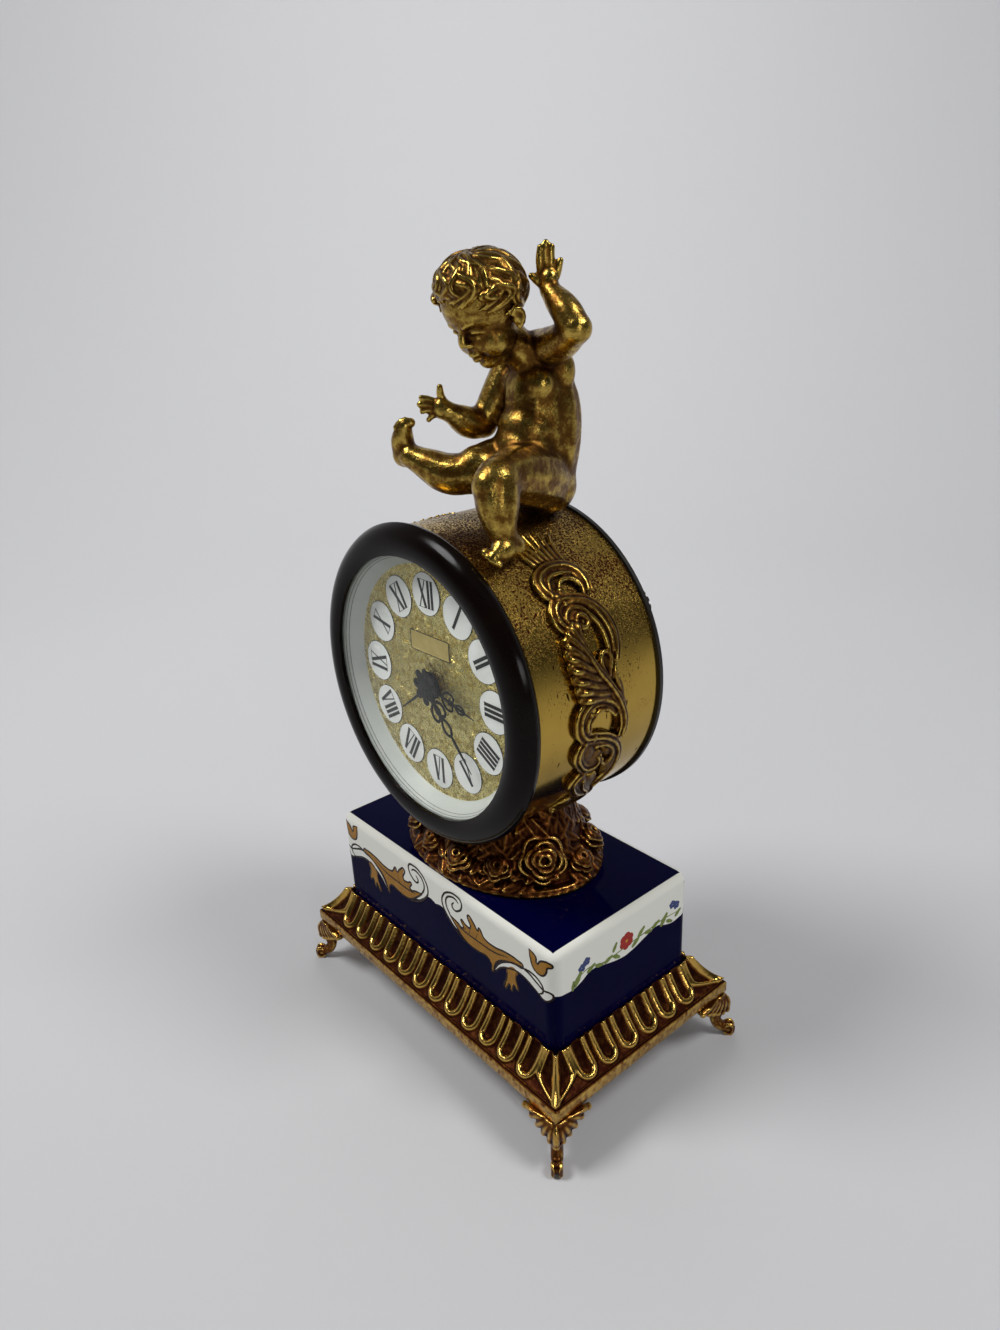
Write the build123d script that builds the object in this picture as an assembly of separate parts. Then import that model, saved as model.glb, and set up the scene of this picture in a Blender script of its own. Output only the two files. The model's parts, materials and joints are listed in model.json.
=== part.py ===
from build123d import *
import math
import os

# Gilt figural table clock: a seated putto on a drum clock, a rose mound, a porcelain plinth, a footed base.
# Millimetres, +Z up, the dial faces -Y, and the origin is the middle of the footprint on the floor.

# Shared clearances and cuts
FIT = 0.1
RUNNING_FIT = 0.05
CURVED_GAP = 0.06
OVERRUN = 1.0

# Base casting
BASE_LENGTH = 120.0
BASE_WIDTH = 72.6
RIM_HEIGHT = 4.4
BORDER_WIDTH = 8.7
BORDER_RISE = 8.4
LEDGE_THICKNESS = 2.4
LEDGE_WIDTH = 7.0
COVE_RUN_SHARE = 0.58
COVE_RISE_SHARE = 0.36
FLUTES_LONG = 12
FLUTES_SHORT = 6
CORNER_SPAN = 9.5
FLUTE_WIDTH = 4.4
FLUTE_DEPTH = 0.8
PALMETTE_RADIUS = 1.7

# Feet and their screws
FOOT_HEIGHT = 16.0
FOOT_REACH = 14.0
FOOT_WIDTH = 7.0
FOOT_INSET = 0.8
TOE_RADIUS = 2.4
TOE_LIFT = 0.3
WING_LENGTH = 13.0
WING_DROP = 7.5
WING_THICKNESS = 2.4
FOOT_FLANGE = 3.4
FOOT_SCREW_RADIUS = 1.5
FOOT_SCREW_HEAD_RADIUS = 2.5
FOOT_SCREW_HEAD = 1.4
FOOT_SCREW_GRIP = 4.0
FOOT_SCREW_INSET = 9.0
LEG_FRONT_SHARES = ((-0.03, 1.0), (0.06, 0.78), (-0.06, 0.52), (-0.2, 0.34), (-0.1, 0.2))
LEG_BACK_SHARES = ((-0.4, 0.0), (-0.46, 0.22), (-0.6, 0.46), (-1.0, 0.72))

# Bridge plate and tie rod
BRIDGE_THICKNESS = 1.6
BRIDGE_LAP = 3.5
ROD_RADIUS = 2.5
NUT_RADIUS = 4.6
NUT_HEIGHT = 3.6
ROD_SPARE = 1.6

# Porcelain plinth
PLINTH_HEIGHT = 41.5
PLINTH_WALL = 4.5
PLINTH_CORNER_RADIUS = 3.5
PLINTH_EDGE_RADIUS = 2.4

# Rose mound
MOUND_LENGTH = 71.0
MOUND_WIDTH = 51.5
MOUND_HEIGHT = 16.1
MOUND_NECK_LENGTH = 44.0
MOUND_NECK_WIDTH = 33.0
MOUND_LIP = 1.2
MOUND_MIDDLE_SHARE = 0.86
ROSE_RADIUS = 5.0
ROSE_RING_SHARE = 0.82
ROSE_HEIGHT_SHARE = 0.3
ROSE_ANGLES = (-150, -118, -90, -58, -28, 10, 42, 75, 110, 150)
ROSE_SIZE_SHARES = (0.8, 1.0, 0.75, 1.25, 0.9, 0.75, 1.0, 0.8, 1.1, 0.8)

# Drum case
DRUM_RADIUS = 44.0
DRUM_FRONT = 22.4
DRUM_BACK = 20.5
DRUM_WALL = 1.1
CASE_LEDGE_WIDTH = 2.4
CASE_LEDGE_DEPTH = 2.0
CASE_BOSS_WIDTH = 14.0
CASE_BOSS_RISE = 1.6

# Gilt scroll mounts on the drum sides
MOUNT_THICKNESS = 2.4
MOUNT_WIDTH = 17.0
MOUNT_MIDDLE = 2.0
MOUNT_START_ANGLE = 28.0
MOUNT_END_ANGLE = 139.0
MOUNT_PIN_RADIUS = 1.0
MOUNT_PIN_HEAD_RADIUS = 1.8
MOUNT_PIN_HEAD = 0.8
MOUNT_PIN_BITE = 1.4
MOUNT_PIN_ANGLES = (60.0, 110.0)
MOUNT_NOTCHES = ((33, 1), (52, -1), (60, 1), (75, -1), (88, 1), (99, -1), (117, 1), (124, -1))
MOUNT_NOTCH_SHARES = (0.16, 0.2, 0.14, 0.17, 0.2, 0.16, 0.26, 0.28)
MOUNT_HOLES = ((46, 0.12), (68, -0.1), (93, 0.05), (103, 0.2))
MOUNT_HOLE_SHARE = 0.11

# Bezel, crystal, dial ring and dial
BEZEL_RADIUS = 45.7
BEZEL_REAR_RADIUS = 43.6
BEZEL_DEPTH = 6.0
BEZEL_CROWN_SHARE = 0.48
BEZEL_HEEL_SHARES = (0.74, 0.2)
BEZEL_SHOULDER_SHARES = (0.74, 0.92)
BEZEL_OPENING = 37.4
BEZEL_LIP = 1.0
BEZEL_SKIRT = 1.3
BEZEL_SKIRT_DEPTH = 3.0
CRYSTAL_LAP = 0.9
CRYSTAL_THICKNESS = 1.3
CRYSTAL_DOME = 2.2
DIAL_DEPTH = 1.0
DIAL_THICKNESS = 0.6
DIAL_OPENING = 34.0
DIAL_HOLE = 3.7
DIAL_FOOT_RADIUS = 1.2
DIAL_FOOT_INSET = 5.0
DIAL_FOOT_ANGLES = (90, 205, 335)
PLAQUE_RADIUS = 5.9
PLAQUE_THICKNESS = 0.2
PLAQUE_CIRCLE = 26.1
HOURS = 12

# Back cover and its screws
COVER_THICKNESS = 1.2
COVER_LIP = 0.8
COVER_SKIRT = 1.3
COVER_SKIRT_DEPTH = 2.0
COVER_SCREW_RADIUS = 1.0
COVER_SCREW_HEAD_RADIUS = 1.9
COVER_SCREW_HEAD = 1.0
COVER_SCREW_GRIP = 4.0
COVER_BOSS_RADIUS = 2.6
COVER_BOSS_DEPTH = 7.0
COVER_BOSS_BITE = 0.5
COVER_SCREW_ANGLES = (15.0, 195.0)

# Movement plates, pillars and nuts
PLATE_THICKNESS = 1.4
PLATE_GAP = 18.0
FRONT_PLATE_DEPTH = 14.0
REAR_PLATE_RADIUS = 38.5
PILLAR_RADIUS = 2.0
PILLAR_CIRCLE = 31.5
PILLAR_ANGLES = (55, 165, 272)
PILLAR_STUD_RADIUS = 1.2
PILLAR_NUT_RADIUS = 2.4
PILLAR_NUT_HEIGHT = 1.8

# Wheel work
WHEEL_THICKNESS = 1.0
PINION_OVERHANG = 0.25
ARBOR_RADIUS = 0.7
PIVOT_RADIUS = 0.45
PIVOT_LENGTH = 1.2
END_SHAKE = 0.1
LEAVES = 8
BARREL_TEETH = 64
BARREL_MODULE = 0.5
CENTRE_TEETH = 64
CENTRE_MODULE = 0.45
THIRD_TEETH = 60
THIRD_MODULE = 0.4
FOURTH_TEETH = 80
FOURTH_MODULE = 0.3
ESCAPE_TEETH = 15
ESCAPE_RADIUS = 5.0
ESCAPE_ROOT_SHARE = 0.72
BARREL_ANGLE = 215.0
THIRD_ANGLE = 120.0
FOURTH_ANGLE = 20.0
ESCAPE_ANGLE = -40.0
WHEEL_TOOTH_SHARE = 0.41
LEAF_SHARE = 0.36
WHEEL_ADDENDUM_SHARE = 1.05
WHEEL_DEDENDUM_SHARE = 1.35
LEAF_ADDENDUM_SHARE = 0.62
LEAF_DEDENDUM_SHARE = 1.4
CROSSING_COUNT = 5
CROSSING_SHARE = 0.21
CROSSING_CIRCLE_SHARE = 0.56

# Depths of the wheels' rear faces, from the drum's middle towards the dial
BARREL_WHEEL_DEPTH = 12.2
CENTRE_WHEEL_DEPTH = 3.6
THIRD_WHEEL_DEPTH = 1.6
FOURTH_WHEEL_DEPTH = -0.4
ESCAPE_WHEEL_DEPTH = -2.4

# Barrels, mainsprings, winding arbors, clicks and keys
BARREL_RADIUS = 12.6
BARREL_WALL = 0.8
BARREL_HEIGHT = 6.6
BARREL_ARBOR_RADIUS = 1.9
SPRING_STRIP = 0.4
SPRING_HEIGHT = 5.4
SPRING_TURNS = 7
SPRING_STEPS = 20
RATCHET_TEETH = 12
RATCHET_RADIUS = 4.6
RATCHET_ROOT_SHARE = 0.8
RATCHET_GAP = 0.5
CLICK_LENGTH = 6.0
CLICK_RADIUS = 1.4
CLICK_STUD_RADIUS = 0.7
CLICK_CLEARANCE = 0.3
CLICK_ANGLE = 100.0
KEY_HUB_RADIUS = 3.2
KEY_STANDOFF = 1.4
KEY_LENGTH = 13.0
KEY_WING_RADIUS = 4.8
KEY_WING_SPREAD = 5.6
KEY_THICKNESS = 1.8
KEY_EYE_RADIUS = 1.6

# Hands, motion work and the setting knob
CENTRE_ARBOR_RADIUS = 0.9
PIPE_WALL = 0.7
CANNON_TEETH = 12
MINUTE_TEETH = 36
MINUTE_LEAVES = 10
HOUR_TEETH = 40
MOTION_MODULE = 0.5
MOTION_ANGLE = 250.0
MOTION_STUD_RADIUS = 0.8
LAYER_GAP = 0.5
HAND_THICKNESS = 0.4
HAND_GAP = 0.5
MINUTE_HAND_LENGTH = 27.0
HOUR_HAND_LENGTH = 20.0
ALARM_HAND_LENGTH = 18.6
ROSETTE_RADIUS = 4.2
ROSETTE_LOBES = 6
HAND_WIDTH = 1.0
MINUTE_HAND_ANGLE = 138.0
HOUR_HAND_ANGLE = 101.5
ALARM_HAND_ANGLE = 233.0
LOOP_PLACE_SHARES = (0.34, 0.34, 0.5)
LOOP_SIDE_SHARES = (-0.085, 0.085, 0.0)
LOOP_RADIUS_SHARES = (0.085, 0.085, 0.07)
SET_KNOB_RADIUS = 5.0
SET_KNOB_LENGTH = 7.0
KNOB_STANDOFF = 1.2
KNOB_GRIPS = 16
KNOB_GRIP_SHARE = 0.09

# Alarm setting
ALARM_TEETH = 72
ALARM_LEAVES = 28
ALARM_MODULE = 0.61
ALARM_SET_ANGLE = 30.0
ALARM_ARBOR_RADIUS = 1.2
ALARM_KNOB_RADIUS = 6.0
ALARM_KNOB_LENGTH = 8.0

# Alarm train
ALARM_BARREL_TEETH = 50
ALARM_BARREL_MODULE = 0.5
ALARM_BARREL_RADIUS = 10.4
ALARM_ESCAPE_LEAVES = 10
ALARM_BARREL_DISTANCE = 20.0
ALARM_BARREL_ANGLE = -35.0
ALARM_ESCAPE_ANGLE = -60.0
ALARM_RATTLE_TEETH = 12
ALARM_RATTLE_RADIUS = 4.0
ALARM_RATTLE_DEPTH = -2.4
HAMMER_DISTANCE = 6.4
HAMMER_ANGLE = -150.0
HAMMER_LENGTH = 11.0
HAMMER_HEAD_RADIUS = 2.0
HAMMER_HEAD_LENGTH = 4.0
HAMMER_ROD_RADIUS = 0.6

# Lever, balance, hairspring and cock
LEVER_DISTANCE = 6.6
LEVER_LENGTH = 7.6
LEVER_WIDTH = 1.3
LEVER_PIN_RADIUS = 0.3
LEVER_PIN_CLEARANCE = 0.45
LEVER_PIN_ANGLE = 32.0
BALANCE_X = 27.5
BALANCE_Y = -1.0
BALANCE_RADIUS = 8.0
BALANCE_RIM = 1.2
BALANCE_THICKNESS = 1.2
BALANCE_DEPTH = -9.0
ROLLER_RADIUS = 1.3
HAIRSPRING_STRIP = 0.2
HAIRSPRING_HEIGHT = 0.6
HAIRSPRING_INNER = 1.3
HAIRSPRING_OUTER = 4.6
HAIRSPRING_TURNS = 6
COCK_WIDTH = 6.0
COCK_THICKNESS = 1.4
COCK_GAP = 3.2
COCK_REACH = 11.5
COCK_ANGLE = 75.0

# Alarm stop button
BUTTON_X = -12.0
BUTTON_Y = 27.0
BUTTON_RADIUS = 2.2
BUTTON_STANDOUT = 6.0
BUTTON_TRAVEL = 3.0
BUTTON_COLLAR_RADIUS = 3.2
BUTTON_COLLAR = 1.0

# Putto: places and radii as shares of its height above the drum
FIGURE_HEIGHT = 66.0
FIGURE_SCREW_RADIUS = 1.8
FIGURE_SCREW_BITE = 7.0
FIGURE_NUT_RADIUS = 3.4
FIGURE_NUT_HEIGHT = 2.4
SEAT_SHARES = (0.12, 0.18)
BODY_SHARES = (
    ((0.12, 0.19, 0.16), (0.135, 0.14, 0.26), 0.165, 0.17),
    ((0.135, 0.14, 0.26), (0.145, 0.135, 0.47), 0.17, 0.14),
    ((0.05, 0.165, 0.53), (0.24, 0.13, 0.56), 0.085, 0.085),
    ((0.145, 0.12, 0.54), (0.15, 0.04, 0.68), 0.075, 0.075),
)
LEG_SHARES = (
    ((0.2, 0.15, 0.14), (0.333, -0.2, 0.205), 0.12, 0.09),
    ((0.333, -0.2, 0.205), (0.385, -0.245, -0.02), 0.088, 0.052),
    ((0.385, -0.235, -0.045), (0.45, -0.29, -0.125), 0.056, 0.04),
    ((0.035, 0.2, 0.14), (0.06, -0.076, 0.215), 0.12, 0.09),
    ((0.06, -0.076, 0.215), (-0.17, -0.225, 0.25), 0.088, 0.052),
    ((-0.235, -0.215, 0.25), (-0.185, -0.265, 0.35), 0.052, 0.04),
    ((-0.17, -0.225, 0.25), (-0.235, -0.215, 0.25), 0.05, 0.052),
)
ARM_SHARES = (
    ((0.273, 0.136, 0.59), (0.44, 0.106, 0.71), 0.07, 0.054),
    ((0.44, 0.106, 0.71), (0.285, 0.117, 0.825), 0.055, 0.038),
    ((0.285, 0.117, 0.825), (0.28, 0.115, 0.89), 0.036, 0.04),
    ((0.008, 0.16, 0.56), (-0.045, 0.04, 0.341), 0.07, 0.054),
    ((-0.045, 0.04, 0.341), (-0.06, -0.114, 0.41), 0.055, 0.038),
    ((-0.06, -0.114, 0.41), (-0.1, -0.15, 0.428), 0.036, 0.04),
)
FINGER_SHARES = (
    ((0.27, 0.11, 0.9), (0.255, 0.1, 0.975), 0.014),
    ((0.28, 0.115, 0.9), (0.277, 0.112, 0.984), 0.014),
    ((0.295, 0.12, 0.895), (0.31, 0.122, 0.965), 0.013),
    ((0.26, 0.105, 0.88), (0.225, 0.08, 0.905), 0.014),
    ((0.305, 0.125, 0.885), (0.342, 0.135, 0.93), 0.012),
    ((-0.1, -0.155, 0.44), (-0.155, -0.2, 0.47), 0.014),
    ((-0.105, -0.155, 0.43), (-0.17, -0.2, 0.44), 0.014),
    ((-0.105, -0.15, 0.42), (-0.168, -0.19, 0.41), 0.014),
    ((-0.1, -0.145, 0.41), (-0.15, -0.175, 0.375), 0.012),
    ((-0.085, -0.145, 0.445), (-0.095, -0.165, 0.505), 0.014),
)
HEAD_SHARES = (
    ((0.145, -0.05, 0.81), (0.155, -0.085, 0.755), 0.186, 0.16),
    ((0.14, -0.02, 0.85), (0.15, 0.02, 0.8), 0.15, 0.15),
    ((0.17, -0.23, 0.735), (0.175, -0.245, 0.72), 0.024, 0.028),
    ((0.14, -0.16, 0.64), (0.15, -0.15, 0.635), 0.07, 0.07),
)
CURL_RADIUS_SHARE = 0.06
CURL_RING_SHARE = 0.15
CURL_DIRECTIONS = (
    (-150, 8), (-112, 0), (-76, 8), (178, -12), (150, -34), (112, -18), (80, 6),
    (-128, 42), (-78, 44), (84, 40), (-28, 50), (32, 54), (-172, 38), (0, 72),
)


# Places that follow from the sizes
RIM_TOP = FOOT_HEIGHT + RIM_HEIGHT
BORDER_TOP = RIM_TOP + BORDER_RISE
LEDGE_TOP = FOOT_HEIGHT + LEDGE_THICKNESS
OPENING_LENGTH = BASE_LENGTH - 2 * BORDER_WIDTH
OPENING_WIDTH = BASE_WIDTH - 2 * BORDER_WIDTH
PLINTH_LENGTH = OPENING_LENGTH - 2 * FIT
PLINTH_WIDTH = OPENING_WIDTH - 2 * FIT
PLINTH_TOP = LEDGE_TOP + PLINTH_HEIGHT
DRUM_BOTTOM = PLINTH_TOP + MOUND_HEIGHT
DRUM_CENTRE = DRUM_BOTTOM + DRUM_RADIUS
DRUM_TOP = DRUM_CENTRE + DRUM_RADIUS
DRUM_INSIDE = DRUM_RADIUS - DRUM_WALL
REAR_PLATE_DEPTH = FRONT_PLATE_DEPTH - PLATE_GAP - PLATE_THICKNESS
FRONT_PLATE_FACE = FRONT_PLATE_DEPTH + PLATE_THICKNESS
COVER_FACE = -DRUM_BACK - COVER_THICKNESS
DIAL_FACE = DRUM_FRONT - DIAL_DEPTH
DIAL_BACK = DIAL_FACE - DIAL_THICKNESS
BEZEL_FRONT = DRUM_FRONT + BEZEL_DEPTH
CRYSTAL_RADIUS = BEZEL_OPENING + CRYSTAL_LAP
CRYSTAL_FRONT = BEZEL_FRONT - BEZEL_LIP
CRYSTAL_BACK = CRYSTAL_FRONT - CRYSTAL_THICKNESS
SKIRT_INSIDE = DRUM_INSIDE - FIT - BEZEL_SKIRT
MOUNT_INSIDE = DRUM_RADIUS + CURVED_GAP
MOUNT_OUTSIDE = DRUM_RADIUS + MOUNT_THICKNESS
HOUR_MODULE = MOTION_MODULE * (CANNON_TEETH + MINUTE_TEETH) / (MINUTE_LEAVES + HOUR_TEETH)
CANNON_PIPE = CENTRE_ARBOR_RADIUS + PIPE_WALL
HOUR_PIPE = CANNON_PIPE + RUNNING_FIT + PIPE_WALL
ALARM_PIPE = HOUR_PIPE + RUNNING_FIT + PIPE_WALL
MOTION_LAYER = FRONT_PLATE_FACE + LAYER_GAP
HOUR_LAYER = MOTION_LAYER + WHEEL_THICKNESS + LAYER_GAP
ALARM_LAYER = HOUR_LAYER + WHEEL_THICKNESS + LAYER_GAP
ALARM_HAND_DEPTH = DIAL_FACE + PLAQUE_THICKNESS + HAND_GAP
HOUR_HAND_DEPTH = ALARM_HAND_DEPTH + HAND_THICKNESS + HAND_GAP
MINUTE_HAND_DEPTH = HOUR_HAND_DEPTH + HAND_THICKNESS + HAND_GAP
CLOCK = Plane((0, 0, DRUM_CENTRE), x_dir=(1, 0, 0), z_dir=(0, -1, 0))


def polar(radius, angle):
    """Point at a radius and an angle in degrees, counted anticlockwise from +X as the dial is seen."""
    return radius * math.cos(math.radians(angle)), radius * math.sin(math.radians(angle))


def moved(place, radius, angle):
    """Point at a radius and an angle from a place."""
    step = polar(radius, angle)
    return place[0] + step[0], place[1] + step[1]


def mesh_distance(module, teeth, leaves):
    """Centre distance of a wheel and a pinion in mesh."""
    return module * (teeth + leaves) / 2


# Arbor places on the plates, seen from the dial
CENTRE = (0.0, 0.0)
BARREL = moved(CENTRE, mesh_distance(BARREL_MODULE, BARREL_TEETH, LEAVES), BARREL_ANGLE)
THIRD = moved(CENTRE, mesh_distance(CENTRE_MODULE, CENTRE_TEETH, LEAVES), THIRD_ANGLE)
FOURTH = moved(THIRD, mesh_distance(THIRD_MODULE, THIRD_TEETH, LEAVES), FOURTH_ANGLE)
ESCAPE = moved(FOURTH, mesh_distance(FOURTH_MODULE, FOURTH_TEETH, LEAVES), ESCAPE_ANGLE)
BALANCE = (BALANCE_X, BALANCE_Y)
LEVER_LINE = math.degrees(math.atan2(BALANCE[1] - ESCAPE[1], BALANCE[0] - ESCAPE[0]))
LEVER = moved(ESCAPE, LEVER_DISTANCE, LEVER_LINE)
MOTION = moved(CENTRE, mesh_distance(MOTION_MODULE, CANNON_TEETH, MINUTE_TEETH), MOTION_ANGLE)
ALARM_SET = moved(CENTRE, mesh_distance(ALARM_MODULE, ALARM_TEETH, ALARM_LEAVES), ALARM_SET_ANGLE)
ALARM_BARREL = moved(CENTRE, ALARM_BARREL_DISTANCE, ALARM_BARREL_ANGLE)
ALARM_MESH = mesh_distance(ALARM_BARREL_MODULE, ALARM_BARREL_TEETH, ALARM_ESCAPE_LEAVES)
ALARM_ESCAPE = moved(ALARM_BARREL, ALARM_MESH, ALARM_ESCAPE_ANGLE)
HAMMER = moved(ALARM_ESCAPE, HAMMER_DISTANCE, HAMMER_ANGLE)
BUTTON = (BUTTON_X, BUTTON_Y)
PILLARS = [polar(PILLAR_CIRCLE, angle) for angle in PILLAR_ANGLES]
COVER_SCREW_CIRCLE = DRUM_INSIDE - COVER_BOSS_RADIUS + COVER_BOSS_BITE
COVER_SCREWS = [polar(COVER_SCREW_CIRCLE, angle) for angle in COVER_SCREW_ANGLES]
RATCHET_DEPTH = REAR_PLATE_DEPTH - RATCHET_GAP - WHEEL_THICKNESS


def rod(radius, start, end, at=CENTRE):
    """Round bar along the clock's depth between two depths."""
    return Pos(at[0], at[1], (start + end) / 2) * Cylinder(radius, end - start)


def pipe(outer, inner, start, end, at=CENTRE):
    """Round tube along the clock's depth between two depths."""
    return rod(outer, start, end, at) - rod(inner, start, end, at)


def plate_of(face, start, end, at=CENTRE):
    """Flat outline made into a plate between two depths."""
    return Pos(at[0], at[1], start) * extrude(face, end - start)


def upright(radius, bottom, top, x=0.0, y=0.0):
    """Round bar along Z."""
    return Pos(x, y, (bottom + top) / 2) * Cylinder(radius, top - bottom)


def hexagon_nut(radius, bore, height):
    """Hexagon nut standing on the XY plane."""
    return extrude(RegularPolygon(radius, 6) - Circle(bore), height)


# Teeth
def epicycloid(pitch_radius, rolling_radius, tip_radius, step_share):
    """Radius and angle in degrees of a point of an epicycloid, part of the way to its tip."""
    reach = pitch_radius + rolling_radius
    cosine = (reach ** 2 + rolling_radius ** 2 - tip_radius ** 2) / (2 * reach * rolling_radius)
    turn = math.acos(max(-1.0, min(1.0, cosine))) * rolling_radius / pitch_radius * step_share
    roll = turn * reach / rolling_radius
    x = reach * math.cos(turn) - rolling_radius * math.cos(roll)
    y = reach * math.sin(turn) - rolling_radius * math.sin(roll)
    return math.hypot(x, y), math.degrees(math.atan2(y, x))


def wheel_outline(teeth, module, mate_teeth, facing):
    """Outline of a clock wheel, with a tooth centred on the facing angle."""
    pitch_radius = module * teeth / 2
    pitch = 360 / teeth
    half = pitch * WHEEL_TOOTH_SHARE / 2
    root = pitch_radius - module * WHEEL_DEDENDUM_SHARE
    tip = pitch_radius + module * WHEEL_ADDENDUM_SHARE
    flank = [epicycloid(pitch_radius, module * mate_teeth / 4, tip, step / 3) for step in (1, 2, 3)]
    rising = [(root, -half), (pitch_radius, -half)]
    rising += [(radius, min(angle - half, -half / 8)) for radius, angle in flank]
    tooth = rising + [(radius, -angle) for radius, angle in reversed(rising)]
    points = [
        polar(radius, facing + index * pitch + angle)
        for index in range(teeth)
        for radius, angle in tooth
    ]
    return make_face(Polyline(*points, close=True))


def pinion_outline(leaves, module, facing):
    """Outline of a pinion, with a gap centred on the facing angle."""
    pitch_radius = module * leaves / 2
    pitch = 360 / leaves
    half = pitch * LEAF_SHARE / 2
    root = pitch_radius - module * LEAF_DEDENDUM_SHARE
    crown = module * LEAF_ADDENDUM_SHARE
    rising = [(root, -half), (pitch_radius, -half)]
    rising += [(pitch_radius + crown * 0.6, -half * 0.75), (pitch_radius + crown, -half * 0.3)]
    leaf = rising + [(radius, -angle) for radius, angle in reversed(rising)]
    points = [
        polar(radius, facing + (index + 0.5) * pitch + angle)
        for index in range(leaves)
        for radius, angle in leaf
    ]
    return make_face(Polyline(*points, close=True))


def saw_outline(teeth, tip_radius, root_share, facing):
    """Outline of a ratchet or escape wheel with leaning pointed teeth."""
    pitch = 360 / teeth
    corners = ((root_share, 0.0), (1.0, 0.06), (1.0, 0.14), (root_share, 0.5))
    points = [
        polar(tip_radius * share, facing + (index + turn_share) * pitch)
        for index in range(teeth)
        for share, turn_share in corners
    ]
    return make_face(Polyline(*points, close=True))


def crossings(radius):
    """Round windows between the arms of a wheel."""
    places = PolarLocations(radius * CROSSING_CIRCLE_SHARE, CROSSING_COUNT)
    return places * Circle(radius * CROSSING_SHARE)


def arbor(at, radius):
    """Arbor between the plates, with a pivot in each plate."""
    start = REAR_PLATE_DEPTH + PLATE_THICKNESS + END_SHAKE
    end = FRONT_PLATE_DEPTH - END_SHAKE
    return rod(radius, start, end, at) + rod(PIVOT_RADIUS, start - PIVOT_LENGTH, end + PIVOT_LENGTH, at)


def pivot_hole(at, depth):
    """Hole through a movement plate for a pivot."""
    return rod(PIVOT_RADIUS + RUNNING_FIT, depth - OVERRUN, depth + PLATE_THICKNESS + OVERRUN, at)


def pinion(leaves, module, facing, depth, at):
    """Pinion as long as the wheel that drives it, with a little overhang."""
    face = pinion_outline(leaves, module, facing)
    return plate_of(face, depth - PINION_OVERHANG, depth + WHEEL_THICKNESS + PINION_OVERHANG, at)


# Base, feet and plinth
def border_section(length, width, height):
    """Rectangle of the base casting at a height."""
    return Pos(0, 0, height) * Rectangle(length, width)


def flute_cutter(length):
    """Round-ended groove lying on the border's slope, with its round end at the rim."""
    groove = Rectangle(FLUTE_WIDTH, length) + Pos(0, -length / 2) * Circle(FLUTE_WIDTH / 2)
    return extrude(groove, BORDER_WIDTH)


def flute_row(count, side, reach):
    """Groove cutters along one side of the border, for a side on -Y."""
    slope = math.hypot(BORDER_WIDTH, BORDER_RISE)
    sag = slope * (COVE_RUN_SHARE - COVE_RISE_SHARE) / 2
    span = side - 2 * CORNER_SPAN
    middle = (-reach / 2 + BORDER_WIDTH / 2, RIM_TOP + BORDER_RISE / 2)
    normal = (0, -BORDER_RISE, BORDER_WIDTH)
    pitch = span / count
    length = slope - FLUTE_WIDTH / 2
    cutters = []
    for index in range(count):
        x = -span / 2 + (index + 0.5) * pitch
        plane = Plane((x, middle[0], middle[1]), x_dir=(1, 0, 0), z_dir=normal)
        cutters.append(plane * Pos(0, FLUTE_WIDTH / 2, -sag - FLUTE_DEPTH) * flute_cutter(length))
    return cutters


def base_frame():
    """Cast base: rim band, coved border with a flute pattern, and the ledge under the plinth."""
    knee = BORDER_WIDTH * COVE_RUN_SHARE
    knee_top = RIM_TOP + BORDER_RISE * COVE_RISE_SHARE
    rim = Pos(0, 0, FOOT_HEIGHT) * extrude(Rectangle(BASE_LENGTH, BASE_WIDTH), RIM_HEIGHT)
    levels = [
        border_section(BASE_LENGTH, BASE_WIDTH, RIM_TOP),
        border_section(BASE_LENGTH - 2 * knee, BASE_WIDTH - 2 * knee, knee_top),
        border_section(OPENING_LENGTH, OPENING_WIDTH, BORDER_TOP),
    ]
    body = rim + loft(levels, ruled=True)
    for sx in (-1, 1):
        for sy in (-1, 1):
            body += palmette_rib(sx, sy)
    pocket = Pos(0, 0, LEDGE_TOP) * extrude(Rectangle(OPENING_LENGTH, OPENING_WIDTH), BORDER_TOP)
    window = Rectangle(OPENING_LENGTH - 2 * LEDGE_WIDTH, OPENING_WIDTH - 2 * LEDGE_WIDTH)
    long_row = flute_row(FLUTES_LONG, BASE_LENGTH, BASE_WIDTH)
    short_row = flute_row(FLUTES_SHORT, BASE_WIDTH, BASE_LENGTH)
    cutters = [pocket, extrude(window, BORDER_TOP)]
    cutters += [Rot(0, 0, turn) * cutter for turn in (0, 180) for cutter in long_row]
    cutters += [Rot(0, 0, turn) * cutter for turn in (90, 270) for cutter in short_row]
    cutters += [upright(FOOT_SCREW_RADIUS + FIT, 0, FOOT_HEIGHT + FOOT_SCREW_GRIP + FIT, x, y)
                for x, y in foot_screw_places()]
    return body - cutters


def palmette_rib(sx, sy):
    """Raised rib up one corner of the border, with a round foot on the rim."""
    start = Vector(sx * (BASE_LENGTH / 2 - PALMETTE_RADIUS), sy * (BASE_WIDTH / 2 - PALMETTE_RADIUS), RIM_TOP)
    end = Vector(sx * OPENING_LENGTH / 2, sy * OPENING_WIDTH / 2, BORDER_TOP - PALMETTE_RADIUS)
    return limb(start, end, PALMETTE_RADIUS, PALMETTE_RADIUS / 2)


def foot_screw_places():
    """Places of the four foot screws, on the corners' diagonals."""
    inset = FOOT_SCREW_INSET / math.sqrt(2)
    x = BASE_LENGTH / 2 - inset
    y = BASE_WIDTH / 2 - inset
    return [(sx * x, sy * y) for sx in (-1, 1) for sy in (-1, 1)]


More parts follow.
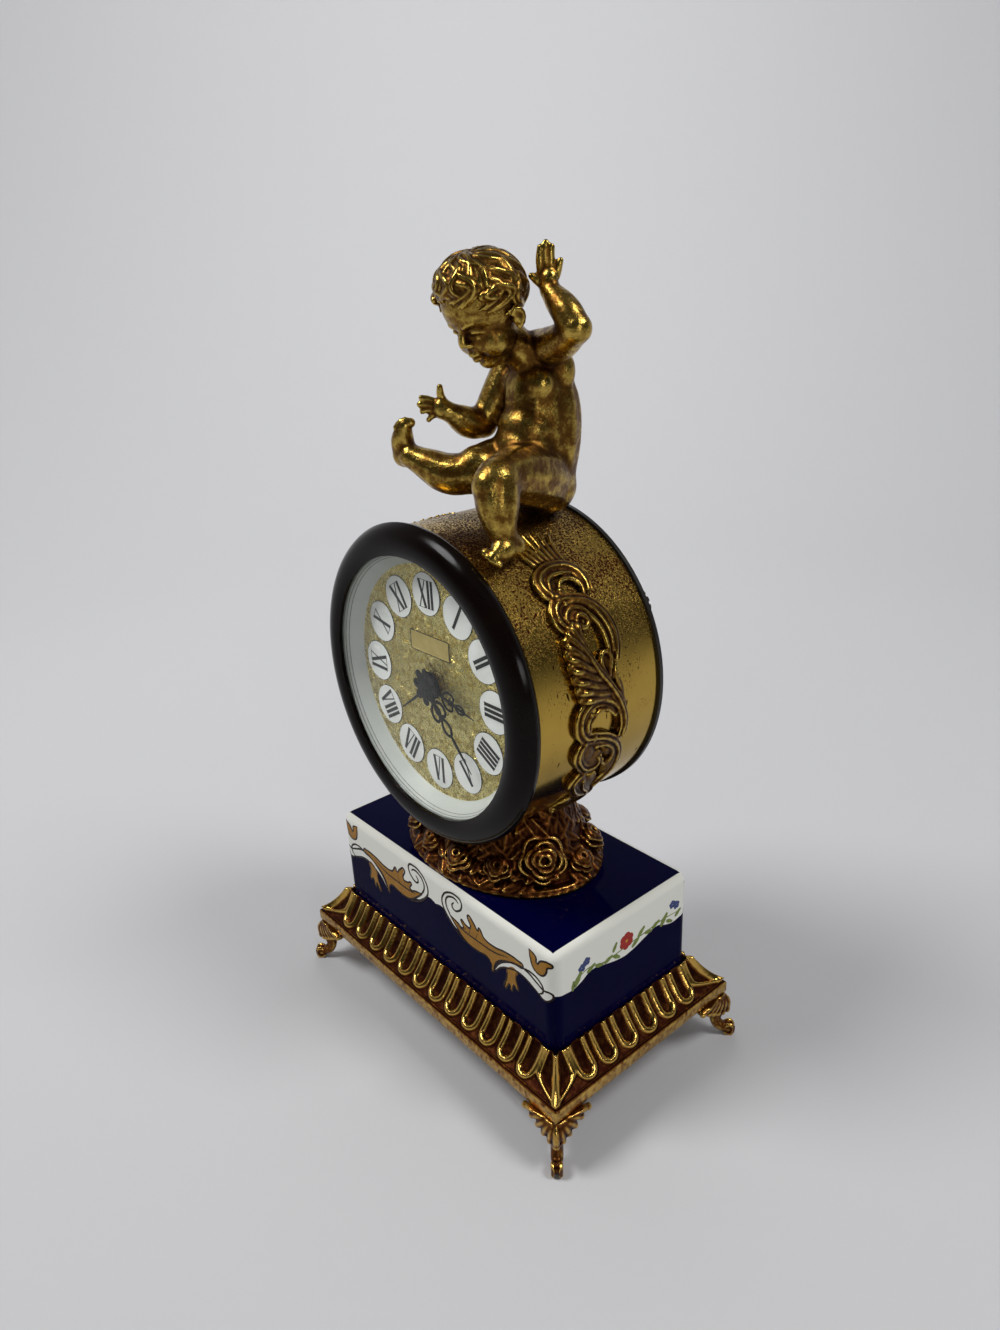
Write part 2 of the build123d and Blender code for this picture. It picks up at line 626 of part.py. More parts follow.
def leaf_wing():
    """Leaf that runs along the rim from a foot, drawn in X and Z from its corner inwards."""
    lower = Spline((0, FOOT_HEIGHT - WING_DROP), (WING_LENGTH / 2, FOOT_HEIGHT - WING_DROP / 2),
                   (WING_LENGTH, FOOT_HEIGHT - WING_DROP / 5))
    edges = [lower,
             Line((WING_LENGTH, FOOT_HEIGHT - WING_DROP / 5), (WING_LENGTH, FOOT_HEIGHT)),
             Line((WING_LENGTH, FOOT_HEIGHT), (0, FOOT_HEIGHT)),
             Line((0, FOOT_HEIGHT), (0, FOOT_HEIGHT - WING_DROP))]
    return extrude(make_face(edges), WING_THICKNESS)


def corner_foot():
    """Scroll foot of the +X +Y corner: leg, toe scroll and two leaf wings."""
    front = [(FOOT_REACH * out, FOOT_HEIGHT * up) for out, up in LEG_FRONT_SHARES]
    back = [(FOOT_REACH * out, FOOT_HEIGHT * up) for out, up in LEG_BACK_SHARES]
    corner_top = (back[-1][0], FOOT_HEIGHT)
    sole = (front[-1][0], 0)
    outline = make_face([
        Spline(*front),
        Line(front[-1], sole),
        Line(sole, back[0]),
        Spline(*back),
        Line(back[-1], corner_top),
        Line(corner_top, front[0]),
    ])
    inset = FOOT_INSET / math.sqrt(2)
    place = (BASE_LENGTH / 2 - inset, BASE_WIDTH / 2 - inset, 0)
    diagonal = Plane(place, x_dir=(1, 1, 0), z_dir=(1, -1, 0))
    leg = diagonal * extrude(outline, FOOT_WIDTH / 2, both=True)
    toe_place = Pos(front[-1][0], TOE_RADIUS + TOE_LIFT, 0)
    toe = diagonal * toe_place * Cylinder(TOE_RADIUS, FOOT_WIDTH + FOOT_INSET)
    x = BASE_LENGTH / 2 - FOOT_INSET
    y = BASE_WIDTH / 2 - FOOT_INSET
    along_x = Plane((x, y, 0), x_dir=(-1, 0, 0), z_dir=(0, 1, 0))
    along_y = Plane((x, y, 0), x_dir=(0, -1, 0), z_dir=(-1, 0, 0))
    wing_x = along_x * Pos(0, 0, -WING_THICKNESS) * leaf_wing()
    wing_y = along_y * leaf_wing()
    body = leg + [toe, wing_x, wing_y]
    screw_x = BASE_LENGTH / 2 - FOOT_SCREW_INSET / math.sqrt(2)
    screw_y = BASE_WIDTH / 2 - FOOT_SCREW_INSET / math.sqrt(2)
    flange_under = FOOT_HEIGHT - FOOT_FLANGE
    shank = upright(FOOT_SCREW_RADIUS + FIT, 0, FOOT_HEIGHT + OVERRUN, screw_x, screw_y)
    well = upright(FOOT_SCREW_HEAD_RADIUS + FIT, -OVERRUN, flange_under, screw_x, screw_y)
    return body - [shank, well]


def foot_at(sx, sy):
    """Scroll foot of one corner."""
    foot = corner_foot()
    if sx < 0:
        foot = mirror(foot, about=Plane.YZ)
    if sy < 0:
        foot = mirror(foot, about=Plane.XZ)
    return foot


def foot_screws():
    """Four screws that hold the feet to the base from below."""
    under = FOOT_HEIGHT - FOOT_FLANGE
    return Compound([
        upright(FOOT_SCREW_RADIUS, under, FOOT_HEIGHT + FOOT_SCREW_GRIP, x, y)
        + upright(FOOT_SCREW_HEAD_RADIUS, under - FOOT_SCREW_HEAD, under, x, y)
        for x, y in foot_screw_places()
    ])


def bridge_plate():
    """Steel plate under the ledge that the tie rod pulls on."""
    length = OPENING_LENGTH - 2 * LEDGE_WIDTH + 2 * BRIDGE_LAP
    width = OPENING_WIDTH - 2 * LEDGE_WIDTH + 2 * BRIDGE_LAP
    sheet = Rectangle(length, width) - Circle(ROD_RADIUS + FIT)
    return Pos(0, 0, FOOT_HEIGHT - BRIDGE_THICKNESS) * extrude(sheet, BRIDGE_THICKNESS)


def tie_rod():
    """Threaded rod through the plinth, the mound and the drum's bottom."""
    return upright(ROD_RADIUS, rod_foot(), rod_head())


def rod_foot():
    """Height of the tie rod's lower end."""
    return FOOT_HEIGHT - BRIDGE_THICKNESS - NUT_HEIGHT - ROD_SPARE


def boss_top():
    """Height of the flat boss inside the drum, which the upper nut sits on."""
    return DRUM_BOTTOM + DRUM_WALL + CASE_BOSS_RISE


def rod_head():
    """Height of the tie rod's upper end."""
    return boss_top() + NUT_HEIGHT + ROD_SPARE


def tie_nuts():
    """Nuts at both ends of the tie rod."""
    nut = hexagon_nut(NUT_RADIUS, ROD_RADIUS + RUNNING_FIT, NUT_HEIGHT)
    low = FOOT_HEIGHT - BRIDGE_THICKNESS - NUT_HEIGHT
    return Compound([Pos(0, 0, low) * nut, Pos(0, 0, boss_top()) * nut])


def porcelain_plinth():
    """Hollow cast porcelain box, open below, with a hole for the tie rod."""
    outer = RectangleRounded(PLINTH_LENGTH, PLINTH_WIDTH, PLINTH_CORNER_RADIUS)
    block = Pos(0, 0, LEDGE_TOP) * extrude(outer, PLINTH_HEIGHT)
    block = fillet(block.faces().sort_by(Axis.Z)[-1].edges(), PLINTH_EDGE_RADIUS)
    inner = Rectangle(PLINTH_LENGTH - 2 * PLINTH_WALL, PLINTH_WIDTH - 2 * PLINTH_WALL)
    cavity = Pos(0, 0, LEDGE_TOP) * extrude(inner, PLINTH_HEIGHT - PLINTH_WALL)
    return block - [cavity, upright(ROD_RADIUS + FIT, LEDGE_TOP, PLINTH_TOP + OVERRUN)]


def rose_mound():
    """Cast oval mound of roses with a saddle for the drum."""
    middle_length = MOUND_LENGTH * MOUND_MIDDLE_SHARE
    middle_width = MOUND_WIDTH * MOUND_MIDDLE_SHARE
    saddle_top = DRUM_CENTRE - math.sqrt(DRUM_RADIUS ** 2 - (MOUND_NECK_LENGTH / 2) ** 2)
    foot = Pos(0, 0, PLINTH_TOP) * Ellipse(MOUND_LENGTH / 2, MOUND_WIDTH / 2)
    lip = Pos(0, 0, PLINTH_TOP + MOUND_LIP) * Ellipse(MOUND_LENGTH / 2, MOUND_WIDTH / 2)
    waist = Pos(0, 0, PLINTH_TOP + MOUND_HEIGHT / 2) * Ellipse(middle_length / 2, middle_width / 2)
    neck = Pos(0, 0, saddle_top) * Ellipse(MOUND_NECK_LENGTH / 2, MOUND_NECK_WIDTH / 2)
    body = loft([foot, lip], ruled=True) + loft([lip, waist, neck], ruled=True)
    roses = []
    for angle, size_share in zip(ROSE_ANGLES, ROSE_SIZE_SHARES):
        x = MOUND_LENGTH / 2 * ROSE_RING_SHARE * math.cos(math.radians(angle))
        y = MOUND_WIDTH / 2 * ROSE_RING_SHARE * math.sin(math.radians(angle))
        z = PLINTH_TOP + MOUND_HEIGHT * ROSE_HEIGHT_SHARE * size_share
        roses.append(Pos(x, y, z) * Sphere(ROSE_RADIUS * size_share))
    body = body + roses
    below = Pos(0, 0, PLINTH_TOP - MOUND_HEIGHT) * extrude(Rectangle(BASE_LENGTH, BASE_WIDTH), MOUND_HEIGHT)
    saddle = CLOCK * rod(DRUM_RADIUS + CURVED_GAP, -DRUM_RADIUS, DRUM_RADIUS)
    bore = upright(ROD_RADIUS + FIT, PLINTH_TOP - OVERRUN, DRUM_CENTRE)
    return body - [below, saddle, bore]


# Drum, mounts, bezel, dial and cover
def mount_pin_holes(radius, start, end):
    """Radial bars at the places of the mounts' pins, on both sides of the drum."""
    bars = []
    for side in (-1, 1):
        for angle in MOUNT_PIN_ANGLES:
            turn = Plane(CLOCK.origin, x_dir=(0, -1, 0), z_dir=radial(angle, side))
            bars.append(turn * Pos(MOUNT_MIDDLE, 0, (start + end) / 2) * Cylinder(radius, end - start))
    return bars


def radial(angle, side):
    """Direction away from the drum's axis at an angle from its top, on one side."""
    return side * math.sin(math.radians(angle)), 0, math.cos(math.radians(angle))


def drum_case():
    """Thin brass drum with a ledge for the movement, a boss for the tie rod and bosses for the cover."""
    shell = pipe(DRUM_RADIUS, DRUM_INSIDE, -DRUM_BACK, DRUM_FRONT)
    ledge_end = FRONT_PLATE_DEPTH
    bore = DRUM_INSIDE - CASE_LEDGE_WIDTH
    ledge = pipe(DRUM_INSIDE + DRUM_WALL / 2, bore, ledge_end - CASE_LEDGE_DEPTH, ledge_end)
    boss_y = -DRUM_INSIDE + (CASE_BOSS_RISE - DRUM_WALL) / 2
    boss = Pos(0, boss_y, 0) * Box(CASE_BOSS_WIDTH, CASE_BOSS_RISE + DRUM_WALL, CASE_BOSS_WIDTH)
    boss = boss & rod(DRUM_RADIUS - DRUM_WALL / 2, -CASE_BOSS_WIDTH, CASE_BOSS_WIDTH)
    boss_back = -DRUM_BACK + COVER_SKIRT_DEPTH + FIT
    lugs = []
    for place in COVER_SCREWS:
        lug = rod(COVER_BOSS_RADIUS, boss_back, boss_back + COVER_BOSS_DEPTH, place)
        lugs.append(lug - rod(COVER_SCREW_RADIUS + FIT, boss_back, boss_back + COVER_SCREW_GRIP, place))
    body = CLOCK * (shell + [ledge, boss] + lugs)
    cuts = [upright(ROD_RADIUS + FIT, DRUM_BOTTOM - OVERRUN, DRUM_CENTRE)]
    cuts += mount_pin_holes(MOUNT_PIN_RADIUS + FIT, DRUM_INSIDE - OVERRUN, DRUM_RADIUS + OVERRUN)
    seat = figure_seat()
    cuts.append(upright(FIGURE_SCREW_RADIUS + FIT, DRUM_CENTRE, DRUM_TOP + OVERRUN, seat[0], seat[1]))
    return body - cuts


def scroll_mount(side):
    """Pierced gilt strip of scrolls bent round one side of the drum."""
    low = MOUNT_MIDDLE - MOUNT_WIDTH / 2
    high = MOUNT_MIDDLE + MOUNT_WIDTH / 2
    band = pipe(MOUNT_OUTSIDE, MOUNT_INSIDE, low, high)
    turns = [MOUNT_START_ANGLE + (MOUNT_END_ANGLE - MOUNT_START_ANGLE) * step / 4 for step in range(5)]
    reach = 2 * MOUNT_OUTSIDE
    rays = [(reach * math.sin(math.radians(turn)), reach * math.cos(math.radians(turn))) for turn in turns]
    wedge = plate_of(make_face(Polyline((0, 0), *rays, close=True)), low, high)
    strip = CLOCK * (band & wedge)
    cutters = []
    for (angle, edge), share in zip(MOUNT_NOTCHES, MOUNT_NOTCH_SHARES):
        cutters.append(radial_bar(angle, MOUNT_MIDDLE + edge * MOUNT_WIDTH / 2, MOUNT_WIDTH * share))
    for angle, place_share in MOUNT_HOLES:
        place = MOUNT_MIDDLE + place_share * MOUNT_WIDTH
        cutters.append(radial_bar(angle, place, MOUNT_WIDTH * MOUNT_HOLE_SHARE))
    strip = strip - cutters
    strip = strip - mount_pin_holes(MOUNT_PIN_RADIUS + FIT, DRUM_RADIUS, DRUM_RADIUS + MOUNT_PIN_BITE + FIT)
    if side < 0:
        strip = mirror(strip, about=Plane.YZ)
    return strip


def radial_bar(angle, depth, radius):
    """Bar through the right-hand mount, square to the drum's skin."""
    turn = Plane(CLOCK.origin, x_dir=(0, -1, 0), z_dir=radial(angle, 1))
    return turn * Pos(depth, 0, DRUM_RADIUS) * Cylinder(radius, 4 * MOUNT_THICKNESS)


def mount_pins():
    """Headed pins through the drum's wall into the scroll mounts."""
    shanks = mount_pin_holes(MOUNT_PIN_RADIUS, DRUM_INSIDE - MOUNT_PIN_HEAD, DRUM_RADIUS + MOUNT_PIN_BITE)
    under = math.sqrt(DRUM_INSIDE ** 2 - MOUNT_PIN_HEAD_RADIUS ** 2) - RUNNING_FIT
    heads = mount_pin_holes(MOUNT_PIN_HEAD_RADIUS, under - MOUNT_PIN_HEAD, under)
    return Compound([shank + head for shank, head in zip(shanks, heads)])


def turned(points):
    """Ring turned about the clock's axis from points of radius and depth."""
    outline = Plane.XZ * make_face(Polyline(*points, close=True))
    return revolve(outline, Axis.Z, 360)


def bezel():
    """Black round bezel with a lip over the crystal and a skirt inside the drum."""
    crown = DRUM_FRONT + BEZEL_DEPTH * BEZEL_CROWN_SHARE
    swell = BEZEL_RADIUS - BEZEL_REAR_RADIUS
    face = BEZEL_RADIUS - BEZEL_OPENING
    heel = (BEZEL_REAR_RADIUS + swell * BEZEL_HEEL_SHARES[0], DRUM_FRONT + BEZEL_DEPTH * BEZEL_HEEL_SHARES[1])
    shoulder = (BEZEL_OPENING + face * BEZEL_SHOULDER_SHARES[0], DRUM_FRONT + BEZEL_DEPTH * BEZEL_SHOULDER_SHARES[1])
    skirt_out = DRUM_INSIDE - FIT
    groove = CRYSTAL_RADIUS + FIT
    edges = [
        Line((skirt_out, DRUM_FRONT), (BEZEL_REAR_RADIUS, DRUM_FRONT)),
        ThreePointArc((BEZEL_REAR_RADIUS, DRUM_FRONT), heel, (BEZEL_RADIUS, crown)),
        ThreePointArc((BEZEL_RADIUS, crown), shoulder, (BEZEL_OPENING, BEZEL_FRONT)),
        Line((BEZEL_OPENING, BEZEL_FRONT), (BEZEL_OPENING, CRYSTAL_FRONT)),
        Line((BEZEL_OPENING, CRYSTAL_FRONT), (groove, CRYSTAL_FRONT)),
        Line((groove, CRYSTAL_FRONT), (groove, DRUM_FRONT)),
        Line((groove, DRUM_FRONT), (SKIRT_INSIDE, DRUM_FRONT)),
        Line((SKIRT_INSIDE, DRUM_FRONT), (SKIRT_INSIDE, DRUM_FRONT - BEZEL_SKIRT_DEPTH)),
        Line((SKIRT_INSIDE, DRUM_FRONT - BEZEL_SKIRT_DEPTH), (skirt_out, DRUM_FRONT - BEZEL_SKIRT_DEPTH)),
        Line((skirt_out, DRUM_FRONT - BEZEL_SKIRT_DEPTH), (skirt_out, DRUM_FRONT)),
    ]
    return CLOCK * revolve(Plane.XZ * make_face(edges), Axis.Z, 360)


def crystal():
    """Domed glass with a flat rim behind the bezel's lip."""
    dome = BEZEL_OPENING - FIT
    ball = (dome ** 2 + CRYSTAL_DOME ** 2) / (2 * CRYSTAL_DOME)
    bow = math.sqrt(ball ** 2 - (dome / 2) ** 2) - ball + CRYSTAL_DOME
    edges = [
        Line((0, CRYSTAL_BACK + CRYSTAL_DOME), (0, CRYSTAL_FRONT + CRYSTAL_DOME)),
        ThreePointArc((0, CRYSTAL_FRONT + CRYSTAL_DOME), (dome / 2, CRYSTAL_FRONT + bow), (dome, CRYSTAL_FRONT)),
        Line((dome, CRYSTAL_FRONT), (CRYSTAL_RADIUS, CRYSTAL_FRONT)),
        Line((CRYSTAL_RADIUS, CRYSTAL_FRONT), (CRYSTAL_RADIUS, CRYSTAL_BACK)),
        Line((CRYSTAL_RADIUS, CRYSTAL_BACK), (dome, CRYSTAL_BACK)),
        ThreePointArc((dome, CRYSTAL_BACK), (dome / 2, CRYSTAL_BACK + bow), (0, CRYSTAL_BACK + CRYSTAL_DOME)),
    ]
    return CLOCK * revolve(Plane.XZ * make_face(edges), Axis.Z, 360)


def dial_ring():
    """White sloped ring between the dial and the crystal."""
    return CLOCK * turned([
        (DIAL_OPENING, DIAL_FACE),
        (BEZEL_OPENING, CRYSTAL_BACK),
        (CRYSTAL_RADIUS, CRYSTAL_BACK),
        (CRYSTAL_RADIUS, DIAL_FACE),
    ])


def dial_plate():
    """Gilt dial plate with feet that stand on the movement's front plate."""
    disc = pipe(SKIRT_INSIDE - FIT, DIAL_HOLE, DIAL_BACK, DIAL_FACE)
    circle = SKIRT_INSIDE - DIAL_FOOT_INSET
    feet = [rod(DIAL_FOOT_RADIUS, FRONT_PLATE_FACE, DIAL_BACK, polar(circle, angle)) for angle in DIAL_FOOT_ANGLES]
    return CLOCK * (disc + feet)


def numeral_plaques():
    """Round white plaques for the hours, on the dial."""
    top = DIAL_FACE + PLAQUE_THICKNESS
    places = [polar(PLAQUE_CIRCLE, 360 * hour / HOURS) for hour in range(HOURS)]
    return Compound([CLOCK * rod(PLAQUE_RADIUS, DIAL_FACE, top, place) for place in places])


def back_cover():
    """Black back cover with a skirt inside the drum and holes for keys, knobs, button and screws."""
    disc = rod(DRUM_RADIUS + COVER_LIP, COVER_FACE, -DRUM_BACK)
    outer = DRUM_INSIDE - FIT
    skirt = pipe(outer, outer - COVER_SKIRT, -DRUM_BACK, -DRUM_BACK + COVER_SKIRT_DEPTH)
    holes = [
        (CENTRE_ARBOR_RADIUS + 2 * FIT, CENTRE),
        (BARREL_ARBOR_RADIUS + 2 * FIT, BARREL),
        (BARREL_ARBOR_RADIUS + 2 * FIT, ALARM_BARREL),
        (ALARM_ARBOR_RADIUS + 2 * FIT, ALARM_SET),
        (BUTTON_RADIUS + FIT, BUTTON),
    ]
    holes += [(COVER_SCREW_RADIUS + FIT, place) for place in COVER_SCREWS]
    cuts = [rod(radius, COVER_FACE - OVERRUN, -DRUM_BACK + OVERRUN, place) for radius, place in holes]
    skirt_end = -DRUM_BACK + COVER_SKIRT_DEPTH + OVERRUN
    cuts += [rod(COVER_BOSS_RADIUS, -DRUM_BACK, skirt_end, place) for place in COVER_SCREWS]
    return CLOCK * (disc + skirt - cuts)


def cover_screws():
    """Screws through the back cover into the drum's bosses."""
    boss_back = -DRUM_BACK + COVER_SKIRT_DEPTH + FIT
    return Compound([
        CLOCK * (rod(COVER_SCREW_RADIUS, COVER_FACE, boss_back + COVER_SCREW_GRIP - FIT, place)
                 + rod(COVER_SCREW_HEAD_RADIUS, COVER_FACE - COVER_SCREW_HEAD, COVER_FACE, place))
        for place in COVER_SCREWS
    ])


# Movement plates
def front_plate():
    """Front movement plate, as wide as the drum's inside, with the motion work's stud."""
    disc = rod(DRUM_INSIDE - FIT, FRONT_PLATE_DEPTH, FRONT_PLATE_FACE)
    stud_end = HOUR_LAYER + WHEEL_THICKNESS
    stud = rod(MOTION_STUD_RADIUS, FRONT_PLATE_DEPTH, stud_end, MOTION)
    pivots = (THIRD, FOURTH, ESCAPE, LEVER, BALANCE, ALARM_ESCAPE, HAMMER)
    cuts = [pivot_hole(place, FRONT_PLATE_DEPTH) for place in pivots]
    holes = [(CENTRE_ARBOR_RADIUS + RUNNING_FIT, CENTRE), (ALARM_ARBOR_RADIUS + RUNNING_FIT, ALARM_SET)]
    holes += [(BARREL_ARBOR_RADIUS + RUNNING_FIT, place) for place in (BARREL, ALARM_BARREL)]
    holes += [(PILLAR_STUD_RADIUS + FIT, place) for place in PILLARS]
    start = FRONT_PLATE_DEPTH - OVERRUN
    cuts += [rod(radius, start, FRONT_PLATE_FACE + OVERRUN, place) for radius, place in holes]
    return CLOCK * ((disc - cuts) + stud)


def rear_plate():
    """Rear movement plate with the click studs."""
    end = REAR_PLATE_DEPTH + PLATE_THICKNESS
    disc = rod(REAR_PLATE_RADIUS, REAR_PLATE_DEPTH, end)
    pivots = (THIRD, FOURTH, ESCAPE, LEVER, ALARM_ESCAPE, HAMMER)
    cuts = [pivot_hole(place, REAR_PLATE_DEPTH) for place in pivots]
    holes = [(CENTRE_ARBOR_RADIUS + RUNNING_FIT, CENTRE), (ALARM_ARBOR_RADIUS + RUNNING_FIT, ALARM_SET)]
    holes += [(BARREL_ARBOR_RADIUS + RUNNING_FIT, place) for place in (BARREL, ALARM_BARREL)]
    holes += [(PILLAR_STUD_RADIUS + FIT, place) for place in PILLARS]
    holes += [(ROLLER_RADIUS + FIT, BALANCE)]
    cuts += [rod(radius, REAR_PLATE_DEPTH - OVERRUN, end + OVERRUN, place) for radius, place in holes]
    studs = [rod(CLICK_STUD_RADIUS, RATCHET_DEPTH - CLICK_CLEARANCE, end, click_place(place))
             for place in (BARREL, ALARM_BARREL)]
    return CLOCK * ((disc - cuts) + studs)


def pillars():
    """Turned pillars between the plates, with a threaded stud at each end."""
    start = REAR_PLATE_DEPTH + PLATE_THICKNESS
    low = REAR_PLATE_DEPTH - PILLAR_NUT_HEIGHT
    high = FRONT_PLATE_FACE + PILLAR_NUT_HEIGHT
    return Compound([
        CLOCK * (rod(PILLAR_RADIUS, start, FRONT_PLATE_DEPTH, place) + rod(PILLAR_STUD_RADIUS, low, high, place))
        for place in PILLARS
    ])


def pillar_nuts():
    """Hexagon nuts at both ends of each pillar."""
    nut = hexagon_nut(PILLAR_NUT_RADIUS, PILLAR_STUD_RADIUS + RUNNING_FIT, PILLAR_NUT_HEIGHT)
    depths = (REAR_PLATE_DEPTH - PILLAR_NUT_HEIGHT, FRONT_PLATE_FACE)
    return Compound([CLOCK * Pos(x, y, depth) * nut for x, y in PILLARS for depth in depths])


# Barrels and winding
def barrel(teeth, module, leaves, radius, facing, at):
    """Mainspring barrel, open behind, with the great wheel's teeth round its front."""
    wheel_end = BARREL_WHEEL_DEPTH + WHEEL_THICKNESS
    bore = BARREL_ARBOR_RADIUS + RUNNING_FIT
    wheel = wheel_outline(teeth, module, leaves, facing) - Circle(bore)
    cup = pipe(radius, radius - BARREL_WALL, BARREL_WHEEL_DEPTH - BARREL_HEIGHT, BARREL_WHEEL_DEPTH, at)
    return CLOCK * (plate_of(wheel, BARREL_WHEEL_DEPTH, wheel_end, at) + cup)


def spiral_face(inner, outer, strip, turns, steps):
    """Flat spiral strip between two radii."""
    count = turns * steps
    growth = (outer - strip - inner) / count
    near = [polar(inner + growth * index, 360 * index / steps) for index in range(count + 1)]
    far = [polar(inner + strip + growth * index, 360 * index / steps) for index in range(count + 1)]
    return make_face(Polyline(*near, *reversed(far), close=True))


def mainspring(radius, at):
    """Coiled mainspring inside a barrel."""
    inner = BARREL_ARBOR_RADIUS + CLICK_CLEARANCE
    outer = radius - BARREL_WALL - FIT
    face = spiral_face(inner, outer, SPRING_STRIP, SPRING_TURNS, SPRING_STEPS)
    end = BARREL_WHEEL_DEPTH - FIT
    return CLOCK * plate_of(face, end - SPRING_HEIGHT, end, at)


def winding_arbor(at):
    """Winding arbor through both plates and the back cover, with its ratchet wheel."""
    stem = rod(BARREL_ARBOR_RADIUS, COVER_FACE - KEY_STANDOFF - KEY_HUB_RADIUS, FRONT_PLATE_FACE, at)
    ratchet = saw_outline(RATCHET_TEETH, RATCHET_RADIUS, RATCHET_ROOT_SHARE, 0.0)
    return CLOCK * (stem + plate_of(ratchet, RATCHET_DEPTH, RATCHET_DEPTH + WHEEL_THICKNESS, at))


def click_place(at):
    """Place of a click's stud beside its ratchet wheel."""
    return moved(at, RATCHET_RADIUS + CLICK_CLEARANCE + CLICK_RADIUS, CLICK_ANGLE)


def click(at):
    """Click that lies along its ratchet wheel."""
    place = click_place(at)
    tip = moved(place, CLICK_LENGTH, CLICK_ANGLE + 90)
    middle = ((place[0] + tip[0]) / 2, (place[1] + tip[1]) / 2)
    bar = Pos(*middle) * Rot(0, 0, CLICK_ANGLE + 90) * Rectangle(CLICK_LENGTH, CLICK_RADIUS)
    face = bar + Pos(*place) * Circle(CLICK_RADIUS)
    face = face - Pos(*place) * Circle(CLICK_STUD_RADIUS + RUNNING_FIT)
    return CLOCK * plate_of(face, RATCHET_DEPTH, RATCHET_DEPTH + WHEEL_THICKNESS)


def winding_key(at):
    """Butterfly winding key on the end of a winding arbor."""
    base = COVER_FACE - KEY_STANDOFF
    hub = rod(KEY_HUB_RADIUS, base - KEY_LENGTH / 2, base, at)
    wing = Circle(KEY_WING_RADIUS) - Circle(KEY_EYE_RADIUS)
    outline = Pos(-KEY_WING_SPREAD, 0) * wing + Pos(KEY_WING_SPREAD, 0) * wing
    outline = outline + Rectangle(2 * KEY_WING_SPREAD - 2 * KEY_EYE_RADIUS, KEY_WING_RADIUS)
    middle = base - KEY_LENGTH + KEY_WING_RADIUS
    wings = Pos(at[0], at[1], middle) * Rot(90, 0, 0) * extrude(outline, KEY_THICKNESS / 2, both=True)
    bore = rod(BARREL_ARBOR_RADIUS + RUNNING_FIT, base - KEY_HUB_RADIUS - FIT, base + OVERRUN, at)
    return CLOCK * (hub + wings - bore)


# Going train
def centre_wheel():
    """Centre wheel and pinion, turning on the centre arbor by friction."""
    bore = Circle(CENTRE_ARBOR_RADIUS + RUNNING_FIT)
    radius = CENTRE_MODULE * CENTRE_TEETH / 2
    wheel = wheel_outline(CENTRE_TEETH, CENTRE_MODULE, LEAVES, THIRD_ANGLE) - bore
    wheel = wheel - crossings(radius)
    hub = Circle(CANNON_PIPE) - bore
    driver = pinion_outline(LEAVES, BARREL_MODULE, BARREL_ANGLE) - bore
    pinion_end = BARREL_WHEEL_DEPTH + WHEEL_THICKNESS + PINION_OVERHANG
    pinion_start = BARREL_WHEEL_DEPTH - PINION_OVERHANG
    body = plate_of(wheel, CENTRE_WHEEL_DEPTH, CENTRE_WHEEL_DEPTH + WHEEL_THICKNESS)
    body += plate_of(hub, CENTRE_WHEEL_DEPTH, pinion_start)
    return CLOCK * (body + plate_of(driver, pinion_start, pinion_end))


def train_wheel(at, wheel, depth, driver, driver_depth):
    """Wheel and pinion on one arbor between the plates."""
    body = plate_of(wheel, depth, depth + WHEEL_THICKNESS, at)
    return CLOCK * (body + [pinion(*driver, driver_depth, at), arbor(at, ARBOR_RADIUS)])


def third_wheel():
    """Third wheel, driven by the centre wheel."""
    wheel = wheel_outline(THIRD_TEETH, THIRD_MODULE, LEAVES, FOURTH_ANGLE)
    wheel = wheel - crossings(THIRD_MODULE * THIRD_TEETH / 2)
    driver = (LEAVES, CENTRE_MODULE, THIRD_ANGLE + 180)
    return train_wheel(THIRD, wheel, THIRD_WHEEL_DEPTH, driver, CENTRE_WHEEL_DEPTH)


def fourth_wheel():
    """Fourth wheel, driven by the third wheel."""
    wheel = wheel_outline(FOURTH_TEETH, FOURTH_MODULE, LEAVES, ESCAPE_ANGLE)
    wheel = wheel - crossings(FOURTH_MODULE * FOURTH_TEETH / 2)
    driver = (LEAVES, THIRD_MODULE, FOURTH_ANGLE + 180)
    return train_wheel(FOURTH, wheel, FOURTH_WHEEL_DEPTH, driver, THIRD_WHEEL_DEPTH)


def escape_wheel():
    """Escape wheel, driven by the fourth wheel."""
    wheel = saw_outline(ESCAPE_TEETH, ESCAPE_RADIUS, ESCAPE_ROOT_SHARE, LEVER_LINE)
    driver = (LEAVES, FOURTH_MODULE, ESCAPE_ANGLE + 180)
    return train_wheel(ESCAPE, wheel, ESCAPE_WHEEL_DEPTH, driver, FOURTH_WHEEL_DEPTH)


# Lever and balance
def pallet_lever():
    """Lever with two pallet pins over the escape wheel and a tail towards the balance."""
    depth = ESCAPE_WHEEL_DEPTH - WHEEL_THICKNESS / 2
    end = ESCAPE_WHEEL_DEPTH
    tail = Rot(0, 0, LEVER_LINE) * Pos(LEVER_LENGTH / 2, 0) * Rectangle(LEVER_LENGTH, LEVER_WIDTH)
    face = tail + Circle(LEVER_WIDTH)
    pin_circle = ESCAPE_RADIUS + LEVER_PIN_CLEARANCE + LEVER_PIN_RADIUS
    pins = []
    for side in (-1, 1):
        pin = moved(ESCAPE, pin_circle, LEVER_LINE + side * LEVER_PIN_ANGLE)
        arm = (pin[0] - LEVER[0], pin[1] - LEVER[1])
        length = math.hypot(*arm)
        turn = math.degrees(math.atan2(arm[1], arm[0]))
        face += Rot(0, 0, turn) * Pos(length / 2, 0) * Rectangle(length, LEVER_WIDTH)
        face += Pos(*arm) * Circle(LEVER_WIDTH / 2)
        pins.append(rod(LEVER_PIN_RADIUS, depth, end + WHEEL_THICKNESS, pin))
    depth_shift = depth - FIT
    return CLOCK * (plate_of(face, depth_shift, end - FIT, LEVER) + pins + [arbor(LEVER, ARBOR_RADIUS)])


